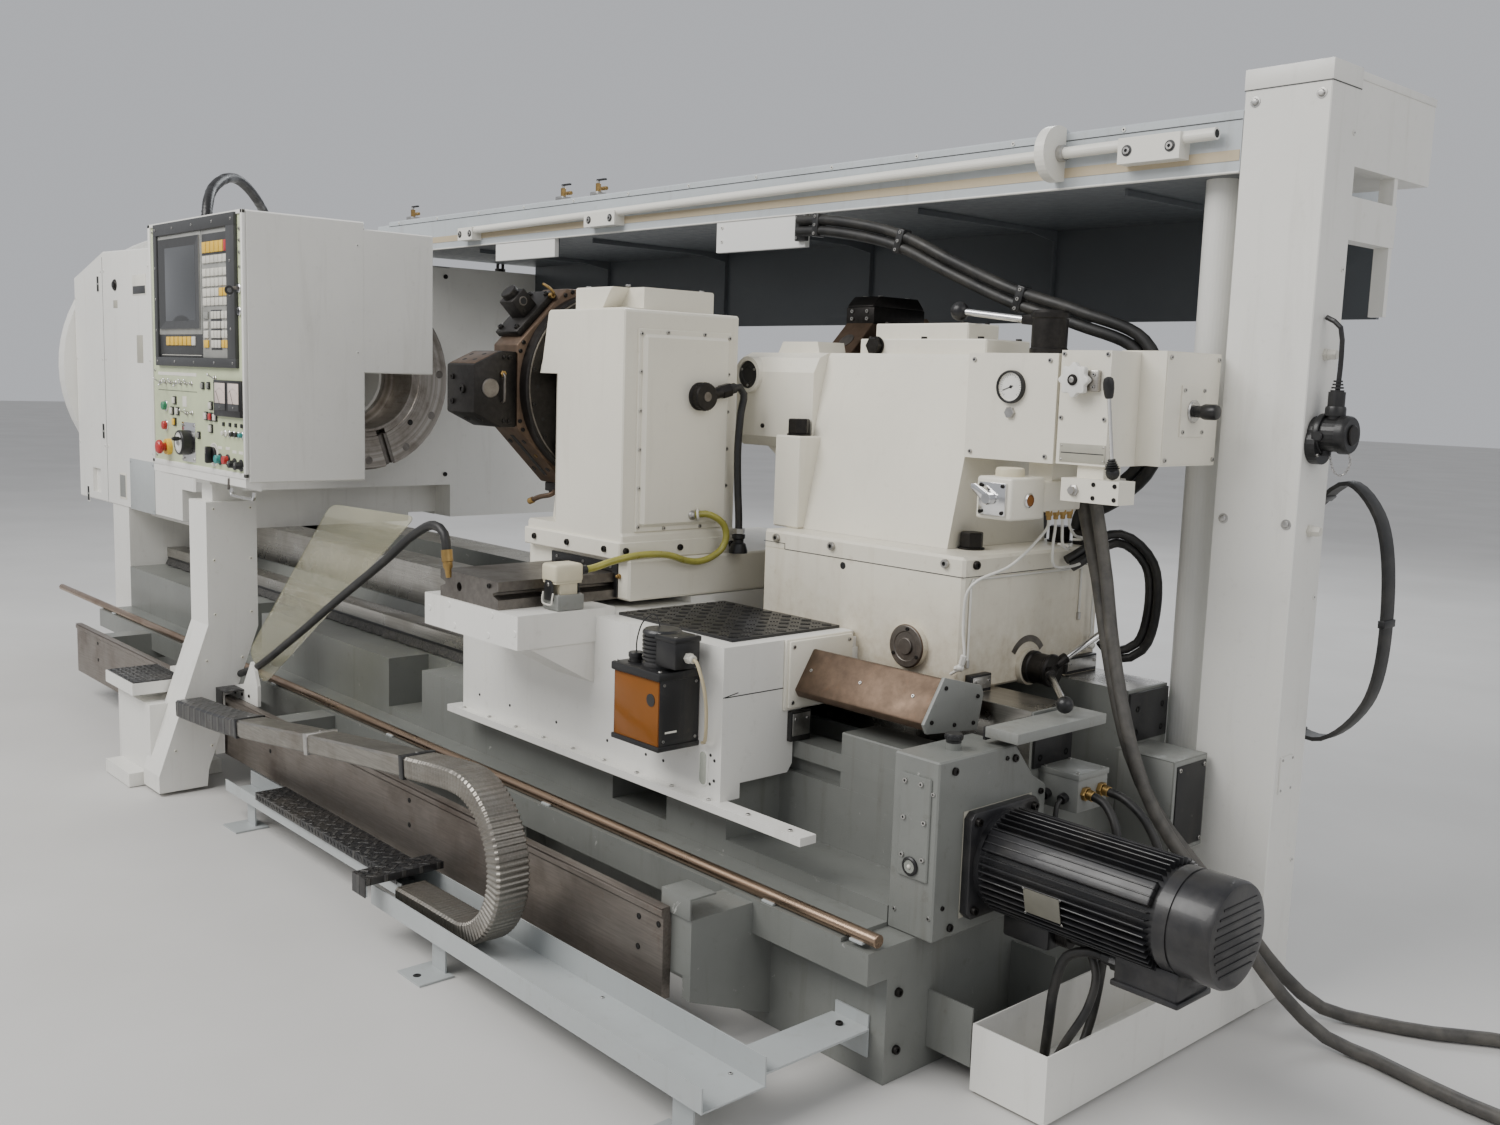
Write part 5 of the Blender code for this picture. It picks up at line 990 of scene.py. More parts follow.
gbx.lathe([(0.0142, 0), (0.0142, 0.004), (0.0165, 0.006), (0.0165, 0.014), (0.0150, 0.017), (0, 0.0175)], (1.955, -0.45, 0.6060), (0, 0, 1), BLKPL, 30, close=False)
for k in range(16):
    a = math.tau * k / 16
    gbx.rod((1.955 + 0.0165 * math.cos(a), -0.45 + 0.0165 * math.sin(a), 0.613), (1.955 + 0.0165 * math.cos(a), -0.45 + 0.0165 * math.sin(a), 0.6195), 0.0012, BLKPL, 6)
gbx.cap((1.9660, -0.585, 0.169), (1, 0, 0), 0.0085, 0.007, BLACKOX)
gbx.cap((1.9660, -0.585, 0.060), (1, 0, 0), 0.0085, 0.007, BLACKOX)
gbx.done(30)

# junction box behind the motor, its glands and leads
jb = Group("junction_box", "frame")
jb.box(1.9665, 2.0585, -0.1990, -0.100, 0.4480, 0.5200, GREY_LT, 0.004)
jb.box(1.9650, 2.0600, -0.2005, -0.0985, 0.5120, 0.5240, GREY_LT, 0.002)
for x in (1.975, 2.05):
    for y in (-0.190, -0.109):
        jb.cap((x, y, 0.524), (0, 0, 1), 0.0036, 0.0015)
for y in (-0.178, -0.126):
    jb.rod((2.0580, y, 0.486), (2.068, y, 0.486), 0.0140, BRASS, 6)
    jb.rod((2.068, y, 0.486), (2.080, y, 0.484), 0.0105, BRASS, 24)
jb.rod((1.99, -0.1985, 0.475), (1.99, -0.212, 0.472), 0.010, BLKPL, 20)
jb.rod((2.03, -0.1985, 0.475), (2.03, -0.212, 0.472), 0.010, BLKPL, 20)
jb.done(30)

# light grey coolant housing on the end of the bed, its right face covered by a black plate as painted shade
eh = Group("end_housing", "frame")
eh.box(1.9665, 2.1000, 0.072, 0.200, 0.318, 0.515, GREY_LT, 0.006)
eh.box(1.9665, 2.0420, -0.3750, -0.0930, 0.6065, 0.6270, GREY_LT, 0.002)
eh.prism([(-0.372, 0.600), (-0.100, 0.600), (-0.100, 0.6250), (-0.372, 0.6250)], 'x', 1.960, 1.9664, BLACKP, 0.0008)
# black plate over the housing's right face: painted shade
eh.box(2.0998, 2.1030, 0.082, 0.190, 0.330, 0.503, BLACKP, 0.001)
for y in (0.090, 0.182):
    for z in (0.338, 0.495):
        eh.cap((2.1030, y, z), (1, 0, 0), 0.0045, 0.0025)
eh.done(30)

# --------------------------------------------------- motor and sensor cables
def cable(name, pts, r, mat, body, length=None, body2=None, swap=(), span=None):
    P = [tuple(q) for q in smooth_path(pts, max(0.012, r * 1.6))]
    cu = bpy.data.curves.new(name, 'CURVE')
    cu.dimensions = '3D'
    cu.bevel_depth = r
    cu.bevel_resolution = 4
    cu.use_fill_caps = True
    sp = cu.splines.new('POLY')
    sp.points.add(len(P) - 1)
    for a, q in zip(sp.points, P):
        a.co = (q[0], q[1], q[2], 1)
    sp.use_smooth = True
    cu.materials.append(mat)
    ob = bpy.data.objects.new(name, cu)
    bpy.context.scene.collection.objects.link(ob)
    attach(ob, body)
    if swap:
        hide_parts(*swap)
    L = sum((V(a) - V(b_)).length for a, b_ in zip(P, P[1:]))
    return ob


cable("motor_power_cable", [(2.262, MY - 0.020, 0.287), (2.235, MY - 0.022, 0.286), (2.190, MY - 0.026, 0.262), (2.172, MY - 0.030, 0.200), (2.168, MY - 0.034, 0.130), (2.160, MY - 0.030, 0.060),
                            (2.150, -0.39, 0.022), (2.135, -0.34, 0.0155)], 0.0090, RUBBER, "frame")
cable("motor_sensor_cable", [(2.185, MY - 0.004, 0.288), (2.215, MY - 0.004, 0.285), (2.243, MY - 0.012, 0.245), (2.243, MY - 0.03, 0.190), (2.215, MY - 0.05, 0.120), (2.185, -0.43, 0.055),
                             (2.160, -0.44, 0.022), (2.120, -0.43, 0.0150)], 0.0075, RUBBER, "frame")
cable("junction_conduit_a", [(2.080, -0.178, 0.484), (2.105, -0.180, 0.478), (2.140, -0.190, 0.440), (2.150, -0.200, 0.360), (2.150, -0.215, 0.220), (2.150, -0.240, 0.100), (2.150, -0.280, 0.0205)], 0.0085, RUBBER, "frame")
cable("junction_conduit_b", [(2.080, -0.126, 0.484), (2.110, -0.126, 0.480), (2.160, -0.126, 0.450), (2.200, -0.124, 0.380), (2.212, -0.12, 0.250), (2.212, -0.11, 0.110), (2.205, -0.100, 0.0200)], 0.0085, RUBBER, "frame")
cable("junction_lead_a", [(1.99, -0.212, 0.472), (1.990, -0.222, 0.466), (1.992, -0.232, 0.430), (2.000, -0.238, 0.380), (2.020, -0.246, 0.340), (2.035, -0.280, 0.312)], 0.0050, RUBBER, "frame")
cable("junction_lead_b", [(2.03, -0.212, 0.472), (2.030, -0.222, 0.466), (2.034, -0.232, 0.430), (2.045, -0.238, 0.380), (2.060, -0.250, 0.340), (2.075, -0.282, 0.318)], 0.0050, RUBBER, "frame")

# --------------------------------------------- control boxes on the tailstock
cb = Group("control_box_trim", "tailstock")
# gauge
GC = V((1.775, -0.1075, 1.252))
cb.lathe([(0.0285, -0.004), (0.0285, 0.0005), (0.0300, 0.0035), (0.0325, 0.0035), (0.0335, 0.001), (0.0335, -0.014), (0.0325, -0.0165)], GC, (0, -1, 0), BLACKP, 56, close=False)
cb.lathe([(0, -0.0038), (0.0284, -0.0038), (0.0284, -0.0028), (0, -0.0028)], GC, (0, -1, 0), DIAL, 48, close=False)
for k in range(26):
    a = math.radians(225 - 10.8 * k)
    d = V((math.cos(a), 0, math.sin(a)))
    n_ = V((-d.z, 0, d.x))
    q = GC + V((0, 0.0026, 0)) + d * (0.0205 if k % 5 == 0 else 0.0225)
    e = GC + V((0, 0.0026, 0)) + d * 0.0255
    cb.sheet([[q - n_ * 0.0004, q + n_ * 0.0004], [e - n_ * 0.0004, e + n_ * 0.0004]], BEZEL)
a = math.radians(200)
d = V((math.cos(a), 0, math.sin(a)))
cb.rod(GC + V((0, 0.0022, 0)) - d * 0.006, GC + V((0, 0.0022, 0)) + d * 0.021, 0.0009, BLKPL, 8, 0)
cb.lathe([(0, 0.0), (0.0035, 0.0), (0.0030, 0.0015), (0, 0.002)], GC + V((0, 0.003, 0)), (0, -1, 0), BLKPL, 20, close=False)
for x, z in ((1.8654, 1.306), (1.8651, 1.116), (1.676, 1.306), (1.676, 1.116)):
    cb.cap((x, -0.0998, z), (0, -1, 0), 0.0048, 0.0035)
cb.rod((1.775, -0.0998, 1.200), (1.775, -0.108, 1.200), 0.012, ZINC, 6, 0.001)
# bracket and bush of the star knob
cb.box(1.9480, 1.9838, -0.1105, -0.0975, 1.2477, 1.2886, STEEL, 0.0025)
cb.lathe([(0, 0), (0.019, 0), (0.019, 0.006), (0.0135, 0.009), (0.0112, 0.009), (0, 0.009)], (1.939, -0.0978, 1.269), (0, -1, 0), STEEL, 32, close=False)
cb.cap((1.975, -0.1105, 1.280), (0, -1, 0), 0.0035, 0.0025)
cb.cap((1.975, -0.1105, 1.256), (0, -1, 0), 0.0035, 0.0025)
# bare riveted plate
cb.box(1.8985, 2.0035, -0.0996, -0.0978, 1.1095, 1.1455, LABEL, 0.0005)
for x in (1.903, 1.999):
    for z in (1.114, 1.141):
        cb.ball((x, -0.0996, z), 0.0022, ZINC, 10, axis=(0, -1, 0), sq=0.6)
cb.box(1.9020, 2.0000, -0.0998, -0.0990, 1.1265, 1.1285, BEZEL, 0)
for x, z in ((1.897, 1.319), (1.996, 1.319), (1.897, 1.195), (1.996, 1.195)):
    cb.cap((x, -0.0978, z), (0, -1, 0), 0.0045, 0.0032)
# end cover of the last box
cb.box(2.0590, 2.0618, 0.006, 0.202, 1.110, 1.327, CREAM, 0.0012)
for y, z in ((0.0150, 1.3180), (0.193, 1.318), (0.015, 1.119), (0.193, 1.119)):
    cb.cap((2.0618, y, z), (1, 0, 0), 0.0046, 0.0034)
for y, z in ((0.069, 1.256), (0.141, 1.256), (0.069, 1.174), (0.141, 1.174)):
    cb.cap((2.0643, y, z), (1, 0, 0), 0.0042, 0.0030)
cb.lathe([(0.0166, 0), (0.0230, 0), (0.0230, 0.002), (0.0205, 0.0045), (0.0166, 0.0045)], (2.0643, 0.105, 1.215), (1, 0, 0), ZINC, 36)
# hand valve under the box: body, black screws, bellows and rod guide
cb.box(1.926, 1.990, -0.1245, -0.0705, 1.036, 1.0795, CREAMPL, 0.004)
cb.box(1.990, 2.0545, -0.1235, -0.0715, 1.0365, 1.0790, GREY_LT, 0.003)
for x, z in ((1.999, 1.071), (2.046, 1.071), (1.999, 1.045), (2.046, 1.045)):
    cb.cap((x, -0.1235, z), (0, -1, 0), 0.0044, 0.0034, BLACKOX)
cb.lathe([(0, 0), (0.012, 0), (0.012, 0.004), (0.008, 0.006), (0.008, 0.012), (0, 0.012)], (1.955, -0.1243, 1.057), (0, -1, 0), ZINC, 6, close=False)
for x in (1.835, 1.868):
    cb.lathe([(0.0150, 0), (0.0195, 0), (0.0195, 0.013), (0.0165, 0.015), (0.0140, 0.024), (0.0140, 0.030)], (x, 0.075, 1.1062), (0, 0, -1), ZINC, 6, close=True)
    cb.rod((x, 0.075, 1.0915), (x, 0.075, 1.0800), 0.0152, ZINC, 28)
cb.rod((1.99, -0.02, 1.0800), (1.99, -0.02, 1.060), 0.011, ZINC, 6)
cb.done(30)

sk = Group("star_knob_wheel", "star_knob")
SO = V((1.939, -0.1210, 1.269))
n8 = 96
prof = []
for i in range(n8):
    t = math.tau * i / n8
    r = 0.0308 + 0.0034 * math.cos(8 * t)
    prof.append((SO.x + r * math.cos(t), SO.z + r * math.sin(t)))
sk.prism(prof, 'y', SO.y - 0.0068, SO.y + 0.0068, WHITE, 0.0018)
sk.rod((SO.x, -0.0985, SO.z), (SO.x, -0.1150, SO.z), 0.0108, STEEL, 28)
sk.lathe([(0, 0), (0.0108, 0), (0.0108, 0.0030), (0.0092, 0.0045), (0, 0.0048)], (SO.x, -0.1275, SO.z), (0, -1, 0), BLACKOX, 24, close=False)
sk.cap((SO.x, -0.1320, SO.z), (0, -1, 0), 0.0055, 0.0012, ZINC, False)
sk.done(30, "star_knob")

js = Group("joystick_lever", "joystick")
b0, b1_, b2_ = V((2.022, -0.1000, 1.100)), V((2.022, -0.1270, 1.240)), V((2.022, -0.1330, 1.275))
js.ball((2.022, -0.098, 1.0942), 0.0134, RUBBER, 24)
dd = (b1_ - b0).normalized()
for k in range(5):
    r = 0.0148 - 0.0017 * k
    js.lathe([(r * 0.72, 0), (r, 0.0022), (r * 0.72, 0.0044)], b0 + dd * (0.0005 + 0.0042 * k), dd, RUBBER, 28)
js.tube([b0, b1_], 0.0040, CHROME, 16, smooth=False)
js.lathe([(0, 0), (0.0068, 0), (0.0085, 0.004), (0.0106, 0.018), (0.0106, 0.030), (0.0085, 0.0375), (0.0040, 0.0405), (0, 0.041)], b1_ - dd * 0.004, b2_ - b1_, BLKPL, 28, close=False)
js.done(34, "joystick")

pk = Group("push_knob_button", "push_knob")
pk.lathe([(0, 0), (0.0118, 0), (0.0118, 0.018), (0.0135, 0.021), (0.0155, 0.026), (0.0155, 0.048), (0.0135, 0.0528), (0.0080, 0.0540), (0, 0.0540)], (2.0640, 0.105, 1.215), (1, 0, 0), BLKPL, 40, close=False)
pk.done(30, "push_knob")

# lubricator with its chrome face plate, cap and brass unions
lu = Group("lubricator_body", "tailstock")
lu.box(1.777, 1.864, -0.200, -0.0900, 0.990, 1.0748, CREAM, 0.006, 3)
lu.lathe([(0, 0), (0.0290, 0), (0.0290, 0.012), (0.0275, 0.0165), (0.024, 0.0180), (0, 0.0185)], (1.820, -0.150, 1.0744), (0, 0, 1), CREAMPL, 44, close=False)
lu.box(1.785, 1.860, -0.100, 0.040, 1.005, 1.0650, CREAM, 0.003)
lu.box(1.790, 1.850, -0.050, 0.040, 1.000, 1.1025, CREAM, 0.002)
lu.box(1.788, 1.853, -0.2060, -0.1995, 0.999, 1.064, CHROME, 0.0012)
for x in (1.794, 1.847):
    for z in (1.005, 1.058):
        lu.cap((x, -0.2060, z), (0, -1, 0), 0.0040, 0.0034, BLACKOX)
lu.lathe([(0, 0), (0.0145, 0), (0.0145, 0.004), (0.0118, 0.006), (0.0118, 0.003), (0, 0.003)], (1.8640, -0.145, 1.030), (1, 0, 0), CHROME, 36, close=False)
lu.lathe([(0, 0.003), (0.0116, 0.003), (0.0116, 0.0042), (0, 0.0042)], (1.8640, -0.145, 1.030), (1, 0, 0), AMBER, 30, close=False)
for k in range(4):
    y = -0.045 + 0.024 * k
    lu.rod((1.8440, y, 1.0052), (1.8440, y, 0.9930), 0.0075, BRASS, 6)
    lu.rod((1.8440, y, 0.9935), (1.8440, y, 0.9850), 0.0052, BRASS, 18)
lu.done(30, "lubricator")
lh = Group("lubricator_lever", "lubricator_handle")
lh.rod((1.820, -0.2066, 1.032), (1.820, -0.2255, 1.032), 0.0118, CHROME, 32, 0.0018)
lh.prism([(1.827, 1.024), (1.829, 1.034), (1.824, 1.043), (1.793, 1.0605), (1.7800, 1.0600), (1.7800, 1.0500), (1.812, 1.0260)], 'y', -0.2238, -0.2172, CHROME, 0.0018)
lh.done(30, "lubricator_handle")
for k, pts in enumerate((
        [(1.8440, -0.045, 0.985), (1.844, -0.046, 0.972), (1.840, -0.080, 0.940), (1.832, -0.150, 0.895), (1.812, -0.225, 0.868), (1.796, -0.2345, 0.845), (1.790, -0.2345, 0.768), (1.797, -0.236, 0.712), (1.790, -0.238, 0.690), (1.7650, -0.236, 0.672)],
        [(1.8440, -0.021, 0.985), (1.844, -0.020, 0.970), (1.842, -0.022, 0.930), (1.838, -0.010, 0.889), (1.830, 0.060, 0.880), (1.812, 0.150, 0.880), (1.802, 0.196, 0.860), (1.797, 0.202, 0.776), (1.796, 0.206, 0.720), (1.800, 0.205, 0.6900)],
        [(1.8440, 0.003, 0.985), (1.844, 0.004, 0.968), (1.842, 0.012, 0.930), (1.832, 0.045, 0.918), (1.812, 0.076, 0.9205), (1.790, 0.085, 0.9210), (1.7790, 0.086, 0.9210)],
        [(1.8440, 0.027, 0.985), (1.844, 0.028, 0.972), (1.842, 0.050, 0.950), (1.825, 0.105, 0.938), (1.800, 0.135, 0.930), (1.7790, 0.140, 0.928)])):
    cable("oil_tube_%d" % (k + 1), pts, 0.0030, WHITETUBE, "tailstock")


# ------------------------------------------------------------- front turret
DY, RD = -0.280, 0.265
td = Group("turret_disc_body", "turret")
oct_ = [(DY + RD * math.cos(math.radians(22.5 + 45 * k)), SPZ + RD * math.sin(math.radians(22.5 + 45 * k))) for k in range(8)]
td.prism(oct_, 'x', 0.490, 0.600, BROWNST, 0.004)
td.lathe([(0, 0.595), (0.2385, 0.595), (0.2385, 0.6285), (0.2350, 0.6320), (0, 0.6320)], (0, DY, SPZ), (1, 0, 0), BLACKOX, 96, close=False)
td.lathe([(0.228, 0.6318), (0.2285, 0.6330), (0.2315, 0.6330), (0.232, 0.6318)], (0, DY, SPZ), (1, 0, 0), STEEL_D, 96)
for k in range(16):
    a = math.radians(11.25 + 22.5 * k)
    td.cap((0.6318, DY + 0.2205 * math.cos(a), SPZ + 0.2205 * math.sin(a)), (1, 0, 0), 0.0062, 0.0035, BLACKOX)
    a = math.radians(22.5 * k)
    td.rod((0.6310, DY + 0.206 * math.cos(a), SPZ + 0.206 * math.sin(a)), (0.6326, DY + 0.206 * math.cos(a), SPZ + 0.206 * math.sin(a)), 0.0042, RECESS_SHADE, 14, 0)
for k in range(8):
    am = math.radians(45 * k)
    er, et = V((0, math.cos(am), math.sin(am))), V((0, -math.sin(am), math.cos(am)))
    c = V((0, DY, SPZ))
    rf = RD * math.cos(math.pi / 8)
    for t in (-0.084, 0.084):
        td.cap(V((0.600, 0, 0)) + c + er * (rf - 0.008) + et * t * 1.02, (1, 0, 0), 0.0052, 0.004, BLACKOX)
    # key slot, coolant port and clamping holes in each flat
    mw = Matrix.Translation(c) @ Matrix((et, V((1, 0, 0)), er)).transposed().to_4x4()
    if k not in (3, 4):
        td.box(-0.072, 0.072, 0.537, 0.553, rf - 0.0005, rf + 0.0010, RECESS_SHADE, 0.0003, 1, mw=mw)
        for u in (-0.050, 0.050):
            for x in (0.515, 0.577):
                td.rod(c + er * rf + et * u + V((x, 0, 0)), c + er * (rf + 0.0012) + et * u + V((x, 0, 0)), 0.0070, RECESS_SHADE, 20, 0)
        td.rod(c + er * rf + V((0.577, 0, 0)), c + er * (rf + 0.0016) + V((0.577, 0, 0)), 0.0055, BRASS, 16, 0)
td.done(30, "turret_disc")

hy = DY - RD * math.cos(math.pi / 8) - 0.0003
tl = Group("tool_holder_body", "turret")
tl.prism([(hy, 1.300), (hy, 1.115), (hy - 0.045, 1.115), (-0.645, 1.150), (-0.645, 1.265), (hy - 0.045, 1.300)], 'x', 0.470, 0.598, BLACKOX, 0.004)
# browned wear face on the sloping top with three oval holes
nn_ = V((0, -0.035, 0.0749)).normalized()
tt_ = V((0, -0.0749, -0.035)).normalized()
tc = V((0.534, (hy - 0.045 - 0.645) / 2, 1.2825))
mw = Matrix.Translation(tc) @ Matrix((V((1, 0, 0)), tt_, nn_)).transposed().to_4x4()
tl.box(-0.0585, 0.0585, -0.0360, 0.0360, -0.002, 0.0012, BROWNST, 0.0008, mw=mw)
for u, v, ra, rb in ((-0.020, 0.014, 0.0085, 0.0055), (0.028, 0.014, 0.0085, 0.0055), (0.022, -0.018, 0.0085, 0.0055), (-0.034, -0.016, 0.0060, 0.0060)):
    sc = mw @ Matrix.Translation((u, v, 0.0010)) @ Matrix.Diagonal((ra, rb, 1, 1))
    bm = bmesh.new()
    bmesh.ops.create_circle(bm, cap_ends=True, radius=1.0, segments=24)
    for v_ in bm.verts:
        v_.co.z += 0.0004
    tl.push(bm, RECESS_SHADE, sc)
tl.cap((0.549, -0.6448, 1.2057), (0, -1, 0), 0.0110, 0.007, BLACKOX)
tl.cap((0.500, -0.6448, 1.235), (0, -1, 0), 0.0070, 0.005, BLACKOX)
tl.cap((0.500, -0.6448, 1.175), (0, -1, 0), 0.0070, 0.005, BLACKOX)
tl.lathe([(0.0165, 0), (0.0235, 0), (0.0235, 0.003), (0.0215, 0.005), (0.0165, 0.005)], (0.598, -0.600, 1.210), (1, 0, 0), STEEL_D, 36)
tl.lathe([(0, 0.0004), (0.0168, 0.0004), (0.0168, 0.0016), (0, 0.0016)], (0.598, -0.600, 1.210), (1, 0, 0), RECESS_SHADE, 28, close=False)
nb = V((0, -0.035, -0.0749)).normalized()
bc = V((0.534, (hy - 0.045 - 0.645) / 2, 1.1325))
tb2 = V((0, -0.0749, 0.035)).normalized()
for x in (-0.030, 0.026):
    tl.rod(bc + V((x, 0, 0)), bc + V((x, 0, 0)) + nb * 0.0016, 0.0085, RECESS_SHADE, 20, 0)
for y in (-0.545, -0.560):
    for z in (1.13, 1.285):
        tl.cap((0.5978, y, z), (1, 0, 0), 0.0055, 0.004, BLACKOX)
tl.rod((0.598, -0.565, 1.245), (0.604, -0.565, 1.245), 0.0080, BRASS, 6)
tl.tube([(0.602, -0.565, 1.245), (0.6085, -0.5655, 1.240), (0.6090, -0.566, 1.225), (0.6090, -0.566, 1.195), (0.6070, -0.566, 1.180), (0.598, -0.566, 1.176)], 0.0032, STEEL_D, 12, step=0.006)
tl.done(30, "tool_holder")

a = math.radians(135)
er, et = V((0, math.cos(a), math.sin(a))), V((0, -math.sin(a), math.cos(a)))
hm = Matrix.Translation(V((0.535, DY, SPZ))) @ Matrix((er, et, V((1, 0, 0)))).transposed().to_4x4()
rf = RD * math.cos(math.pi / 8)
bo = Group("boring_holder_body", "turret")
bo.box(rf + 0.0003, rf + 0.018, -0.075, 0.075, -0.050, 0.050, BLACKOX, 0.003, mw=hm)
for t in (-0.060, 0.060):
    for x in (-0.036, 0.036):
        bo.cap(hm @ V((rf + 0.018, t, x)), er, 0.0070, 0.007, BLACKOX)
bo.box(rf + 0.010, rf + 0.070, -0.025, 0.025, -0.030, 0.030, BLACKOX, 0.003, mw=hm)
bo.rod(hm @ V((rf + 0.068, 0, 0)), hm @ V((rf + 0.085, 0, 0)), 0.0215, BLACKOX, 36, 0.002)
bo.rod(hm @ V((rf + 0.050, 0, 0.0295)), hm @ V((rf + 0.050, 0, 0.0325)), 0.0115, STEEL_D, 28)
bo.rod(hm @ V((rf + 0.050, 0, 0.0320)), hm @ V((rf + 0.050, 0, 0.0330)), 0.0085, RECESS_SHADE, 24, 0)
bo.cap(hm @ V((rf + 0.030, 0.012, 0.0298)), (1, 0, 0), 0.0045, 0.003, BLACKOX)
bo.rod(hm @ V((rf + 0.014, -0.060, 0.048)), hm @ V((rf + 0.014, -0.060, 0.062)), 0.0075, BRASS, 6)
bo.tube([hm @ V((rf + 0.014, -0.060, 0.060)), hm @ V((rf + 0.020, -0.062, 0.068)), hm @ V((rf + 0.036, -0.062, 0.066)), hm @ V((rf + 0.050, -0.062, 0.052))], 0.0036, BRASS, 12, step=0.006)
bo.done(30, "boring_holder")

cn = Group("coolant_nozzle_body", "turret")
cn.box(0.500, 0.590, DY - 0.095, DY + 0.020, SPZ - rf - 0.024, SPZ - rf - 0.0006, BLACKOX, 0.003)
for x in (0.512, 0.578):
    for y in (DY - 0.084, DY + 0.008):
        cn.cap((x, y, SPZ - rf - 0.0238), (0, 0, -1), 0.005, 0.004, BLACKOX)
cn.tube([(0.545, DY - 0.080, SPZ - 0.258), (0.540, DY - 0.100, SPZ - 0.275), (0.500, DY - 0.110, SPZ - 0.285), (0.465, DY - 0.120, SPZ - 0.300)], 0.0066, BROWNST, 16, step=0.006)
cn.rod((0.480, DY - 0.1155, SPZ - 0.2935), (0.4665, DY - 0.1195, SPZ - 0.2992), 0.0085, BRASS, 24)
cn.box(0.5895, 0.5925, DY - 0.070, DY - 0.002, SPZ - rf - 0.022, SPZ - rf + 0.012, STEEL_D, 0.0008)
cn.done(30, "coolant_nozzle")

# --------------------------------------------- turret housing and its socket
hg = Group("housing_trim", "cross_slide")
for y in (-0.4555, -0.1925):
    for z in (1.345, 1.260, 1.1714, 1.083, 0.9947, 0.905):
        hg.cap((1.0053, y, z), (1, 0, 0), 0.0048, 0.0032)
for y in (-0.38, -0.27):
    for z in (1.3505, 0.8995):
        hg.cap((1.0053, y, z), (1, 0, 0), 0.0048, 0.0032)
for x in (0.775, 0.93):
    for y in (-0.44, -0.22):
        hg.cap((x, y, 1.4528), (0, 0, 1), 0.0062, 0.004)
for x in (0.66, 0.80, 0.95):
    hg.cap((x, -0.5078, 0.852), (0, -1, 0), 0.0075, 0.006, BLACKOX)
for y in (-0.49, -0.33, -0.17):
    hg.cap((1.0058, y, 0.852), (1, 0, 0), 0.0075, 0.006, BLACKOX)
# eye bolt boss, grease nipples and the way wiper of the cross slide
hg.rod((0.852, -0.33, 1.4525), (0.852, -0.33, 1.4580), 0.020, STEEL_D, 32)
hg.rod((0.98, -0.4848, 0.79), (0.98, -0.492, 0.79), 0.006, BRASS, 12)
hg.ball((0.98, -0.4935, 0.79), 0.0040, BRASS, 12)
hg.box(0.7060, 0.9740, -0.4895, -0.4845, 0.7990, 0.8200, BLACKP, 0.001)
hg.box(0.7060, 0.7240, -0.4895, -0.4845, 0.7400, 0.8000, BLACKP, 0.001)
hg.box(0.9560, 0.9740, -0.4895, -0.4845, 0.7400, 0.8000, BLACKP, 0.001)
for x in (0.73, 0.84, 0.95):
    hg.cap((x, -0.4893, 0.8095), (0, -1, 0), 0.0035, 0.002)
hg.done(30)

so = Group("turret_socket_body", "cross_slide")
sa = V((1.0163, -0.290, 1.207))
so.lathe([(0, 0), (0.0330, 0), (0.0330, 0.0060), (0.0300, 0.0085), (0.0300, 0.0120), (0.0322, 0.0140), (0.0322, 0.0260), (0.0300, 0.0297), (0, 0.0297)], sa, (1, 0, 0), BLACKOX, 48, close=False)
for k in range(28):
    a = math.tau * k / 28
    so.rod(sa + V((0.015, 0.0322 * math.cos(a), 0.0322 * math.sin(a))), sa + V((0.025, 0.0322 * math.cos(a), 0.0322 * math.sin(a))), 0.0014, BLACKOX, 6, 0.0004)
so.lathe([(0, 0.0295), (0.0110, 0.0295), (0.0110, 0.0310), (0, 0.0310)], sa, (1, 0, 0), STEEL_D, 24, close=False)
so.rod((1.030, -0.290, 1.207), (1.036, -0.225, 1.222), 0.0138, BLACKOX, 28)
so.rod((1.0335, -0.240, 1.218), (1.0375, -0.214, 1.2255), 0.0175, BLACKOX, 6, 0.0014)
so.rod((1.0375, -0.214, 1.2255), (1.038, -0.200, 1.229), 0.0125, RUBBER, 24)
so.done(30, "turret_socket")
bt = Group("turret_hose_boot", "cross_slide")
bt.lathe([(0.0095, 0.0), (0.0160, 0.001), (0.0160, 0.010), (0.0125, 0.013), (0.0125, 0.020), (0.0180, 0.024), (0.0225, 0.040), (0.0225, 0.046), (0.0095, 0.046)], (1.036, -0.1715, 0.8785), (0, 0, -1), BLKPL, 32)
bt.lathe([(0.0095, 0.0), (0.0150, 0.0), (0.0150, 0.012), (0.0095, 0.012)], (1.036, -0.1715, 0.8920), (0, 0, -1), ZINC, 6)
bt.done(30)
cable("turret_power_hose", [(1.038, -0.200, 1.229), (1.039, -0.186, 1.231), (1.041, -0.173, 1.215), (1.040, -0.180, 1.170), (1.038, -0.1845, 1.080), (1.036, -0.178, 0.980), (1.036, -0.1725, 0.915), (1.036, -0.1715, 0.8350)], 0.0090, RUBBER, "cross_slide")

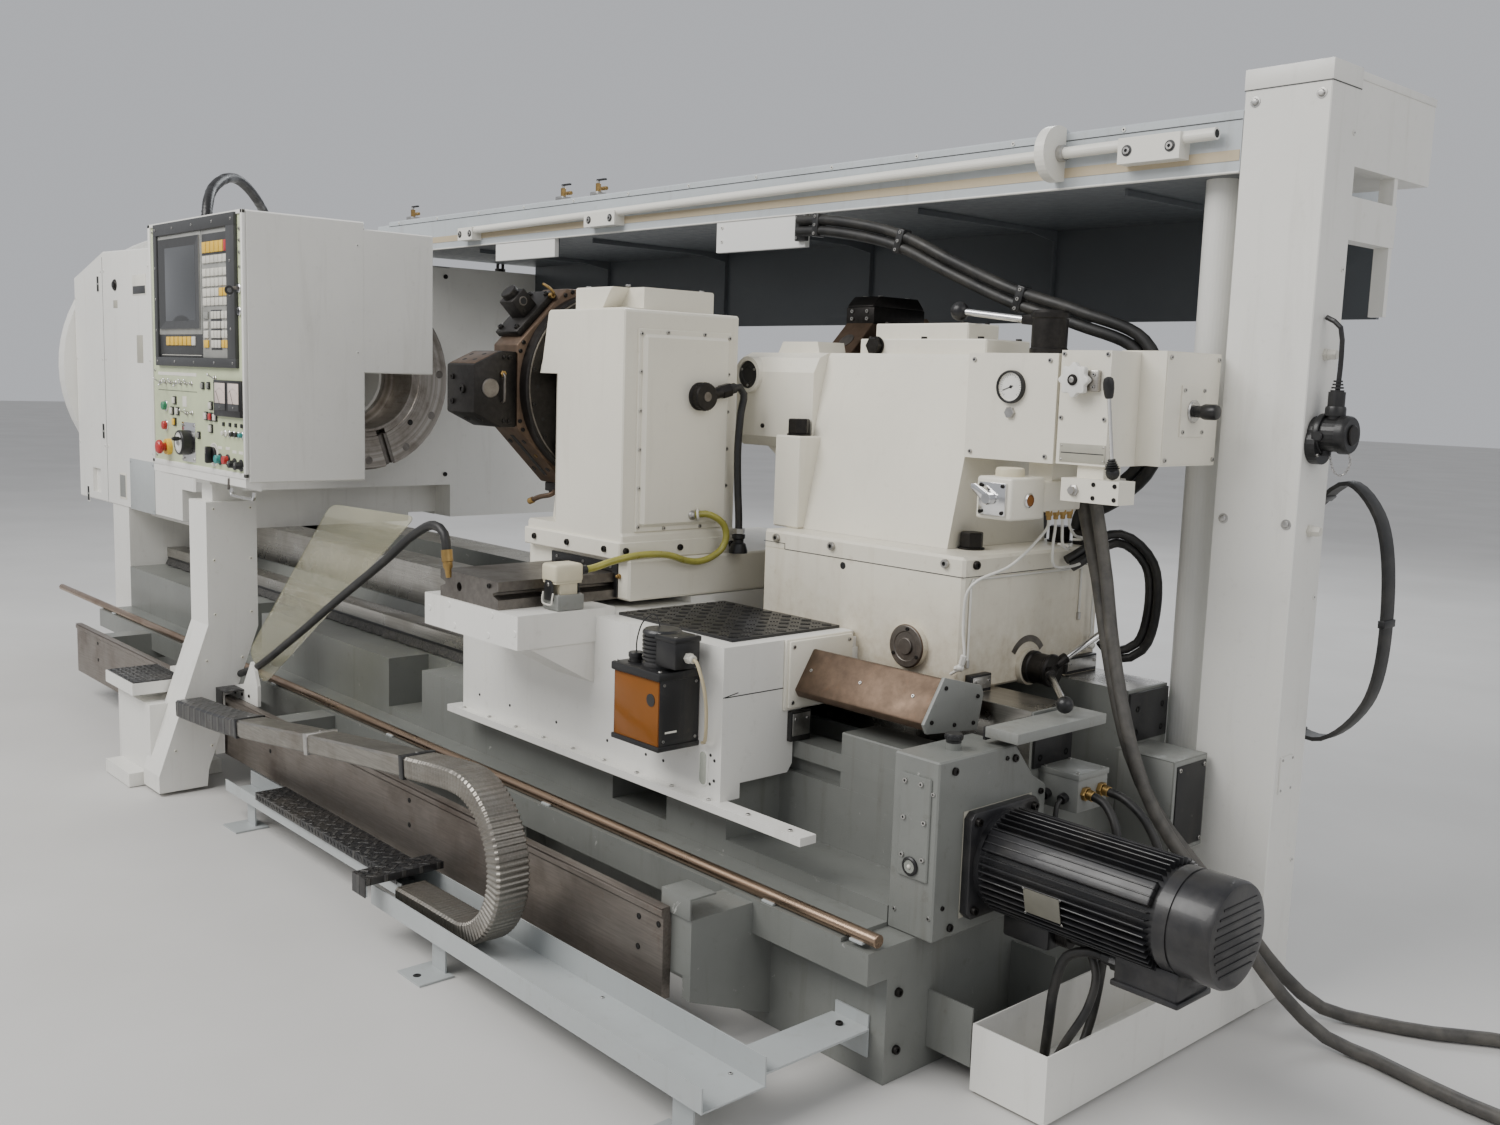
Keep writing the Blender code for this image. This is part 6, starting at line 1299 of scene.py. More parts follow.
# ------------------------------------------- connector on the carriage block
ch = Group("connector_body", "carriage")
ch.box(0.985, 1.045, -0.700, -0.630, 0.7355, 0.7700, GREY_LT, 0.003)
for x in (0.992, 1.038):
    for y in (-0.693, -0.637):
        ch.cap((x, y, 0.7698), (0, 0, 1), 0.0036, 0.002)
ch.box(0.992, 1.036, -0.688, -0.642, 0.768, 0.800, CREAMPL, 0.002)
ch.box(0.985, 1.043, -0.705, -0.630, 0.796, 0.838, CREAMPL, 0.008, 3)
ch.box(0.9885, 1.0395, -0.7015, -0.6335, 0.7940, 0.7985, CREAMPL, 0.001)
for y in (-0.7025, -0.6345):
    ch.prism([(0.999, 0.757), (1.029, 0.757), (1.031, 0.781), (1.026, 0.803), (1.002, 0.803), (0.997, 0.781)], 'y', y - 0.0022, y + 0.0022, BLKPL, 0.001)
    ch.rod((1.014, y - 0.0035, 0.792), (1.014, y + 0.0035, 0.792), 0.0042, ZINC, 18)
ch.tube([(0.9960, -0.7050, 0.775), (0.9960, -0.7080, 0.760), (0.9980, -0.7080, 0.751), (1.0320, -0.7080, 0.751), (1.0340, -0.7080, 0.760), (1.0340, -0.7050, 0.775)], 0.0020, WHITEK, 10, step=0.004)
ch.rod((1.016, -0.6310, 0.818), (1.016, -0.6180, 0.818), 0.0128, BLKPL, 6)
ch.rod((1.016, -0.6185, 0.818), (1.017, -0.6060, 0.8190), 0.0105, BLKPL, 26)
ch.done(30, "connector_box")
hf = Group("yellow_green_hose_end", "cross_slide")
hf.rod((1.0006, -0.306, 0.9265), (1.010, -0.306, 0.9265), 0.0140, ZINC, 6)
hf.lathe([(0.0086, 0), (0.0150, 0), (0.0150, 0.005), (0.0086, 0.005)], (1.0235, -0.2935, 0.9290), V((0.7, 0.65, 0.12)).normalized(), WHITEK, 30)
hf.ball((1.014, -0.303, 0.9275), 0.0120, ZINC, 20)
hf.done(30)
yg = [tuple(q) for q in smooth_path([(1.017, -0.6060, 0.8190), (1.018, -0.588, 0.8210), (1.026, -0.530, 0.8360), (1.034, -0.460, 0.8450), (1.036, -0.3879, 0.8399), (1.036, -0.335, 0.8240), (1.036, -0.296, 0.8190), (1.037, -0.2560, 0.8280),
                                       (1.040, -0.2260, 0.8480), (1.042, -0.2164, 0.8760), (1.042, -0.2240, 0.9020), (1.038, -0.2480, 0.9220), (1.031, -0.2744, 0.9310), (1.021, -0.2950, 0.9290), (1.016, -0.3020, 0.9280)], 0.012)]
yh = Group("yellow_green_hose", None)
yh.tube(yg, 0.0082, GREENHOSE, 18, smooth=False)
ygo = yh.done(40)
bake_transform(ygo)
round(sum((V(a) - V(b_)).length for a, b_ in zip(yg, yg[1:])), 3)

# ------------------------------------------------- carriage, tank, way cover
cg = Group("carriage_trim", "carriage")
for x, z in ((0.7626, 0.7212), (0.947, 0.7233), (0.6749, 0.7009), (0.7874, 0.6760), (0.9319, 0.6760), (1.038, 0.6959)):
    cg.rod((x, -0.8046, z), (x, -0.8060, z), 0.0066, RECESS_SHADE, 20, 0)
    cg.lathe([(0.0066, 0), (0.0080, 0), (0.0066, 0.0012)], (x, -0.8050, z), (0, -1, 0), WHITE, 20)
for x in (0.752, 0.928):
    cg.cap((x, -0.7998, 0.785), (0, -1, 0), 0.0055, 0.004, BLACKOX)
# dark rubber mat with its raised edge on the saddle
cg.box(1.0610, 1.4480, -0.5470, -0.2340, 0.7170, 0.7240, BLKPL, 0.0015)
# two bolted plates on the end of the saddle
cg.box(1.4852, 1.4910, -0.3740, -0.1900, 0.6010, 0.7050, WHITE, 0.0015)
cg.box(1.4908, 1.4970, -0.3570, -0.1780, 0.5720, 0.6830, WHITE, 0.0015)
for y, z in ((-0.3189, 0.6471), (-0.3161, 0.5954), (-0.205, 0.6471), (-0.205, 0.5954)):
    cg.cap((1.4970, y, z), (1, 0, 0), 0.0060, 0.0045)
# joint line across the end face, sight slot rim and small holes round it
cg.box(1.4845, 1.4854, -0.5950, -0.4300, 0.6145, 0.6165, RECESS_SHADE, 0)
cg.prism([(-0.5995, 0.6165), (-0.5600, 0.6230), (-0.5600, 0.6212), (-0.5995, 0.6148)], 'x', 1.4846, 1.4855, RECESS_SHADE, 0)
cg.prism([(1.4165 + 0.0145 + 0.0155 * math.cos(t), (0.484 if math.sin(t) > 0 else 0.436) + 0.0155 * math.sin(t)) for t in [math.tau * (k + 0.5) / 28 for k in range(28)]], 'y', -0.6022, -0.6005, WHITE, 0.0006)
cg.prism([(1.4165 + 0.0145 + 0.0105 * math.cos(t), (0.484 if math.sin(t) > 0 else 0.436) + 0.0105 * math.sin(t)) for t in [math.tau * (k + 0.5) / 28 for k in range(28)]], 'y', -0.6026, -0.6010, EYE, 0.0003)
for x, z in ((1.4525, 0.4915), (1.4650, 0.4825), (1.4525, 0.4312), (1.4650, 0.4406), (1.30, 0.445), (1.24, 0.445), (0.56, 0.445), (0.56, 0.68), (0.70, 0.445), (0.90, 0.445), (1.10, 0.445)):
    cg.rod((x, -0.6003, z), (x, -0.6013, z), 0.0034, RECESS_SHADE, 14, 0)
for x in (0.50, 0.62, 0.74, 0.86, 0.98, 1.10, 1.22, 1.34, 1.46, 1.58, 1.70):
    cg.cap((x, -0.609, 0.4003), (0, 0, 1), 0.0048, 0.0035)
# black wiper and its scoop at the right end
cg.box(1.4852, 1.4975, -0.4200, -0.3620, 0.500, 0.5650, RUBBER, 0.002)
cg.box(1.4970, 1.4995, -0.4160, -0.3660, 0.512, 0.5600, ZINC, 0.001)
for y in (-0.408, -0.374):
    cg.cap((1.4995, y, 0.548), (1, 0, 0), 0.0034, 0.002)
cg.done(30)

LX0, LX1, LY0, LY1, LZ0, LZ1 = 1.262, 1.412, -0.705, -0.6009, 0.512, 0.652
lt = Group("lube_tank_body", "carriage")
# open shell with real walls, oil inside
t = 0.0035
lt.box(LX0, LX1, LY0, LY1, LZ0, LZ0 + t, AMBER, 0.001)
lt.box(LX0, LX1, LY0, LY0 + t, LZ0, LZ1, AMBER, 0.0012)
lt.box(LX0, LX1, LY1 - t, LY1, LZ0, LZ1, AMBER, 0.0012)
lt.box(LX0, LX0 + t, LY0, LY1, LZ0, LZ1, AMBER, 0.0012)
lt.box(LX1 - t, LX1, LY0, LY1, LZ0, LZ1, AMBER, 0.0012)
lt.box(LX0 + t + 0.0003, LX1 - t - 0.0003, LY0 + t + 0.0003, LY1 - t - 0.0003, LZ0 + t, LZ0 + 0.098, OIL, 0.001)
lt.box(LX0 - 0.004, LX1 + 0.004, LY0 - 0.004, LY1, LZ0 - 0.008, LZ0 + 0.003, BLKPL, 0.002)
lt.box(LX0 - 0.006, LX1 + 0.006, LY0 - 0.006, LY1, LZ1 - 0.004, LZ1 + 0.014, BLACKP, 0.004)
for x in (LX0 + 0.004, LX1 - 0.004):
    for y in (LY0 + 0.004, LY1 - 0.010):
        lt.cap((x, y, LZ1 + 0.0138), (0, 0, 1), 0.0040, 0.003)
lt.lathe([(0, 0.0), (0.0410, 0.0), (0.0410, 0.010), (0.0385, 0.012)] + [q for k in range(7) for q in ((0.0365, 0.014 + 0.0085 * k), (0.0365, 0.0165 + 0.0085 * k), (0.0408, 0.0175 + 0.0085 * k), (0.0408, 0.0210 + 0.0085 * k))] + [(0.0395, 0.0745), (0.0360, 0.0780), (0, 0.0780)],
         (1.355, -0.655, LZ1 + 0.0130), (0, 0, 1), MOTOR, 56, close=False)
lt.box(1.3760, 1.4400, -0.690, -0.625, LZ1 + 0.022, LZ1 + 0.085, BLKPL, 0.004)
lt.box(1.3740, 1.4420, -0.692, -0.623, LZ1 + 0.0750, LZ1 + 0.0870, BLKPL, 0.003)
for x in (1.382, 1.434):
    for y in (-0.684, -0.631):
        lt.cap((x, y, LZ1 + 0.087), (0, 0, 1), 0.0032, 0.0014)
lt.lathe([(0, 0.0), (0.0175, 0.0), (0.0175, 0.004), (0.0150, 0.005), (0.0150, 0.011), (0.0165, 0.012), (0.0165, 0.0195), (0.0145, 0.0215), (0, 0.0220)], (1.292, -0.672, LZ1 + 0.0130), (0, 0, 1), BLKPL, 36, close=False)
lt.rod((1.4395, -0.658, LZ1 + 0.045), (1.4520, -0.658, LZ1 + 0.045), 0.0110, WHITEK, 6)
lt.rod((1.4515, -0.658, LZ1 + 0.045), (1.4600, -0.658, LZ1 + 0.0440), 0.0085, WHITEK, 24)
lt.lathe([(0, 0), (0.0130, 0), (0.0130, 0.0012), (0, 0.0012)], (1.3853, LY0 - 0.0001, 0.6065), (0, -1, 0), BLKPL, 32, close=False)
lt.tube([(1.292, -0.672, LZ1 + 0.034), (1.293, -0.672, LZ1 + 0.060), (1.305, -0.665, LZ1 + 0.100), (1.322, -0.650, LZ1 + 0.115), (1.335, -0.645, LZ1 + 0.0895)], 0.0014, BLKPL, 8, step=0.008)
lt.done(30, "lube_tank")
cable("lube_pump_cable", [(1.460, -0.658, 0.6960), (1.468, -0.658, 0.6930), (1.478, -0.655, 0.670), (1.482, -0.648, 0.640), (1.478, -0.638, 0.600), (1.470, -0.6300, 0.560), (1.462, -0.624, 0.535), (1.452, -0.618, 0.5205), (1.438, -0.612, 0.5160)], 0.0036, BEIGE, "carriage")

wv = Group("way_cover_body", "carriage")
wv.prism([(-0.363, 0.694), (-0.415, 0.612), (-0.405, 0.596), (-0.260, 0.583), (-0.2440, 0.649), (-0.252, 0.664)], 'x', 1.497, 1.850, BROWNST, 0.004)
wv.prism([(-0.364, 0.697), (-0.419, 0.612), (-0.408, 0.592), (-0.257, 0.579), (-0.2425, 0.650), (-0.250, 0.668)], 'x', 1.8485, 1.8565, GREY_LT, 0.0015)
wv.box(1.4853, 1.4925, -0.436, -0.2400, 0.5680, 0.7185, CREAM, 0.0025)
wv.box(1.4920, 1.4990, -0.430, -0.2430, 0.5735, 0.7150, CREAM, 0.003)
for y, z in ((-0.420, 0.585), (-0.420, 0.703), (-0.255, 0.703)):
    wv.cap((1.4990, y, z), (1, 0, 0), 0.0045, 0.0024)
for y, z in ((-0.398, 0.614), (-0.360, 0.676), (-0.272, 0.596), (-0.262, 0.648), (-0.330, 0.600)):
    wv.cap((1.8565, y, z), (1, 0, 0), 0.0042, 0.0030, BLACKOX)
for x in (1.52, 1.66, 1.80):
    wv.cap((x, -0.3885, 0.6535), V((0, -0.845, 0.535)).normalized(), 0.0036, 0.002)
wv.done(30, "way_cover")


# ---------------------------------------------------------------- tailstock
tg = Group("tailstock_trim", "tailstock")
tg.lathe([(0, 0), (0.0335, 0), (0.0335, 0.0035), (0.0310, 0.0050), (0.020, 0.0050), (0.0185, 0.0035), (0, 0.0035)], (0.978, -0.1002, 1.262), (0, -1, 0), BLACKP, 48, close=False)
for k in range(3):
    a = math.radians(30 + 120 * k)
    tg.cap((0.978 + 0.0255 * math.cos(a), -0.1050, 1.262 + 0.0255 * math.sin(a)), (0, -1, 0), 0.0030, 0.0018)


def bolt(g, p0, p1, r):
    """Dark hexagon bolt with a washer under it."""
    p0, p1 = V(p0), V(p1)
    d = (p1 - p0).normalized()
    g.rod(p0 + d * 0.0003, p0 + d * 0.0040, r * 1.28, BLACKOX, 36)
    g.rod(p0 + d * 0.0035, p1 + d * 0.0008, r * 1.17, BLACKOX, 6, 0.0022)


bolt(tg, (1.185, -0.125, 1.124), (1.185, -0.125, 1.162), 0.022)
bolt(tg, (1.325, -0.0202, 1.336), (1.325, -0.0400, 1.336), 0.017)
bolt(tg, (1.683, -0.089, 0.9096), (1.683, -0.089, 0.945), 0.022)
bolt(tg, (1.691, 0.215, 0.9096), (1.691, 0.215, 0.945), 0.022)
tg.cap((1.4066, -0.2258, 0.8930), (0, -1, 0), 0.0095, 0.0075)
tg.cap((1.4420, -0.2258, 0.8540), (0, -1, 0), 0.0080, 0.0010, RECESS_SHADE, False)
tg.cap((1.2300, -0.2258, 0.8930), (0, -1, 0), 0.0095, 0.0075)
tg.cap((1.7300, -0.2258, 0.8930), (0, -1, 0), 0.0095, 0.0075)
for y in (-0.19, 0.21):
    tg.cap((1.7780, y, 0.893), (1, 0, 0), 0.0090, 0.007, BLACKOX)
# collar on the base: browned rings, dark middle and a boss
tg.lathe([(0.0305, 0.0), (0.0445, 0.0), (0.0460, 0.0015), (0.0445, 0.0030), (0.0380, 0.0030), (0.0365, 0.0015), (0.0330, 0.0015), (0.0320, 0.0030), (0.0300, 0.0030), (0.0300, -0.008)],
         (1.648, -0.2398, 0.711), (0, -1, 0), BROWNST, 56)
tg.lathe([(0, 0), (0.0298, 0), (0.0298, 0.0010), (0.0150, 0.0018), (0.0140, 0.0070), (0.0105, 0.0095), (0, 0.0095)], (1.648, -0.2250, 0.711), (0, -1, 0), BLACKP, 44, close=False)
tg.lathe([(0, 0.0002), (0.0295, 0.0002), (0.0295, 0.0010), (0, 0.0010)], (1.648, -0.2398, 0.711), (0, -1, 0), RECESS_SHADE, 44, close=False)
tg.lathe([(0.0300, 0.0), (0.0440, 0.0), (0.0440, 0.0032), (0.0425, 0.0046), (0.0315, 0.0046), (0.0300, 0.0032)], (1.648, -0.2398, 0.711), (0, -1, 0), STEEL_D, 56)
tg.lathe([(0.0125, 0.0008), (0.0180, 0.0008), (0.0180, 0.0060), (0.0165, 0.0075), (0.0125, 0.0075)], (1.648, -0.2398, 0.711), (0, -1, 0), STEEL_D, 40)
tg.lathe([(0, 0.0008), (0.0070, 0.0008), (0.0070, 0.0050), (0.0050, 0.0065), (0, 0.0065)], (1.648, -0.2398, 0.711), (0, -1, 0), BROWNST, 28, close=False)
for q0, q1, q2, q3 in (((1.7970, -0.2360, 0.7160), (1.7925, -0.2370, 0.6970), (1.7895, -0.2372, 0.6895), (1.7770, -0.2360, 0.6850)),
                       ((1.7966, 0.2056, 0.7150), (1.7990, 0.2052, 0.6980), (1.8000, 0.2050, 0.6900), (1.7775, 0.2050, 0.6880))):
    tg.rod(q0, q1, 0.0064, WHITETUBE, 6, 0.0008)
    tg.rod(q1, q2, 0.0052, WHITETUBE, 20)
    tg.ball(q2, 0.0080, WHITETUBE)
    tg.rod(q2, q3, 0.0066, WHITETUBE, 6, 0.0008)
for x, z in ((1.6520, 0.7478), (1.6165, 0.6925), (1.6795, 0.6925)):
    tg.cap((x, -0.2444, z), (0, -1, 0), 0.0040, 0.0022, BLACKOX)
for y0, y1 in ((-0.2062, -0.1408), (0.1198, 0.2352)):
    tg.box(1.7782, 1.7950, y0, y1, 0.6322, 0.6690, BLACKP, 0.0015)
    tg.box(1.7948, 1.7975, y0 + 0.004, y1 - 0.004, 0.640, 0.6650, ZINC, 0.0006)
    for y in (y0 + 0.012, y1 - 0.012):
        tg.cap((1.7975, y, 0.655), (1, 0, 0), 0.0035, 0.0022)
# screws of the cast top blocks, gland of the hoses, eye bolt
for x in (1.295, 1.455, 1.615):
    for y in (-0.008, 0.125):
        tg.cap((x, y, 1.3518), (0, 0, 1), 0.0070, 0.0055, BLACKOX)
for x in (1.31, 1.535):
    for y in (0.028, 0.112):
        tg.cap((x, y, 1.3878), (0, 0, 1), 0.0055, 0.0045, BLACKOX)
tg.rod((1.22, 0.06, 1.3178), (1.22, 0.06, 1.330), 0.014, BLACKOX, 6)
tg.box(1.735, 1.760, 0.200, 0.2480, 0.9098, 0.9420, BLACKOX, 0.002)
for x in (0.945, 1.03):
    tg.cap((x, -0.0978, 1.14), (0, -1, 0), 0.0055, 0.004, BLACKOX)
tg.done(30)

tj = Group("tailstock_joint", "tailstock")
tj.box(1.2560, 1.7784, -0.2266, -0.2255, 0.8688, 0.8702, BEZEL, 0)
tj.box(1.2560, 1.2574, -0.2266, -0.2255, 0.8688, 0.8830, BEZEL, 0)
tj.box(1.1870, 1.2574, -0.2266, -0.2255, 0.8816, 0.8830, BEZEL, 0)
tj.box(1.7776, 1.7786, -0.2262, 0.2500, 0.8688, 0.8702, BEZEL, 0)
for y in (-0.2050, 0.1750):
    tj.tube([(1.7812, y, 0.8640), (1.7812, y, 0.7600)] if y > 0 else [(1.7812, -0.1500, 0.8640), (1.7812, y + 0.006, 0.8640), (1.7812, y, 0.8560), (1.7812, y, 0.6950)], 0.0026, WHITETUBE, 10, smooth=False)
    tj.rod((1.7812, y, 0.700 if y < 0 else 0.765), (1.7812, y, 0.684 if y < 0 else 0.749), 0.0052, ZINC, 6)
tj.tube([(1.7812, -0.1500, 0.8640), (1.7812, 0.1750, 0.8640)], 0.0026, WHITETUBE, 10, smooth=False)
# curved scale over the hub of the lever
for k in range(14):
    a0, a1 = math.radians(35 + 8 * k), math.radians(35 + 8 * (k + 1))
    tj.prism([(0.052 * math.cos(a0), 0.665 + 0.052 * math.sin(a0)), (0.052 * math.cos(a1), 0.665 + 0.052 * math.sin(a1)),
              (0.066 * math.cos(a1), 0.665 + 0.066 * math.sin(a1)), (0.066 * math.cos(a0), 0.665 + 0.066 * math.sin(a0))], 'x', 1.7778, 1.7792, STEEL_D, 0)
tj.done(30)

cl = Group("clamp_lever_body", "clamp_lever")
cl.lathe([(0, 0.0002), (0.0400, 0.0002), (0.0400, 0.012), (0.0375, 0.0145), (0.0375, 0.074), (0.0400, 0.0765), (0.0400, 0.086), (0.0365, 0.0917), (0.0180, 0.0917), (0.0165, 0.0895), (0, 0.0895)],
         (1.765, 0.03, 1.3203), (0, 0, 1), BLACKOX, 56, close=False)
cl.rod((1.765, 0.03, 1.4095), (1.765, 0.03, 1.4120), 0.0125, ZINC, 6)
cl.prism([(1.700, 1.384), (1.735, 1.381), (1.765, 1.382), (1.765, 1.404), (1.735, 1.405), (1.700, 1.403)], 'y', 0.016, 0.044, BLACKOX, 0.0025)
cl.tube([(1.712, 0.03, 1.393), (1.535, 0.03, 1.413)], 0.0076, CHROME, 24, smooth=False)
cl.ball((1.522, 0.03, 1.4145), 0.0209, BLKPL, 30)
cl.done(30, "clamp_lever")

rl = Group("rack_lever_body", "rack_lever")
rl.lathe([(0, 0.0003), (0.0350, 0.0003), (0.0350, 0.010), (0.0320, 0.013), (0.0320, 0.046), (0.0350, 0.0490), (0.0350, 0.0540), (0.0320, 0.0577), (0.0140, 0.0577), (0.0125, 0.0560), (0, 0.0560)],
         (1.7903, 0, 0.665), (1, 0, 0), BLACKOX, 48, close=False)
h0 = V((1.833, 0, 0.665))
for q, a_ in (((2.0094, -0.1885, 0.6505), 0), ((1.883, 0.130, 0.745), 1)):
    q = V(q)
    d = (q - h0).normalized()
    rl.rod(h0 + d * 0.020, h0 + d * 0.050, 0.0115, BLACKOX, 24)
    rl.tube([h0 + d * 0.045, q], 0.0072, CHROME, 20, smooth=False)
    rl.ball(q, 0.0168, BLKPL, 26)
rl.done(30, "rack_lever")


def two_hoses(base, path, node_name, body, r, off, mat, blend_=None, ref=(0, 1, 0)):
    P = [V(q) for q in smooth_path(path, 0.022)]
    out = []
    for j, sgn in enumerate((1, -1)):
        line = []
        for i, q in enumerate(P):
            t_ = (P[min(i + 1, len(P) - 1)] - P[max(i - 1, 0)]).normalized()
            n_ = t_.cross(V(ref)).normalized()
            line.append(tuple(q + n_ * off * sgn))
        g = Group("%s_%d" % (base, j + 1), None if blend_ else body)
        g.tube(line, r, mat, 18, smooth=False)
        ob = g.done(40, *([node_name] if j == 0 else []))
        if blend_:
            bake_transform(ob)
        L = sum((V(a) - V(b_)).length for a, b_ in zip(line, line[1:]))
        out.append(line)
    return P, out


oh = [(0.826, 0.197, 1.656), (0.95, 0.188, 1.648), (1.178, 0.186, 1.603), (1.37, 0.184, 1.525), (1.549, 0.182, 1.456), (1.72, 0.200, 1.405), (1.850, 0.238, 1.350), (1.895, 0.245, 1.25),
      (1.880, 0.250, 1.10), (1.800, 0.248, 1.02), (1.752, 0.225, 0.985), (1.745, 0.218, 0.940)]
BL_ = ("frame", "tailstock", (0.95, 0.19, 1.50), (1.60, 0.19, 1.50))
P_, two = two_hoses("overhead_hose_run", oh, "overhead_hose", "tailstock", 0.0132, 0.0138, RUBBER, BL_)
oc_ = Group("overhead_hose_ties", None)
for xt, zt in ((0.905, 1.65), (1.205, 1.59), (1.572, 1.45), (1.893, 1.20)):
    i = min(range(1, len(P_) - 1), key=lambda k: (P_[k].x - xt) ** 2 + (P_[k].z - zt) ** 2)
    q = P_[i]
    t_ = (P_[i + 1] - P_[i - 1]).normalized()
    n_ = t_.cross(V((0, 1, 0))).normalized()
    m_ = t_.cross(n_).normalized()
    mw = Matrix.Translation(q) @ Matrix((n_, m_, t_)).transposed().to_4x4()
    oc_.box(-0.0300, 0.0300, -0.0152, 0.0152, -0.0110, 0.0110, BLKPL, 0.003, mw=mw)
    for a_ in (-0.0215, 0.0, 0.0215):
        oc_.cap(mw @ V((a_, 0.0152, 0)), mw.to_3x3() @ V((0, 1, 0)), 0.0042, 0.0026, ZINC)
        oc_.cap(mw @ V((a_, -0.0152, 0)), mw.to_3x3() @ V((0, -1, 0)), 0.0042, 0.0026, ZINC)
oco = oc_.done(30)
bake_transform(oco)
lp = [(1.800, 0.10, 0.88), (1.855, 0.20, 0.935), (1.895, 0.262, 0.880), (1.895, 0.285, 0.770), (1.870, 0.285, 0.690), (1.830, 0.262, 0.668), (1.810, 0.235, 0.700)]
two_hoses("rear_loop_hose", lp, "rear_loop", "tailstock", 0.0098, 0.0103, RUBBER)

# flat band with a hose inside it, looped at the back of the column
hp = [(2.18, 0.385, 1.02), (2.26, 0.390, 1.085), (2.32, 0.41, 1.02), (2.345, 0.43, 0.82), (2.325, 0.42, 0.63), (2.25, 0.395, 0.545), (2.16, 0.385, 0.56)]
H_ = [V(q) for q in smooth_path(hp, 0.02)]
hb = Group("column_hoop_band", "frame")
rings = []
for i, q in enumerate(H_):
    t_ = (H_[min(i + 1, len(H_) - 1)] - H_[max(i - 1, 0)]).normalized()
    b_ = V((0, 1, 0))
    n_ = t_.cross(b_).normalized()
    b_ = n_.cross(t_).normalized()
    rings.append((q - n_ * 0.004, n_, b_))
sec = [(-0.0045, -0.023), (0.0030, -0.0235), (0.0045, -0.021), (0.0045, 0.021), (0.0030, 0.0235), (-0.0045, 0.023)]
bm = bmesh.new()
vr = [[bm.verts.new(q + n_ * u + b_ * w_) for u, w_ in sec] for q, n_, b_ in rings]
for a_, c_ in zip(vr, vr[1:]):
    for k in range(len(sec)):
        j = (k + 1) % len(sec)
        bm.faces.new((a_[k], a_[j], c_[j], c_[k]))
bm.faces.new(vr[0])
bm.faces.new(vr[-1])
bmesh.ops.recalc_face_normals(bm, faces=bm.faces)
hb.push(bm, RUBBER)
hbo = hb.done(40, "column_hoop")
bl_ = [tuple(q) for q, n_, b_ in rings]
round(sum((V(a) - V(c_)).length for a, c_ in zip(bl_, bl_[1:])), 3)
hk = Group("column_hoop_clamps", "frame")
for i in (2, len(H_) // 2, len(H_) - 3):
    q, n_, b_ = rings[i]
    t_ = n_.cross(b_).normalized()
    mw = Matrix.Translation(q) @ Matrix((n_, b_, t_)).transposed().to_4x4()
    hk.box(-0.0075, 0.0075, -0.0255, 0.0255, -0.008, 0.008, BLKPL, 0.002, mw=mw)
hk.done(30)

# conduit from the pendant over to the headstock, with fine ribs
pc = [(-.760, -.760, 1.6545), (-.770, -.755, 1.700), (-.83, -.72, 1.765), (-.98, -.62, 1.830), (-1.20, -.48, 1.860), (-1.42, -.33, 1.830), (-1.575, -.22, 1.765), (-1.625, -.182, 1.715), (-1.632, -.178, 1.6665)]
pl = [tuple(q) for q in smooth_path(pc, 0.006)]
# in two lengths, because it crosses two joints: one starts at the pendant, the other reaches the headstock
kc = 2 * (min(range(len(pl)), key=lambda i: abs(pl[i][0] + 0.98)) // 2)
for nm_, ln_, bl2, swap_ in (("pendant_conduit_run", pl[kc:][::-1], ("frame", "pedestal", (-1.60, -0.20, 1.75), (-1.00, -0.607, 1.75)), ("pendant_conduit",)),
                             ("pendant_conduit_end", pl[:kc + 1], ("pendant", "pedestal", (-0.762, -0.758, 1.680), (-0.970, -0.627, 1.828)), ())):
    pg = Group(nm_, None)
    pg.tube(ln_, 0.0165, BLKPL, 20, smooth=False, rfun=lambda u: 0.0155 + 0.0012 * math.cos(math.tau * u / 0.012))
    pgo = pg.done(60, *swap_)
    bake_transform(pgo)
    round(sum((V(a) - V(c_)).length for a, c_ in zip(ln_, ln_[1:])), 3)
pb_ = Group("pendant_conduit_glands", "pendant")
pb_.lathe([(0.0172, 0), (0.0235, 0), (0.0235, 0.012), (0.0205, 0.016), (0.0205, 0.026), (0.0172, 0.026)], (-0.760, -0.760, 1.6510), (0, 0, 1), ZINC, 6)
pb_.done(30)
pb_ = Group("headstock_conduit_gland", "frame")
pb_.lathe([(0.0172, 0), (0.0235, 0), (0.0235, 0.012), (0.0205, 0.016), (0.0205, 0.026), (0.0172, 0.026)], (-1.632, -0.178, 1.6610), (0, 0, 1), ZINC, 6)
pb_.done(30)

# ------------------------------------- ribbed metal conduit of the pedestal
cu_pts = [(-0.440, -0.925, 0.262), (-0.10, -0.935, 0.285), (0.40, -0.947, 0.345), (0.88, -0.955, 0.400)]
bend_c, bend_r = (1.105, 0.262), 0.158
for i in range(13):
    t = math.radians(92 - 187 * i / 12)
    cu_pts.append((bend_c[0] + bend_r * math.cos(t), -0.957, bend_c[1] + bend_r * math.sin(t)))
cu_pts += [(0.98, -0.955, 0.104), (0.87, -0.950, 0.102)]
full = smooth_path(cu_pts, 0.0029)
acc, marks = 0.0, []
for i, q in enumerate(full):
    if i:
        acc += (q - full[i - 1]).length
    marks.append(acc)
i_sleeve = min(range(len(full)), key=lambda i: abs(full[i].x - 0.976) + (10 if marks[i] > 1.6 else 0))


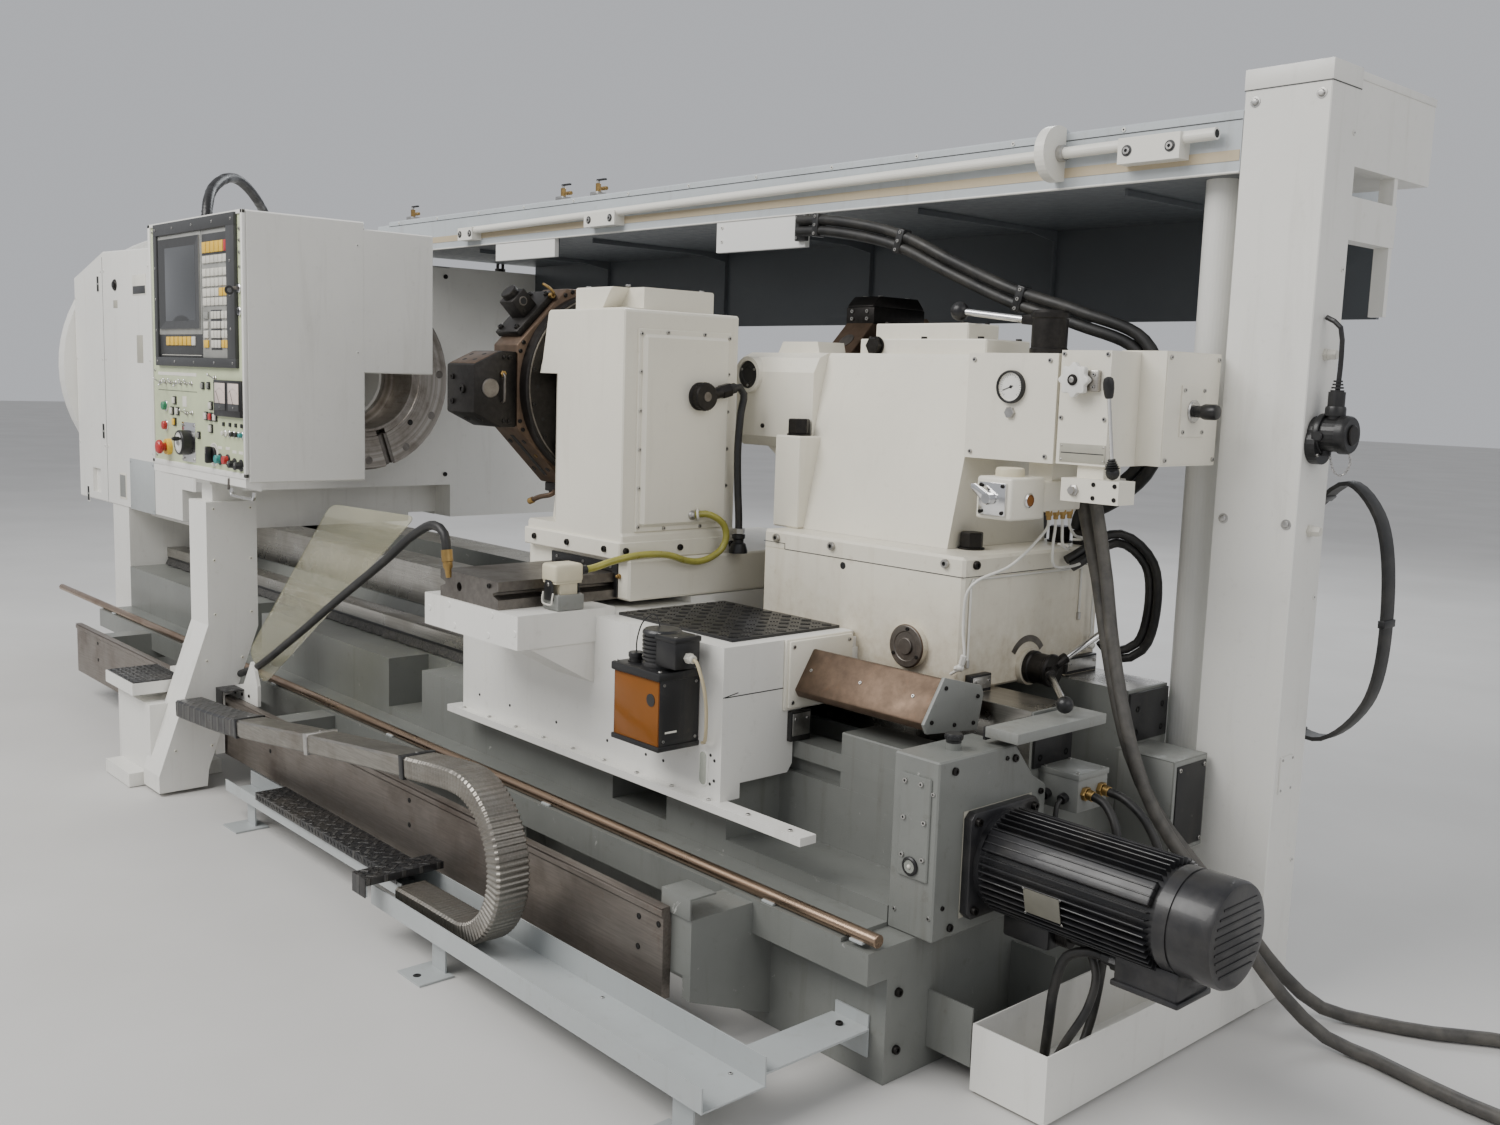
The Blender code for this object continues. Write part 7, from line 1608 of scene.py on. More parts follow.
def ribbed(name, i0, i1, ribs, mat, hw_=0.0390, ht=0.0240, swap=(), body=None, blend_=None, yc=-0.957):
    g = Group(name, body)
    bm = bmesh.new()
    rings = []
    last = None
    for i in range(i0, i1 + 1):
        q = full[i]
        t_ = full[min(i + 1, len(full) - 1)] - full[max(i - 1, 0)]
        t_ = V((t_.x, 0, t_.z)).normalized()
        n_ = V((-t_.z, 0, t_.x))
        k_ = 0.0
        if ribs:
            ph = (marks[i] / ribs) % 1.0
            k_ = 0.0020 if ph < 0.5 else 0.0
        h_, w_ = ht - 0.0022 + k_, hw_ - 0.0022 + k_
        c_ = 0.005
        sec = [(-h_, -w_ + c_), (-h_, w_ - c_), (-h_ + c_, w_), (h_ - c_, w_), (h_, w_ - c_), (h_, -w_ + c_), (h_ - c_, -w_), (-h_ + c_, -w_)]
        rings.append([bm.verts.new((q.x + n_.x * a, yc + b_, q.z + n_.z * a)) for a, b_ in sec])
    for a_, c_ in zip(rings, rings[1:]):
        for k in range(8):
            j = (k + 1) % 8
            bm.faces.new((a_[k], a_[j], c_[j], c_[k]))
    bm.faces.new(rings[0])
    bm.faces.new(rings[-1])
    bmesh.ops.recalc_face_normals(bm, faces=bm.faces)
    g.push(bm, mat)
    ob = g.done(25, *swap)
    if blend_:
        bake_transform(ob)
    return ob


i_a = next(i for i, q in enumerate(full) if q.x > -0.020)
i_b = next(i for i, q in enumerate(full) if q.x > 0.905)
CONDUIT = metal("galvanised_conduit", (0.355, 0.335, 0.300), 0.36, 0.3, (0.6, 9, 9), 26.0, 0.14, (0.13, 0.10, 0.075), 0.5)
ribbed("pedestal_conduit_left", 0, i_a + 1, 0, TREAD, hw_=0.0420, ht=0.0268, swap=("pedestal_conduit",), body="pedestal")
ribbed("pedestal_conduit_sleeve", i_a, i_b, 0, CONDUIT, hw_=0.0400, ht=0.0250, body="pedestal")
BZ = ("frame", "pedestal", (1.1, -0.957, 0.112), (1.1, -0.957, 0.400))
ribbed("pedestal_conduit_bend", i_b - 1, len(full) - 1, 0.0116, CONDUIT, blend_=BZ)
st = Group("pedestal_conduit_straps", "pedestal")
for xs in (0.955 - 0.06, 0.42, -0.012):
    i = next(i for i, q in enumerate(full) if q.x > xs)
    q = full[i]
    t_ = full[i + 1] - full[i - 1]
    t_ = V((t_.x, 0, t_.z)).normalized()
    n_ = V((-t_.z, 0, t_.x))
    mw = Matrix.Translation(V((q.x, -0.957, q.z))) @ Matrix((t_, V((0, 1, 0)), n_)).transposed().to_4x4()
    st.box(-0.009, 0.009, -0.0412, 0.0412, -0.0262, 0.0262, BLKPL if xs > 0.5 or xs < 0 else ZINC, 0.002, mw=mw)
    st.cap(mw @ V((0, 0.0, 0.0262)), n_, 0.0036, 0.002)
st.done(30)


# ---------------------------------------------------------- bed and its ways
bw = Group("bed_ways", "frame")
# ground strips of the front carriage way
for x0, x1 in ((-2.198, 1.4445),):
    bw.box(x0, x1, -0.4008, -0.3998, 0.4640, 0.4985, WAYST, 0)
    bw.box(x0, x1, -0.3995, -0.3305, 0.4985, 0.4998, WAYST, 0.0004)
bw.box(-2.198, 1.960, -0.2245, -0.1010, 0.6310, 0.6319, WAYST, 0)
bw.box(-2.198, 1.960, -0.2257, -0.2245, 0.5050, 0.6312, WAYST, 0)
bw.box(-2.198, 1.960, 0.1008, 0.2485, 0.6310, 0.6319, WAYST, 0)
bw.box(-2.198, 1.898, 0.2505, 0.4195, 0.5702, 0.5712, WAYST, 0)
bw.box(-2.198, 1.898, 0.4195, 0.4206, 0.5050, 0.5705, WAYST, 0)
bw.done(30)

# black bristle seal under the front way
br = Group("bed_way_brush", "frame")
br.box(-2.190, 1.444, -0.4020, -0.3760, 0.4560, 0.4632, BLKPL, 0.0008)
bm = bmesh.new()
st_, N_ = 0.0135, int((1.440 + 2.186) / 0.0135)
prev = None
for k in range(N_ + 1):
    x = -2.186 + st_ * k
    w_ = 0.0030 * math.sin(k * 1.7) + 0.0024 * math.sin(k * 0.61 + 1)
    d_ = 0.0035 * math.sin(k * 2.3 + 0.7)
    ring = [bm.verts.new((x, -0.3760, 0.4565)), bm.verts.new((x, -0.4010, 0.4565)), bm.verts.new((x, -0.4120 + w_, 0.4400)),
            bm.verts.new((x, -0.4150 + w_, 0.4335 + 0 * d_)), bm.verts.new((x, -0.4000, 0.4304)), bm.verts.new((x, -0.3760, 0.4304))]
    if prev:
        for j in range(6):
            q_ = (j + 1) % 6
            bm.faces.new((prev[j], prev[q_], ring[q_], ring[j]))
    else:
        bm.faces.new(ring)
    prev = ring
bm.faces.new(prev)
bmesh.ops.recalc_face_normals(bm, faces=bm.faces)
br.push(bm, BRISTLE)
br.done(50)

bs = Group("bed_screws", "frame")
for x in (-1.80, -0.55, 0.70, 1.32):
    bs.cap((x, -0.640, 0.2008), (0, 0, 1), 0.0085, 0.006, BLACKOX)
# carriers of the guide rod
for x in (-2.05, -1.30, -0.55, 0.20, 0.95, 1.70, 1.93):
    bs.box(x - 0.016, x + 0.016, -0.6640, -0.6340, 0.2688, 0.2745, BLUEGREY, 0.002)
    bs.cap((x, -0.6300, 0.2690), (0, 0, 1), 0.0050, 0.004, BLACKOX)
# end block of the ways, with its screws, over the right end
for y in (-0.205, -0.120, 0.130, 0.225):
    bs.cap((1.9660, y, 0.590), (1, 0, 0), 0.0075, 0.006, BLACKOX)
    bs.cap((1.9660, y, 0.540), (1, 0, 0), 0.0075, 0.006, BLACKOX)
bs.box(1.9662, 1.9720, -0.2235, -0.1010, 0.520, 0.6255, BLACKP, 0.0012)
bs.box(1.9662, 1.9720, 0.1010, 0.2475, 0.520, 0.6255, BLACKP, 0.0012)
# levelling screws on the foot bays
for x in (-2.14, -1.08, -0.18, 0.71, 1.55):
    bs.rod((x, -0.590, 0.2010), (x, -0.590, 0.2090), 0.017, BLACKOX, 28)
    bs.rod((x, -0.590, 0.2085), (x, -0.590, 0.2220), 0.0145, BLACKOX, 6, 0.002)
bs.done(30)

COPPERY = metal("copper_brown_rod", (0.46, 0.33, 0.235), 0.27, 0.3, (0.35, 22, 22), 14.0, 0.08, (0.16, 0.10, 0.06), 0.5)
rd = Group("guide_rod_body", "frame")
rd.rod((-2.753, -0.649, 0.269 + 0.0125 + 0.0003), (1.973, -0.649, 0.269 + 0.0125 + 0.0003), 0.0125, COPPERY, 40, 0.0012)
rd.done(30, "guide_rod")

# raised pattern of the rubber mat
mt = Group("carriage_mat_pattern", "carriage")
for i in range(12):
    for j in range(9):
        cx_, cy_ = 1.0800 + 0.0318 * i, -0.5290 + 0.0340 * j
        a = math.radians(45 if (i + j) % 2 else -45)
        for k in (-1, 0, 1):
            mw = Matrix.Translation((cx_, cy_, 0.7240)) @ Matrix.Rotation(a, 4, 'Z')
            mt.box(-0.0105, 0.0105, 0.0068 * k - 0.0018, 0.0068 * k + 0.0018, -0.0006, 0.0015, BLKPL, 0, mw=mw)
mt.done(30)
ts_ = Group("lube_tank_side", "carriage")
ts_.box(1.4118, 1.4136, -0.7045, -0.6020, 0.5140, 0.6500, BLACKP, 0.0008)
ts_.box(1.4134, 1.4140, -0.6900, -0.6600, 0.5400, 0.5440, LABEL_W, 0)
for y in (-0.694, -0.612):
    for z in (0.525, 0.640):
        ts_.cap((1.4136, y, z), (1, 0, 0), 0.0030, 0.0018, ZINC)
ts_.done(30)
rb = Group("rail_beam_screws", "frame")
for x, z in ((1.5336, 0.2349), (1.5976 - 0.004, 0.238), (1.5325, 0.175)):
    rb.cap((x, -0.8385, z), (0, -1, 0), 0.0062, 0.0012, BLACKOX)
for x0 in (-1.66, -0.16, 0.64):
    for dz in (0.235, 0.175):
        rb.cap((x0, -0.8385, dz), (0, -1, 0), 0.0062, 0.0012, BLACKOX)
rb.box(-1.8995, 1.6068, -0.8432, -0.8225, 0.2722, 0.2736, RAILST, 0.0003)
# folded cover plate over the right arm
rb.prism([(-0.819, 0.2622), (-0.819, 0.3000), (-0.7600, 0.3000), (-0.7600, 0.3040), (-0.823, 0.3040), (-0.823, 0.2622)], 'x', 1.5805, 1.6645, GREY, 0.0006)
rb.done(30)

# chequered tread plates over the trough end
td = Group("tread_plate_covers", "frame")
td.box(0.0205, 0.8000, -0.9545, -0.8725, 0.1204, 0.1224, TREAD, 0.0006)
td.box(0.0205, 0.8000, -0.9570, -0.9548, 0.1020, 0.1224, TREAD, 0.0006)
td.box(0.7985, 0.8595, -1.0598, -0.8725, 0.1538, 0.1560, TREAD, 0.0006)
td.box(0.7985, 0.8595, -1.0622, -1.0600, 0.1130, 0.1560, TREAD, 0.0006)
td.box(0.8598, 0.8620, -1.0598, -0.8725, 0.1400, 0.1560, TREAD, 0.0006)
# raised bars of the plates, crossed by turns
rng = random.Random(5)
for i in range(48):
    x = 0.030 + 0.0162 * i
    for j in range(5):
        y = -0.9475 + 0.0170 * j
        if x > 0.795:
            continue
        a = math.radians(45 if (i + j) % 2 else -45)
        mw = Matrix.Translation((x, y, 0.1222)) @ Matrix.Rotation(a, 4, 'Z')
        td.box(-0.0062, 0.0062, -0.0013, 0.0013, -0.0004, 0.0011, TREAD, 0, mw=mw)
for i in range(4):
    for j in range(11):
        a = math.radians(45 if (i + j) % 2 else -45)
        mw = Matrix.Translation((0.8065 + 0.0152 * i, -1.050 + 0.0170 * j, 0.1558)) @ Matrix.Rotation(a, 4, 'Z')
        td.box(-0.0062, 0.0062, -0.0013, 0.0013, -0.0004, 0.0011, TREAD, 0, mw=mw)
for i in range(44):
    a = math.radians(55)
    mw = Matrix.Translation((0.034 + 0.0175 * i, -0.9570, 0.1120)) @ Matrix.Rotation(a, 4, 'Y')
    td.box(-0.0058, 0.0058, -0.0010, 0.0004, -0.0012, 0.0012, TREAD, 0, mw=mw)
td.done(30)
tf = Group("trough_screws", "frame")
for x in (1.057, 1.864):
    for y in (-1.045,):
        tf.cap((x, y, 0.0040), (0, 0, 1), 0.0085, 0.0010, RECESS_SHADE, False)
for x in (1.10, 1.50, 1.87):
    for y in (-0.998, -0.896):
        tf.cap((x, y, 0.0760), (0, 0, 1), 0.0038, 0.0022, ZINC)
tf.cap((1.887, -0.650, 0.0970), (0, 0, 1), 0.0070, 0.0050, BLACKOX)
tf.done(30)

# ------------------------------------------------------- pedestal and shield
pt = Group("pedestal_trim", "pedestal")
for y, z in ((-0.990, 0.130), (-0.940, 0.260), (-0.895, 0.385), (-0.868, 0.520), (-0.868, 0.680), (-0.868, 0.830),
             (-0.885, 0.130), (-0.868, 0.235), (-0.790, 0.385), (-0.760, 0.520), (-0.760, 0.680), (-0.760, 0.830)):
    pt.cap((-0.468, y, z), (1, 0, 0), 0.0042, 0.0024, CREAM)
for x in (-0.838, -0.630):
    for y in (-1.045, -0.930):
        pt.cap((x + 0.012, y, 0.3098), (0, 0, 1), 0.0045, 0.0015, BLACKOX)
# tread pad on the step
pt.box(-0.846, -0.614, -1.056, -0.909, 0.3098, 0.3125, TREAD, 0.0006)
for i in range(14):
    for j in range(9):
        a = math.radians(45 if (i + j) % 2 else -45)
        mw = Matrix.Translation((-0.838 + 0.0165 * i, -1.048 + 0.0165 * j, 0.3123)) @ Matrix.Rotation(a, 4, 'Z')
        pt.box(-0.0062, 0.0062, -0.0013, 0.0013, -0.0004, 0.0011, TREAD, 0, mw=mw)
# clamp cover over the shoe, of tread plate, black
pt.box(-0.4695, -0.395, -0.871, -0.792, 0.3003, 0.3040, TREAD, 0.0008)
pt.box(-0.4665, -0.420, -0.8715, -0.8680, 0.255, 0.3010, BLACKP, 0.0008)
for x in (-0.700, -0.650, -0.560, -0.500):
    pt.cap((x, -0.8723, 0.200), (0, -1, 0), 0.0062, 0.0045, BLACKOX)
for k in range(3):
    pt.cap((-0.46 + 0.05 * k, -0.8150, 0.283 + 0.004 * k), (0, -1, 0), 0.0048, 0.0030, BLACKOX)
pt.done(30)

# black edge hose of the shield
sh_ = [(-.546, -.792, .312), (-.450, -.797, .342), (-.339, -.800, .379), (-.056, -.815, .510), (.258, -.830, .665), (.513, -.835, .793), (.650, -.835, .868), (.748, -.835, .902), (.794, -.835, .887), (.808, -.835, .831)]
sp = [tuple(q) for q in smooth_path(sh_, 0.02)]
sg = Group("shield_edge_hose", "pedestal")
sg.tube(sp, 0.0105, RUBBER, 18, smooth=False)
sgo = sg.done(40)
nd = (V(sp[-1]) - V(sp[-2])).normalized()
nz = Group("shield_hose_nozzle", "pedestal")
nz.lathe([(0.0107, -0.022), (0.0128, -0.022), (0.0128, 0.004), (0.0110, 0.006), (0.0110, 0.016), (0.0078, 0.022), (0.0062, 0.040), (0.0040, 0.041), (0.0040, 0.020), (0, 0.020)], sp[-1], tuple(nd), BRASS, 28, close=False)
nzo = nz.done(30)
round(sum((V(a) - V(c_)).length for a, c_ in zip(sp, sp[1:])), 3)

# ------------------------------------------------------------ headstock trim
ht = Group("headstock_trim", "frame")
for x, z in ((-2.484, 1.551), (-2.464, 0.958), (-2.685, 0.685)):
    ht.box(x - 0.012, x + 0.012, -0.5520, -0.5498, z - 0.030, z + 0.030, RECESS_SHADE, 0.0008)
    ht.box(x - 0.016, x + 0.016, -0.5512, -0.5498, z - 0.034, z + 0.034, WHITE, 0.0008)
    ht.box(x - 0.012, x + 0.012, -0.5530, -0.5500, z - 0.004, z + 0.004, GREY_LT, 0.0006)
ht.lathe([(0, 0), (0.022, 0), (0.022, 0.003), (0.019, 0.006), (0.013, 0.006), (0.012, 0.010), (0, 0.010)], (-2.277, -0.5502, 1.541), (0, -1, 0), BLACKOX, 36, close=False)
ht.box(-2.300, -2.254, -0.5512, -0.5500, 1.452, 1.482, LABEL, 0.0004)
ht.box(-2.075, -1.925, -0.5514, -0.5500, 1.495, 1.572, LABEL_W, 0.0006)
ht.box(-2.068, -1.932, -0.5520, -0.5508, 1.500, 1.530, BEZEL, 0.0006)
ht.box(-2.040, -1.975, -0.5512, -0.5500, 1.240, 1.345, LABEL, 0.0006)
# inspection recess and the darker panel under the front face
ht.box(-2.284, -2.203, -0.5516, -0.5500, 0.698, 0.802, CREAM, 0.0010)
ht.box(-2.276, -2.211, -0.5524, -0.5510, 0.706, 0.794, GREY_LT, 0.0010)
ht.box(-2.156, -1.880, -0.5520, -0.5500, 0.667, 0.867, BLUEGREY, 0.0015)
for x in (-2.145, -1.892):
    for z in (0.680, 0.855):
        ht.cap((x, -0.5520, z), (0, -1, 0), 0.0042, 0.0020, BLUEGREY)
# joint lines of the sheet-metal casing
ht.box(-2.4300, -2.4285, -0.5508, -0.5500, 0.675, 1.655, BEZEL, 0)
ht.box(-1.8805, -1.8795, -0.5508, -0.5500, 0.870, 1.650, BEZEL, 0)
for x in (-2.78, -2.45, -2.41, -1.90, -1.86, -1.50):
    for z in (0.90, 1.25, 1.60 if x > -2.5 else 1.50):
        ht.cap((x, -0.5500, z), (0, -1, 0), 0.0052, 0.0024, WHITE)
# pads and screws on the front end
for y, z in ((-0.520, 0.83), (-0.520, 1.20), (-0.520, 1.62), (0.46, 0.83), (0.46, 1.62), (0.0, 0.83), (0.0, 1.63)):
    ht.cap((-1.480, y, z), (1, 0, 0), 0.0090, 0.0060, BLACKOX)
for k in range(12):
    a = math.radians(15 + 30 * k)
    ht.cap((-1.4622, 0.280 * math.cos(a), 1.216 + 0.280 * math.sin(a)), (1, 0, 0), 0.0090, 0.0070, BLACKOX)
# lifting eyes and covers on the roof, ventilation at the back
for x in (-2.30, -1.62):
    for y in (-0.35, 0.80):
        ht.rod((x, y, 1.655 + (0.017 if x < -2 else 0.004)), (x, y, 1.682), 0.022, BLACKOX, 32)
        ht.tube([(x - 0.020, y, 1.678), (x - 0.020, y, 1.700), (x, y, 1.722), (x + 0.020, y, 1.700), (x + 0.020, y, 1.678)], 0.0065, BLACKOX, 14)
for k in range(14):
    z = 0.95 + 0.028 * k
    ht.box(-2.10, -1.78, 1.0003, 1.0045, z, z + 0.015, GREY_LT, 0.0012)
    # near-black strip between the louvres: painted shade of the gap
    ht.box(-2.095, -1.785, 1.0003, 1.0030, z + 0.0145, z + 0.0260, RECESS_SHADE, 0)
ht.box(-2.56, -2.24, 1.0003, 1.0050, 0.86, 1.40, WHITE, 0.0015)
for x in (-2.545, -2.255):
    for z in (0.875, 1.13, 1.385):
        ht.cap((x, 1.0050, z), (0, 1, 0), 0.0055, 0.0028, ZINC)
ht.box(-2.53, -2.42, 1.0050, 1.0075, 1.29, 1.36, LABEL, 0.0006)
ht.tube([(-2.27, 1.005, 1.08), (-2.27, 1.032, 1.08), (-2.27, 1.032, 1.20), (-2.27, 1.005, 1.20)], 0.0055, BLACKOX, 14)
ht.done(30)

gd = Group("headstock_guard_trim", "frame")
for k in range(16):
    a = math.radians(22.5 * k + 11)
    y, z = 0.560 * math.cos(a), 1.216 + 0.560 * math.sin(a)
    if z > 0.80:
        gd.cap((-2.9150, y, z), (-1, 0, 0), 0.0065, 0.0200, BLACKOX)
gd.lathe([(0, 0), (0.120, 0), (0.120, 0.004), (0.112, 0.008), (0.060, 0.008), (0.054, 0.012), (0, 0.012)], (-2.9603, 0, 1.216), (-1, 0, 0), GREY_LT, 48, close=False)
for k in range(6):
    a = math.radians(60 * k)
    gd.cap((-2.9683, 0.096 * math.cos(a), 1.216 + 0.096 * math.sin(a)), (-1, 0, 0), 0.0060, 0.0040, BLACKOX)
gd.done(30)

# ------------------------------------------------------- chuck, turned rings
ck = Group("chuck_face_trim", "spindle")
for i in range(12):
    a = math.radians(-72 + 15 + 30 * i)
    c0 = (-1.2600, 0.310 * math.cos(a), 1.216 + 0.310 * math.sin(a))
    ck.lathe([(0.0096, -0.0080), (0.0150, -0.0080), (0.0150, 0.0002), (0.0140, 0.0010), (0.0100, 0.0010), (0.0096, 0.0002)], c0, (1, 0, 0), STEEL_D, 28)
for i in range(6):
    a = math.radians(-72 + 30 + 60 * i)
    if i % 2 == 0:
        ck.cap((-1.2600, 0.250 * math.cos(a), 1.216 + 0.250 * math.sin(a)), (1, 0, 0), 0.0110, 0.0012, BLACKOX)
# pinion sockets on the rim
for i in range(3):
    a = math.radians(-72 + 60 + 120 * i)
    er = V((0, math.cos(a), math.sin(a)))
    c0 = V((-1.345, 0, 1.216)) + er * 0.3448
    ck.lathe([(0.0100, 0), (0.0240, 0), (0.0240, 0.0012), (0.0215, 0.0024), (0.0120, 0.0024), (0.0100, 0.0010)], tuple(c0), tuple(er), STEEL_D, 36)
    ck.box(-0.0085, 0.0085, -0.0085, 0.0085, -0.001, 0.0006, RECESS_SHADE, 0, mw=Matrix.Translation(c0) @ er.to_track_quat('Z', 'Y').to_matrix().to_4x4())
ck.done(30)


# --------------------------------------------------- canopy and column trim
TANSTRIP = paint("tan_strip", (0.52, 0.435, 0.30), 0.5, 0.05, (0.35, 0.29, 0.20), 0.2)
# near-black for the ribs inside the hood: painted shade
RIB_SHADE_GREY = paint("painted_shade_grey", (0.105, 0.115, 0.125), 0.55, 0.05, (0.07, 0.07, 0.07), 0.2)
ct_ = Group("canopy_trim", "frame")
for x0, x1, zc, xs in ((-0.126, 0.034, 1.727, (-0.100, 0.010)), (1.804, 1.949, 1.748, (1.826, 1.927)), (-0.895, -0.800, 1.726, (-0.880, -0.815))):
    for x in xs:
        ct_.cap((x, 0.1753, zc), (0, -1, 0), 0.0078, 0.0045, ZINC)
        ct_.lathe([(0.0080, 0), (0.0118, 0), (0.0118, 0.0010), (0.0080, 0.0012)], (x, 0.1753, zc), (0, -1, 0), BEZEL, 24)
# tan strip, joint of the roof sheet, edges of the flange
ct_.box(-1.4700, 2.0600, 0.2140, 0.2153, 1.7120, 1.7330, TANSTRIP, 0)
ct_.box(-1.4780, 2.0610, 0.2143, 0.2153, 1.7905, 1.7925, BEZEL, 0)
ct_.box(-1.4797, 2.0615, 0.2132, 0.2262, 1.6880, 1.6915, WHITE, 0.0006)
for x in [-1.40 + 0.29 * k for k in range(12)]:
    ct_.cap((x, 0.2153, 1.8000), (0, -1, 0), 0.0048, 0.0022, WHITE)
# open end of the tube and its hub
ct_.lathe([(0.0085, -0.030), (0.0085, 0.0004), (0.0122, 0.0006), (0.0122, -0.001)], (2.0198, 0.1933, 1.7650), (1, 0, 0.0092), WHITE, 28)
# near-black disc in the open tube end: painted shade
ct_.lathe([(0, 0), (0.0084, 0), (0.0084, 0.0003), (0, 0.0003)], (2.0199, 0.1933, 1.7650), (1, 0, 0.0092), RECESS_SHADE, 24, close=False)
ct_.lathe([(0.0127, 0), (0.0180, 0), (0.0180, 0.012), (0.0165, 0.014), (0.0127, 0.014)], (1.6452, 0.1933, 1.7617), (1, 0, 0), ZINC, 32)
for z in (1.634, 1.672):
    for x in (0.492, 0.808):
        ct_.cap((x, 0.2160, z), (0, -1, 0), 0.0050, 0.0025, WHITE)
ct_.box(0.8050, 0.8440, 0.2000, 0.2158, 1.6180, 1.6860, BLKPL, 0.002)
for z in (1.626, 1.678):
    ct_.cap((0.8120, 0.2000, z), (0, -1, 0), 0.0040, 0.0026, ZINC)
# stiffening ribs under the roof and on the back, near-black as painted shade, screws along the back edge
for x in (-0.95, -0.25, 0.45, 1.15, 1.75):
    ct_.prism([(0.884, 1.440), (0.870, 1.440), (0.870, 1.660), (0.760, 1.676), (0.300, 1.676), (0.300, 1.6895), (0.884, 1.6895)], 'x', x - 0.003, x + 0.003, RIB_SHADE_GREY, 0)
for x in [-1.40 + 0.42 * k for k in range(9)]:
    for z in (1.47, 1.77):
        ct_.cap((x, 0.9000, z), (0, 1, 0), 0.0060, 0.0035, ZINC)
for x in (-1.00, -0.10, 0.80, 1.55):
    ct_.box(x - 0.0012, x + 0.0012, 0.8998, 0.9010, 1.445, 1.800, BEZEL, 0)
    ct_.box(x - 0.0012, x + 0.0012, 0.225, 0.895, 1.8098, 1.8106, BEZEL, 0)
# small valves standing on the front edge of the roof
for x in (-1.3425, -0.3395, -0.1454):
    ct_.box(x - 0.020, x + 0.020, 0.225, 0.262, 1.8098, 1.8230, ZINC, 0.002)
    ct_.rod((x, 0.243, 1.822), (x, 0.243, 1.850), 0.0085, BRASS, 6)
    ct_.rod((x, 0.243, 1.849), (x, 0.243, 1.861), 0.0050, ZINC, 20)
    ct_.box(x - 0.006, x + 0.040, 0.238, 0.248, 1.857, 1.863, BLKPL, 0.002)
    ct_.rod((x + 0.018, 0.243, 1.832), (x + 0.046, 0.243, 1.832), 0.0065, BRASS, 6)
ct_.done(30)

co = Group("column_trim", "frame")
co.box(2.0612, 2.2398, 0.2141, 0.3360, 1.8430, 1.8446, BEZEL, 0)
co.box(2.0606, 2.2404, 0.2136, 0.3362, 1.8446, 1.8838, WHITE, 0.0012)
co.box(2.0646, 2.2368, 0.3358, 0.6912, 1.8640, 1.8800, WHITE, 0.0010)
for x, z in ((2.0852, 1.8206), (2.2190, 1.8214), (2.0852, 1.000), (2.2190, 1.000), (2.0852, 0.060), (2.2190, 0.060)):
    co.lathe([(0, 0), (0.0105, 0), (0.0105, 0.0012), (0.0070, 0.0014), (0.0068, 0.0038), (0.0050, 0.0055), (0, 0.0060)], (x, 0.2153, z), (0, -1, 0), ZINC, 28, close=False)
for z in (0.30, 0.85, 1.50, 1.76):
    co.cap((2.2386, 0.318, z), (1, 0, 0), 0.0050, 0.0025, WHITE)
for y in (0.2380, 0.2790):
    for z in (0.461, 0.524):
        co.ball((2.2428, y, z), 0.0030, ZINC, 10, axis=(1, 0, 0), sq=0.6)
# white glands with the lead and the black socket with its hanging lid
for y, z in ((0.2783, 1.3339), (0.2736, 0.9870)):
    co.lathe([(0, 0), (0.0130, 0), (0.0130, 0.006), (0.0110, 0.007), (0.0110, 0.018), (0.0090, 0.024), (0, 0.0245)], (2.2386, y, z), (1, 0, 0), WHITEK, 6, close=False)
co.lathe([(0.0345, 0.012), (0.0390, 0.012), (0.0400, 0.014), (0.0400, 0.022), (0.0390, 0.024), (0.0345, 0.024)], (2.2389, 0.262, 1.180), (1, 0, 0), BLKPL, 48)
co.lathe([(0, 0.0745), (0.0335, 0.0745), (0.0360, 0.0715), (0.0375, 0.0650), (0.0375, 0.0540), (0.0345, 0.0525)], (2.2389, 0.262, 1.180), (1, 0, 0), BLKPL, 48, close=False)
co.lathe([(0, 0.0745), (0.0200, 0.0745), (0.0200, 0.0775), (0.0175, 0.0790), (0, 0.0790)], (2.2389, 0.262, 1.180), (1, 0, 0), BLACKOX, 36, close=False)
for k in range(4):
    a = math.radians(45 + 90 * k)
    co.cap((2.2590, 0.262 + 0.0385 * math.cos(a) * 0.95, 1.165 + 0.0385 * math.sin(a) * 0.95), (1, 0, 0), 0.0036, 0.0030, ZINC)
co.rod((2.262, 0.222, 1.176), (2.262, 0.240, 1.176), 0.0100, BLKPL, 24, 0.002)
co.rod((2.262, 0.262, 1.150), (2.262, 0.262, 1.138), 0.0120, BLKPL, 24, 0.002)
co.lathe([(0.0162, 0), (0.0195, 0), (0.0195, 0.014), (0.0180, 0.018), (0.0162, 0.018)], (2.2766, 0.262, 1.216), (0, 0, 1), BLKPL, 36)
for k in range(4):
    co.lathe([(0.0045, 0), (0.0128 - 0.0014 * k, 0), (0.0128 - 0.0014 * k, 0.0035), (0.0045, 0.0035)], (2.2766, 0.262, 1.262 + 0.0062 * k), (0, 0, 1), BLKPL, 28)
chain = [(2.307, 0.262, 1.150), (2.3125, 0.263, 1.136), (2.3120, 0.264, 1.120), (2.305, 0.265, 1.107), (2.294, 0.266, 1.101), (2.284, 0.266, 1.106), (2.277, 0.265, 1.119), (2.273, 0.264, 1.134), (2.270, 0.263, 1.143)]
cp_ = [V(q) for q in smooth_path(chain, 0.0052)]
for i in range(1, len(cp_) - 1):
    t_ = (cp_[i + 1] - cp_[i - 1]).normalized()
    u_ = t_.cross(V((0, 1, 0))).normalized()
    v_ = u_ if i % 2 else t_.cross(u_).normalized()
    loop = [tuple(cp_[i] + t_ * 0.0038 * math.cos(a) + v_ * 0.0022 * math.sin(a)) for a in [math.tau * k / 10 for k in range(11)]]
    co.tube(loop, 0.0006, ZINC, 6, smooth=False, ends=False)
co.done(30)

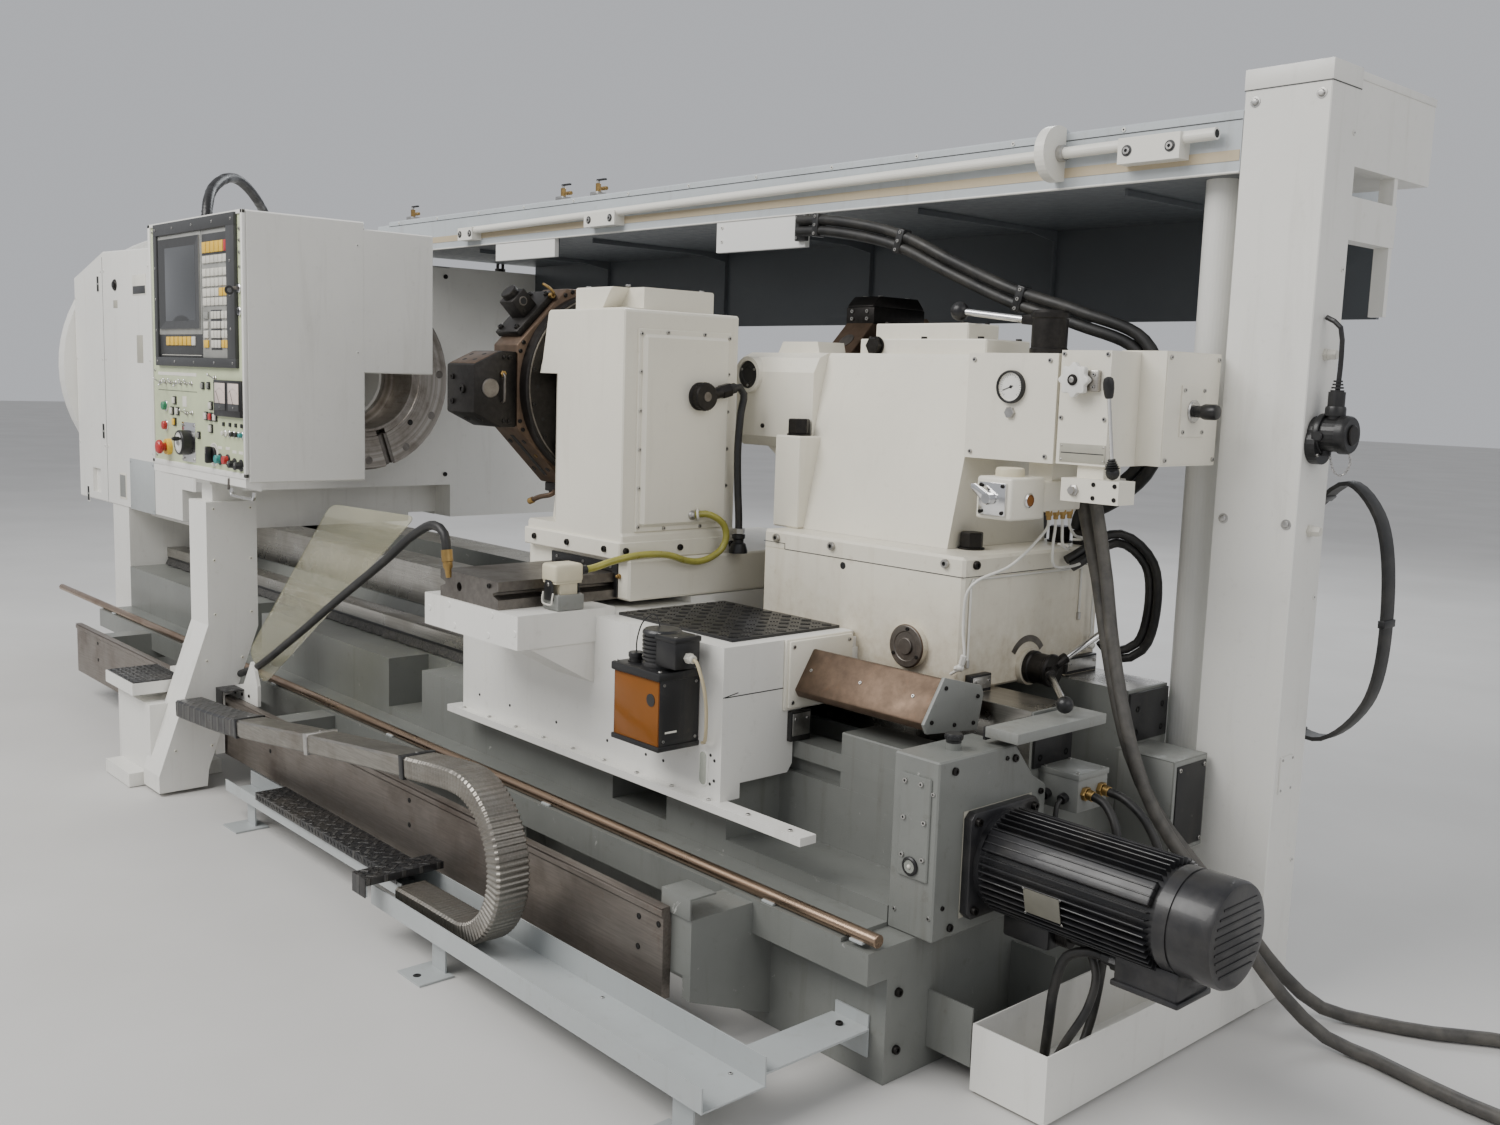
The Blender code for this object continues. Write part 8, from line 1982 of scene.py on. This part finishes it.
# ------------------------------------------ second turret behind the tailstock
rt2 = Group("rear_turret_trim", "rear_disc")
for k in range(8):
    a = math.radians(45 * k)
    c0 = V((0.8200, 0.520 + 0.205 * math.cos(a), 1.190 + 0.205 * math.sin(a)))
    for d_ in (-0.030, 0.030):
        c1 = c0 + V((0, -d_ * math.sin(a), d_ * math.cos(a)))
        rt2.cap(c1, (-1, 0, 0), 0.0085, 0.0010, RECESS_SHADE, False)
    # stud sockets on the flats of the rim
    er = V((0, math.cos(a), math.sin(a)))
    c2 = V((0.870, 0.520, 1.190)) + er * 0.2448
    if k != 2:
        rt2.lathe([(0.0150, 0.0004), (0.0230, 0.0004), (0.0230, 0.0020), (0.0150, 0.0026)], tuple(c2), tuple(er), STEEL_D, 28)
rt2.lathe([(0, 0), (0.080, 0), (0.080, 0.010), (0.074, 0.014), (0.030, 0.014), (0.024, 0.010), (0, 0.010)], (0.8200, 0.520, 1.190), (-1, 0, 0), STEEL_D, 56, close=False)
for k in range(6):
    a = math.radians(60 * k + 30)
    rt2.cap((0.8060, 0.520 + 0.052 * math.cos(a), 1.190 + 0.052 * math.sin(a)), (-1, 0, 0), 0.0070, 0.0055, BLACKOX)
# black clamping block with its bolts
rt2.box(0.8180, 0.9220, 0.3960, 0.6040, 1.4100, 1.4560, BLACKOX, 0.003)
rt2.prism([(0.3960, 1.4555), (0.6040, 1.4555), (0.6040, 1.4600), (0.5780, 1.4860), (0.4220, 1.4860), (0.3960, 1.4600)], 'x', 0.8215, 0.9185, BLACKOX, 0.003)
for x in (0.842, 0.870, 0.898):
    for y in (0.445, 0.555):
        rt2.cap((x, y, 1.4858), (0, 0, 1), 0.0070, 0.0030, ZINC) if x != 0.870 else rt2.cap((x, y, 1.4858), (0, 0, 1), 0.0100, 0.0020, RECESS_SHADE, False)
for z in (1.425, 1.445):
    for y in (0.43, 0.50, 0.57):
        rt2.cap((0.8180, y, z), (-1, 0, 0), 0.0055, 0.0040, ZINC)
for x in (0.842, 0.898):
    for z in (1.425, 1.445):
        rt2.cap((x, 0.3960, z), (0, -1, 0), 0.0052, 0.0040, ZINC)
rt2.done(30)
rh = Group("rear_house_trim", "rear_slide")
for y in (0.350, 0.640):
    for z in (0.70, 0.98, 1.27):
        rh.cap((1.3400, y, z), (1, 0, 0), 0.0065, 0.0045, ZINC)
for x in (1.085, 1.315):
    for z in (0.70, 0.98, 1.27):
        rh.cap((x, 0.6600, z), (0, 1, 0), 0.0065, 0.0045, ZINC)
        rh.cap((x, 0.3300, z), (0, -1, 0), 0.0065, 0.0045, ZINC)
rh.box(1.120, 1.280, 0.6602, 0.6660, 0.72, 1.22, GREY_LT, 0.002)
for x in (1.135, 1.265):
    for z in (0.74, 1.20):
        rh.cap((x, 0.6660, z), (0, 1, 0), 0.0050, 0.0030, ZINC)
rh.lathe([(0.2003, 0.002), (0.2060, 0.002), (0.2060, 0.018), (0.2003, 0.020)], (1.0400, 0.520, 1.190), (1, 0, 0), STEEL_D, 64)
for y in (0.295,):
    for x in (1.080, 1.205, 1.330):
        rh.cap((x, y, 0.6400), (0, 0, 1), 0.0080, 0.0060, BLACKOX)
rh.done(30)
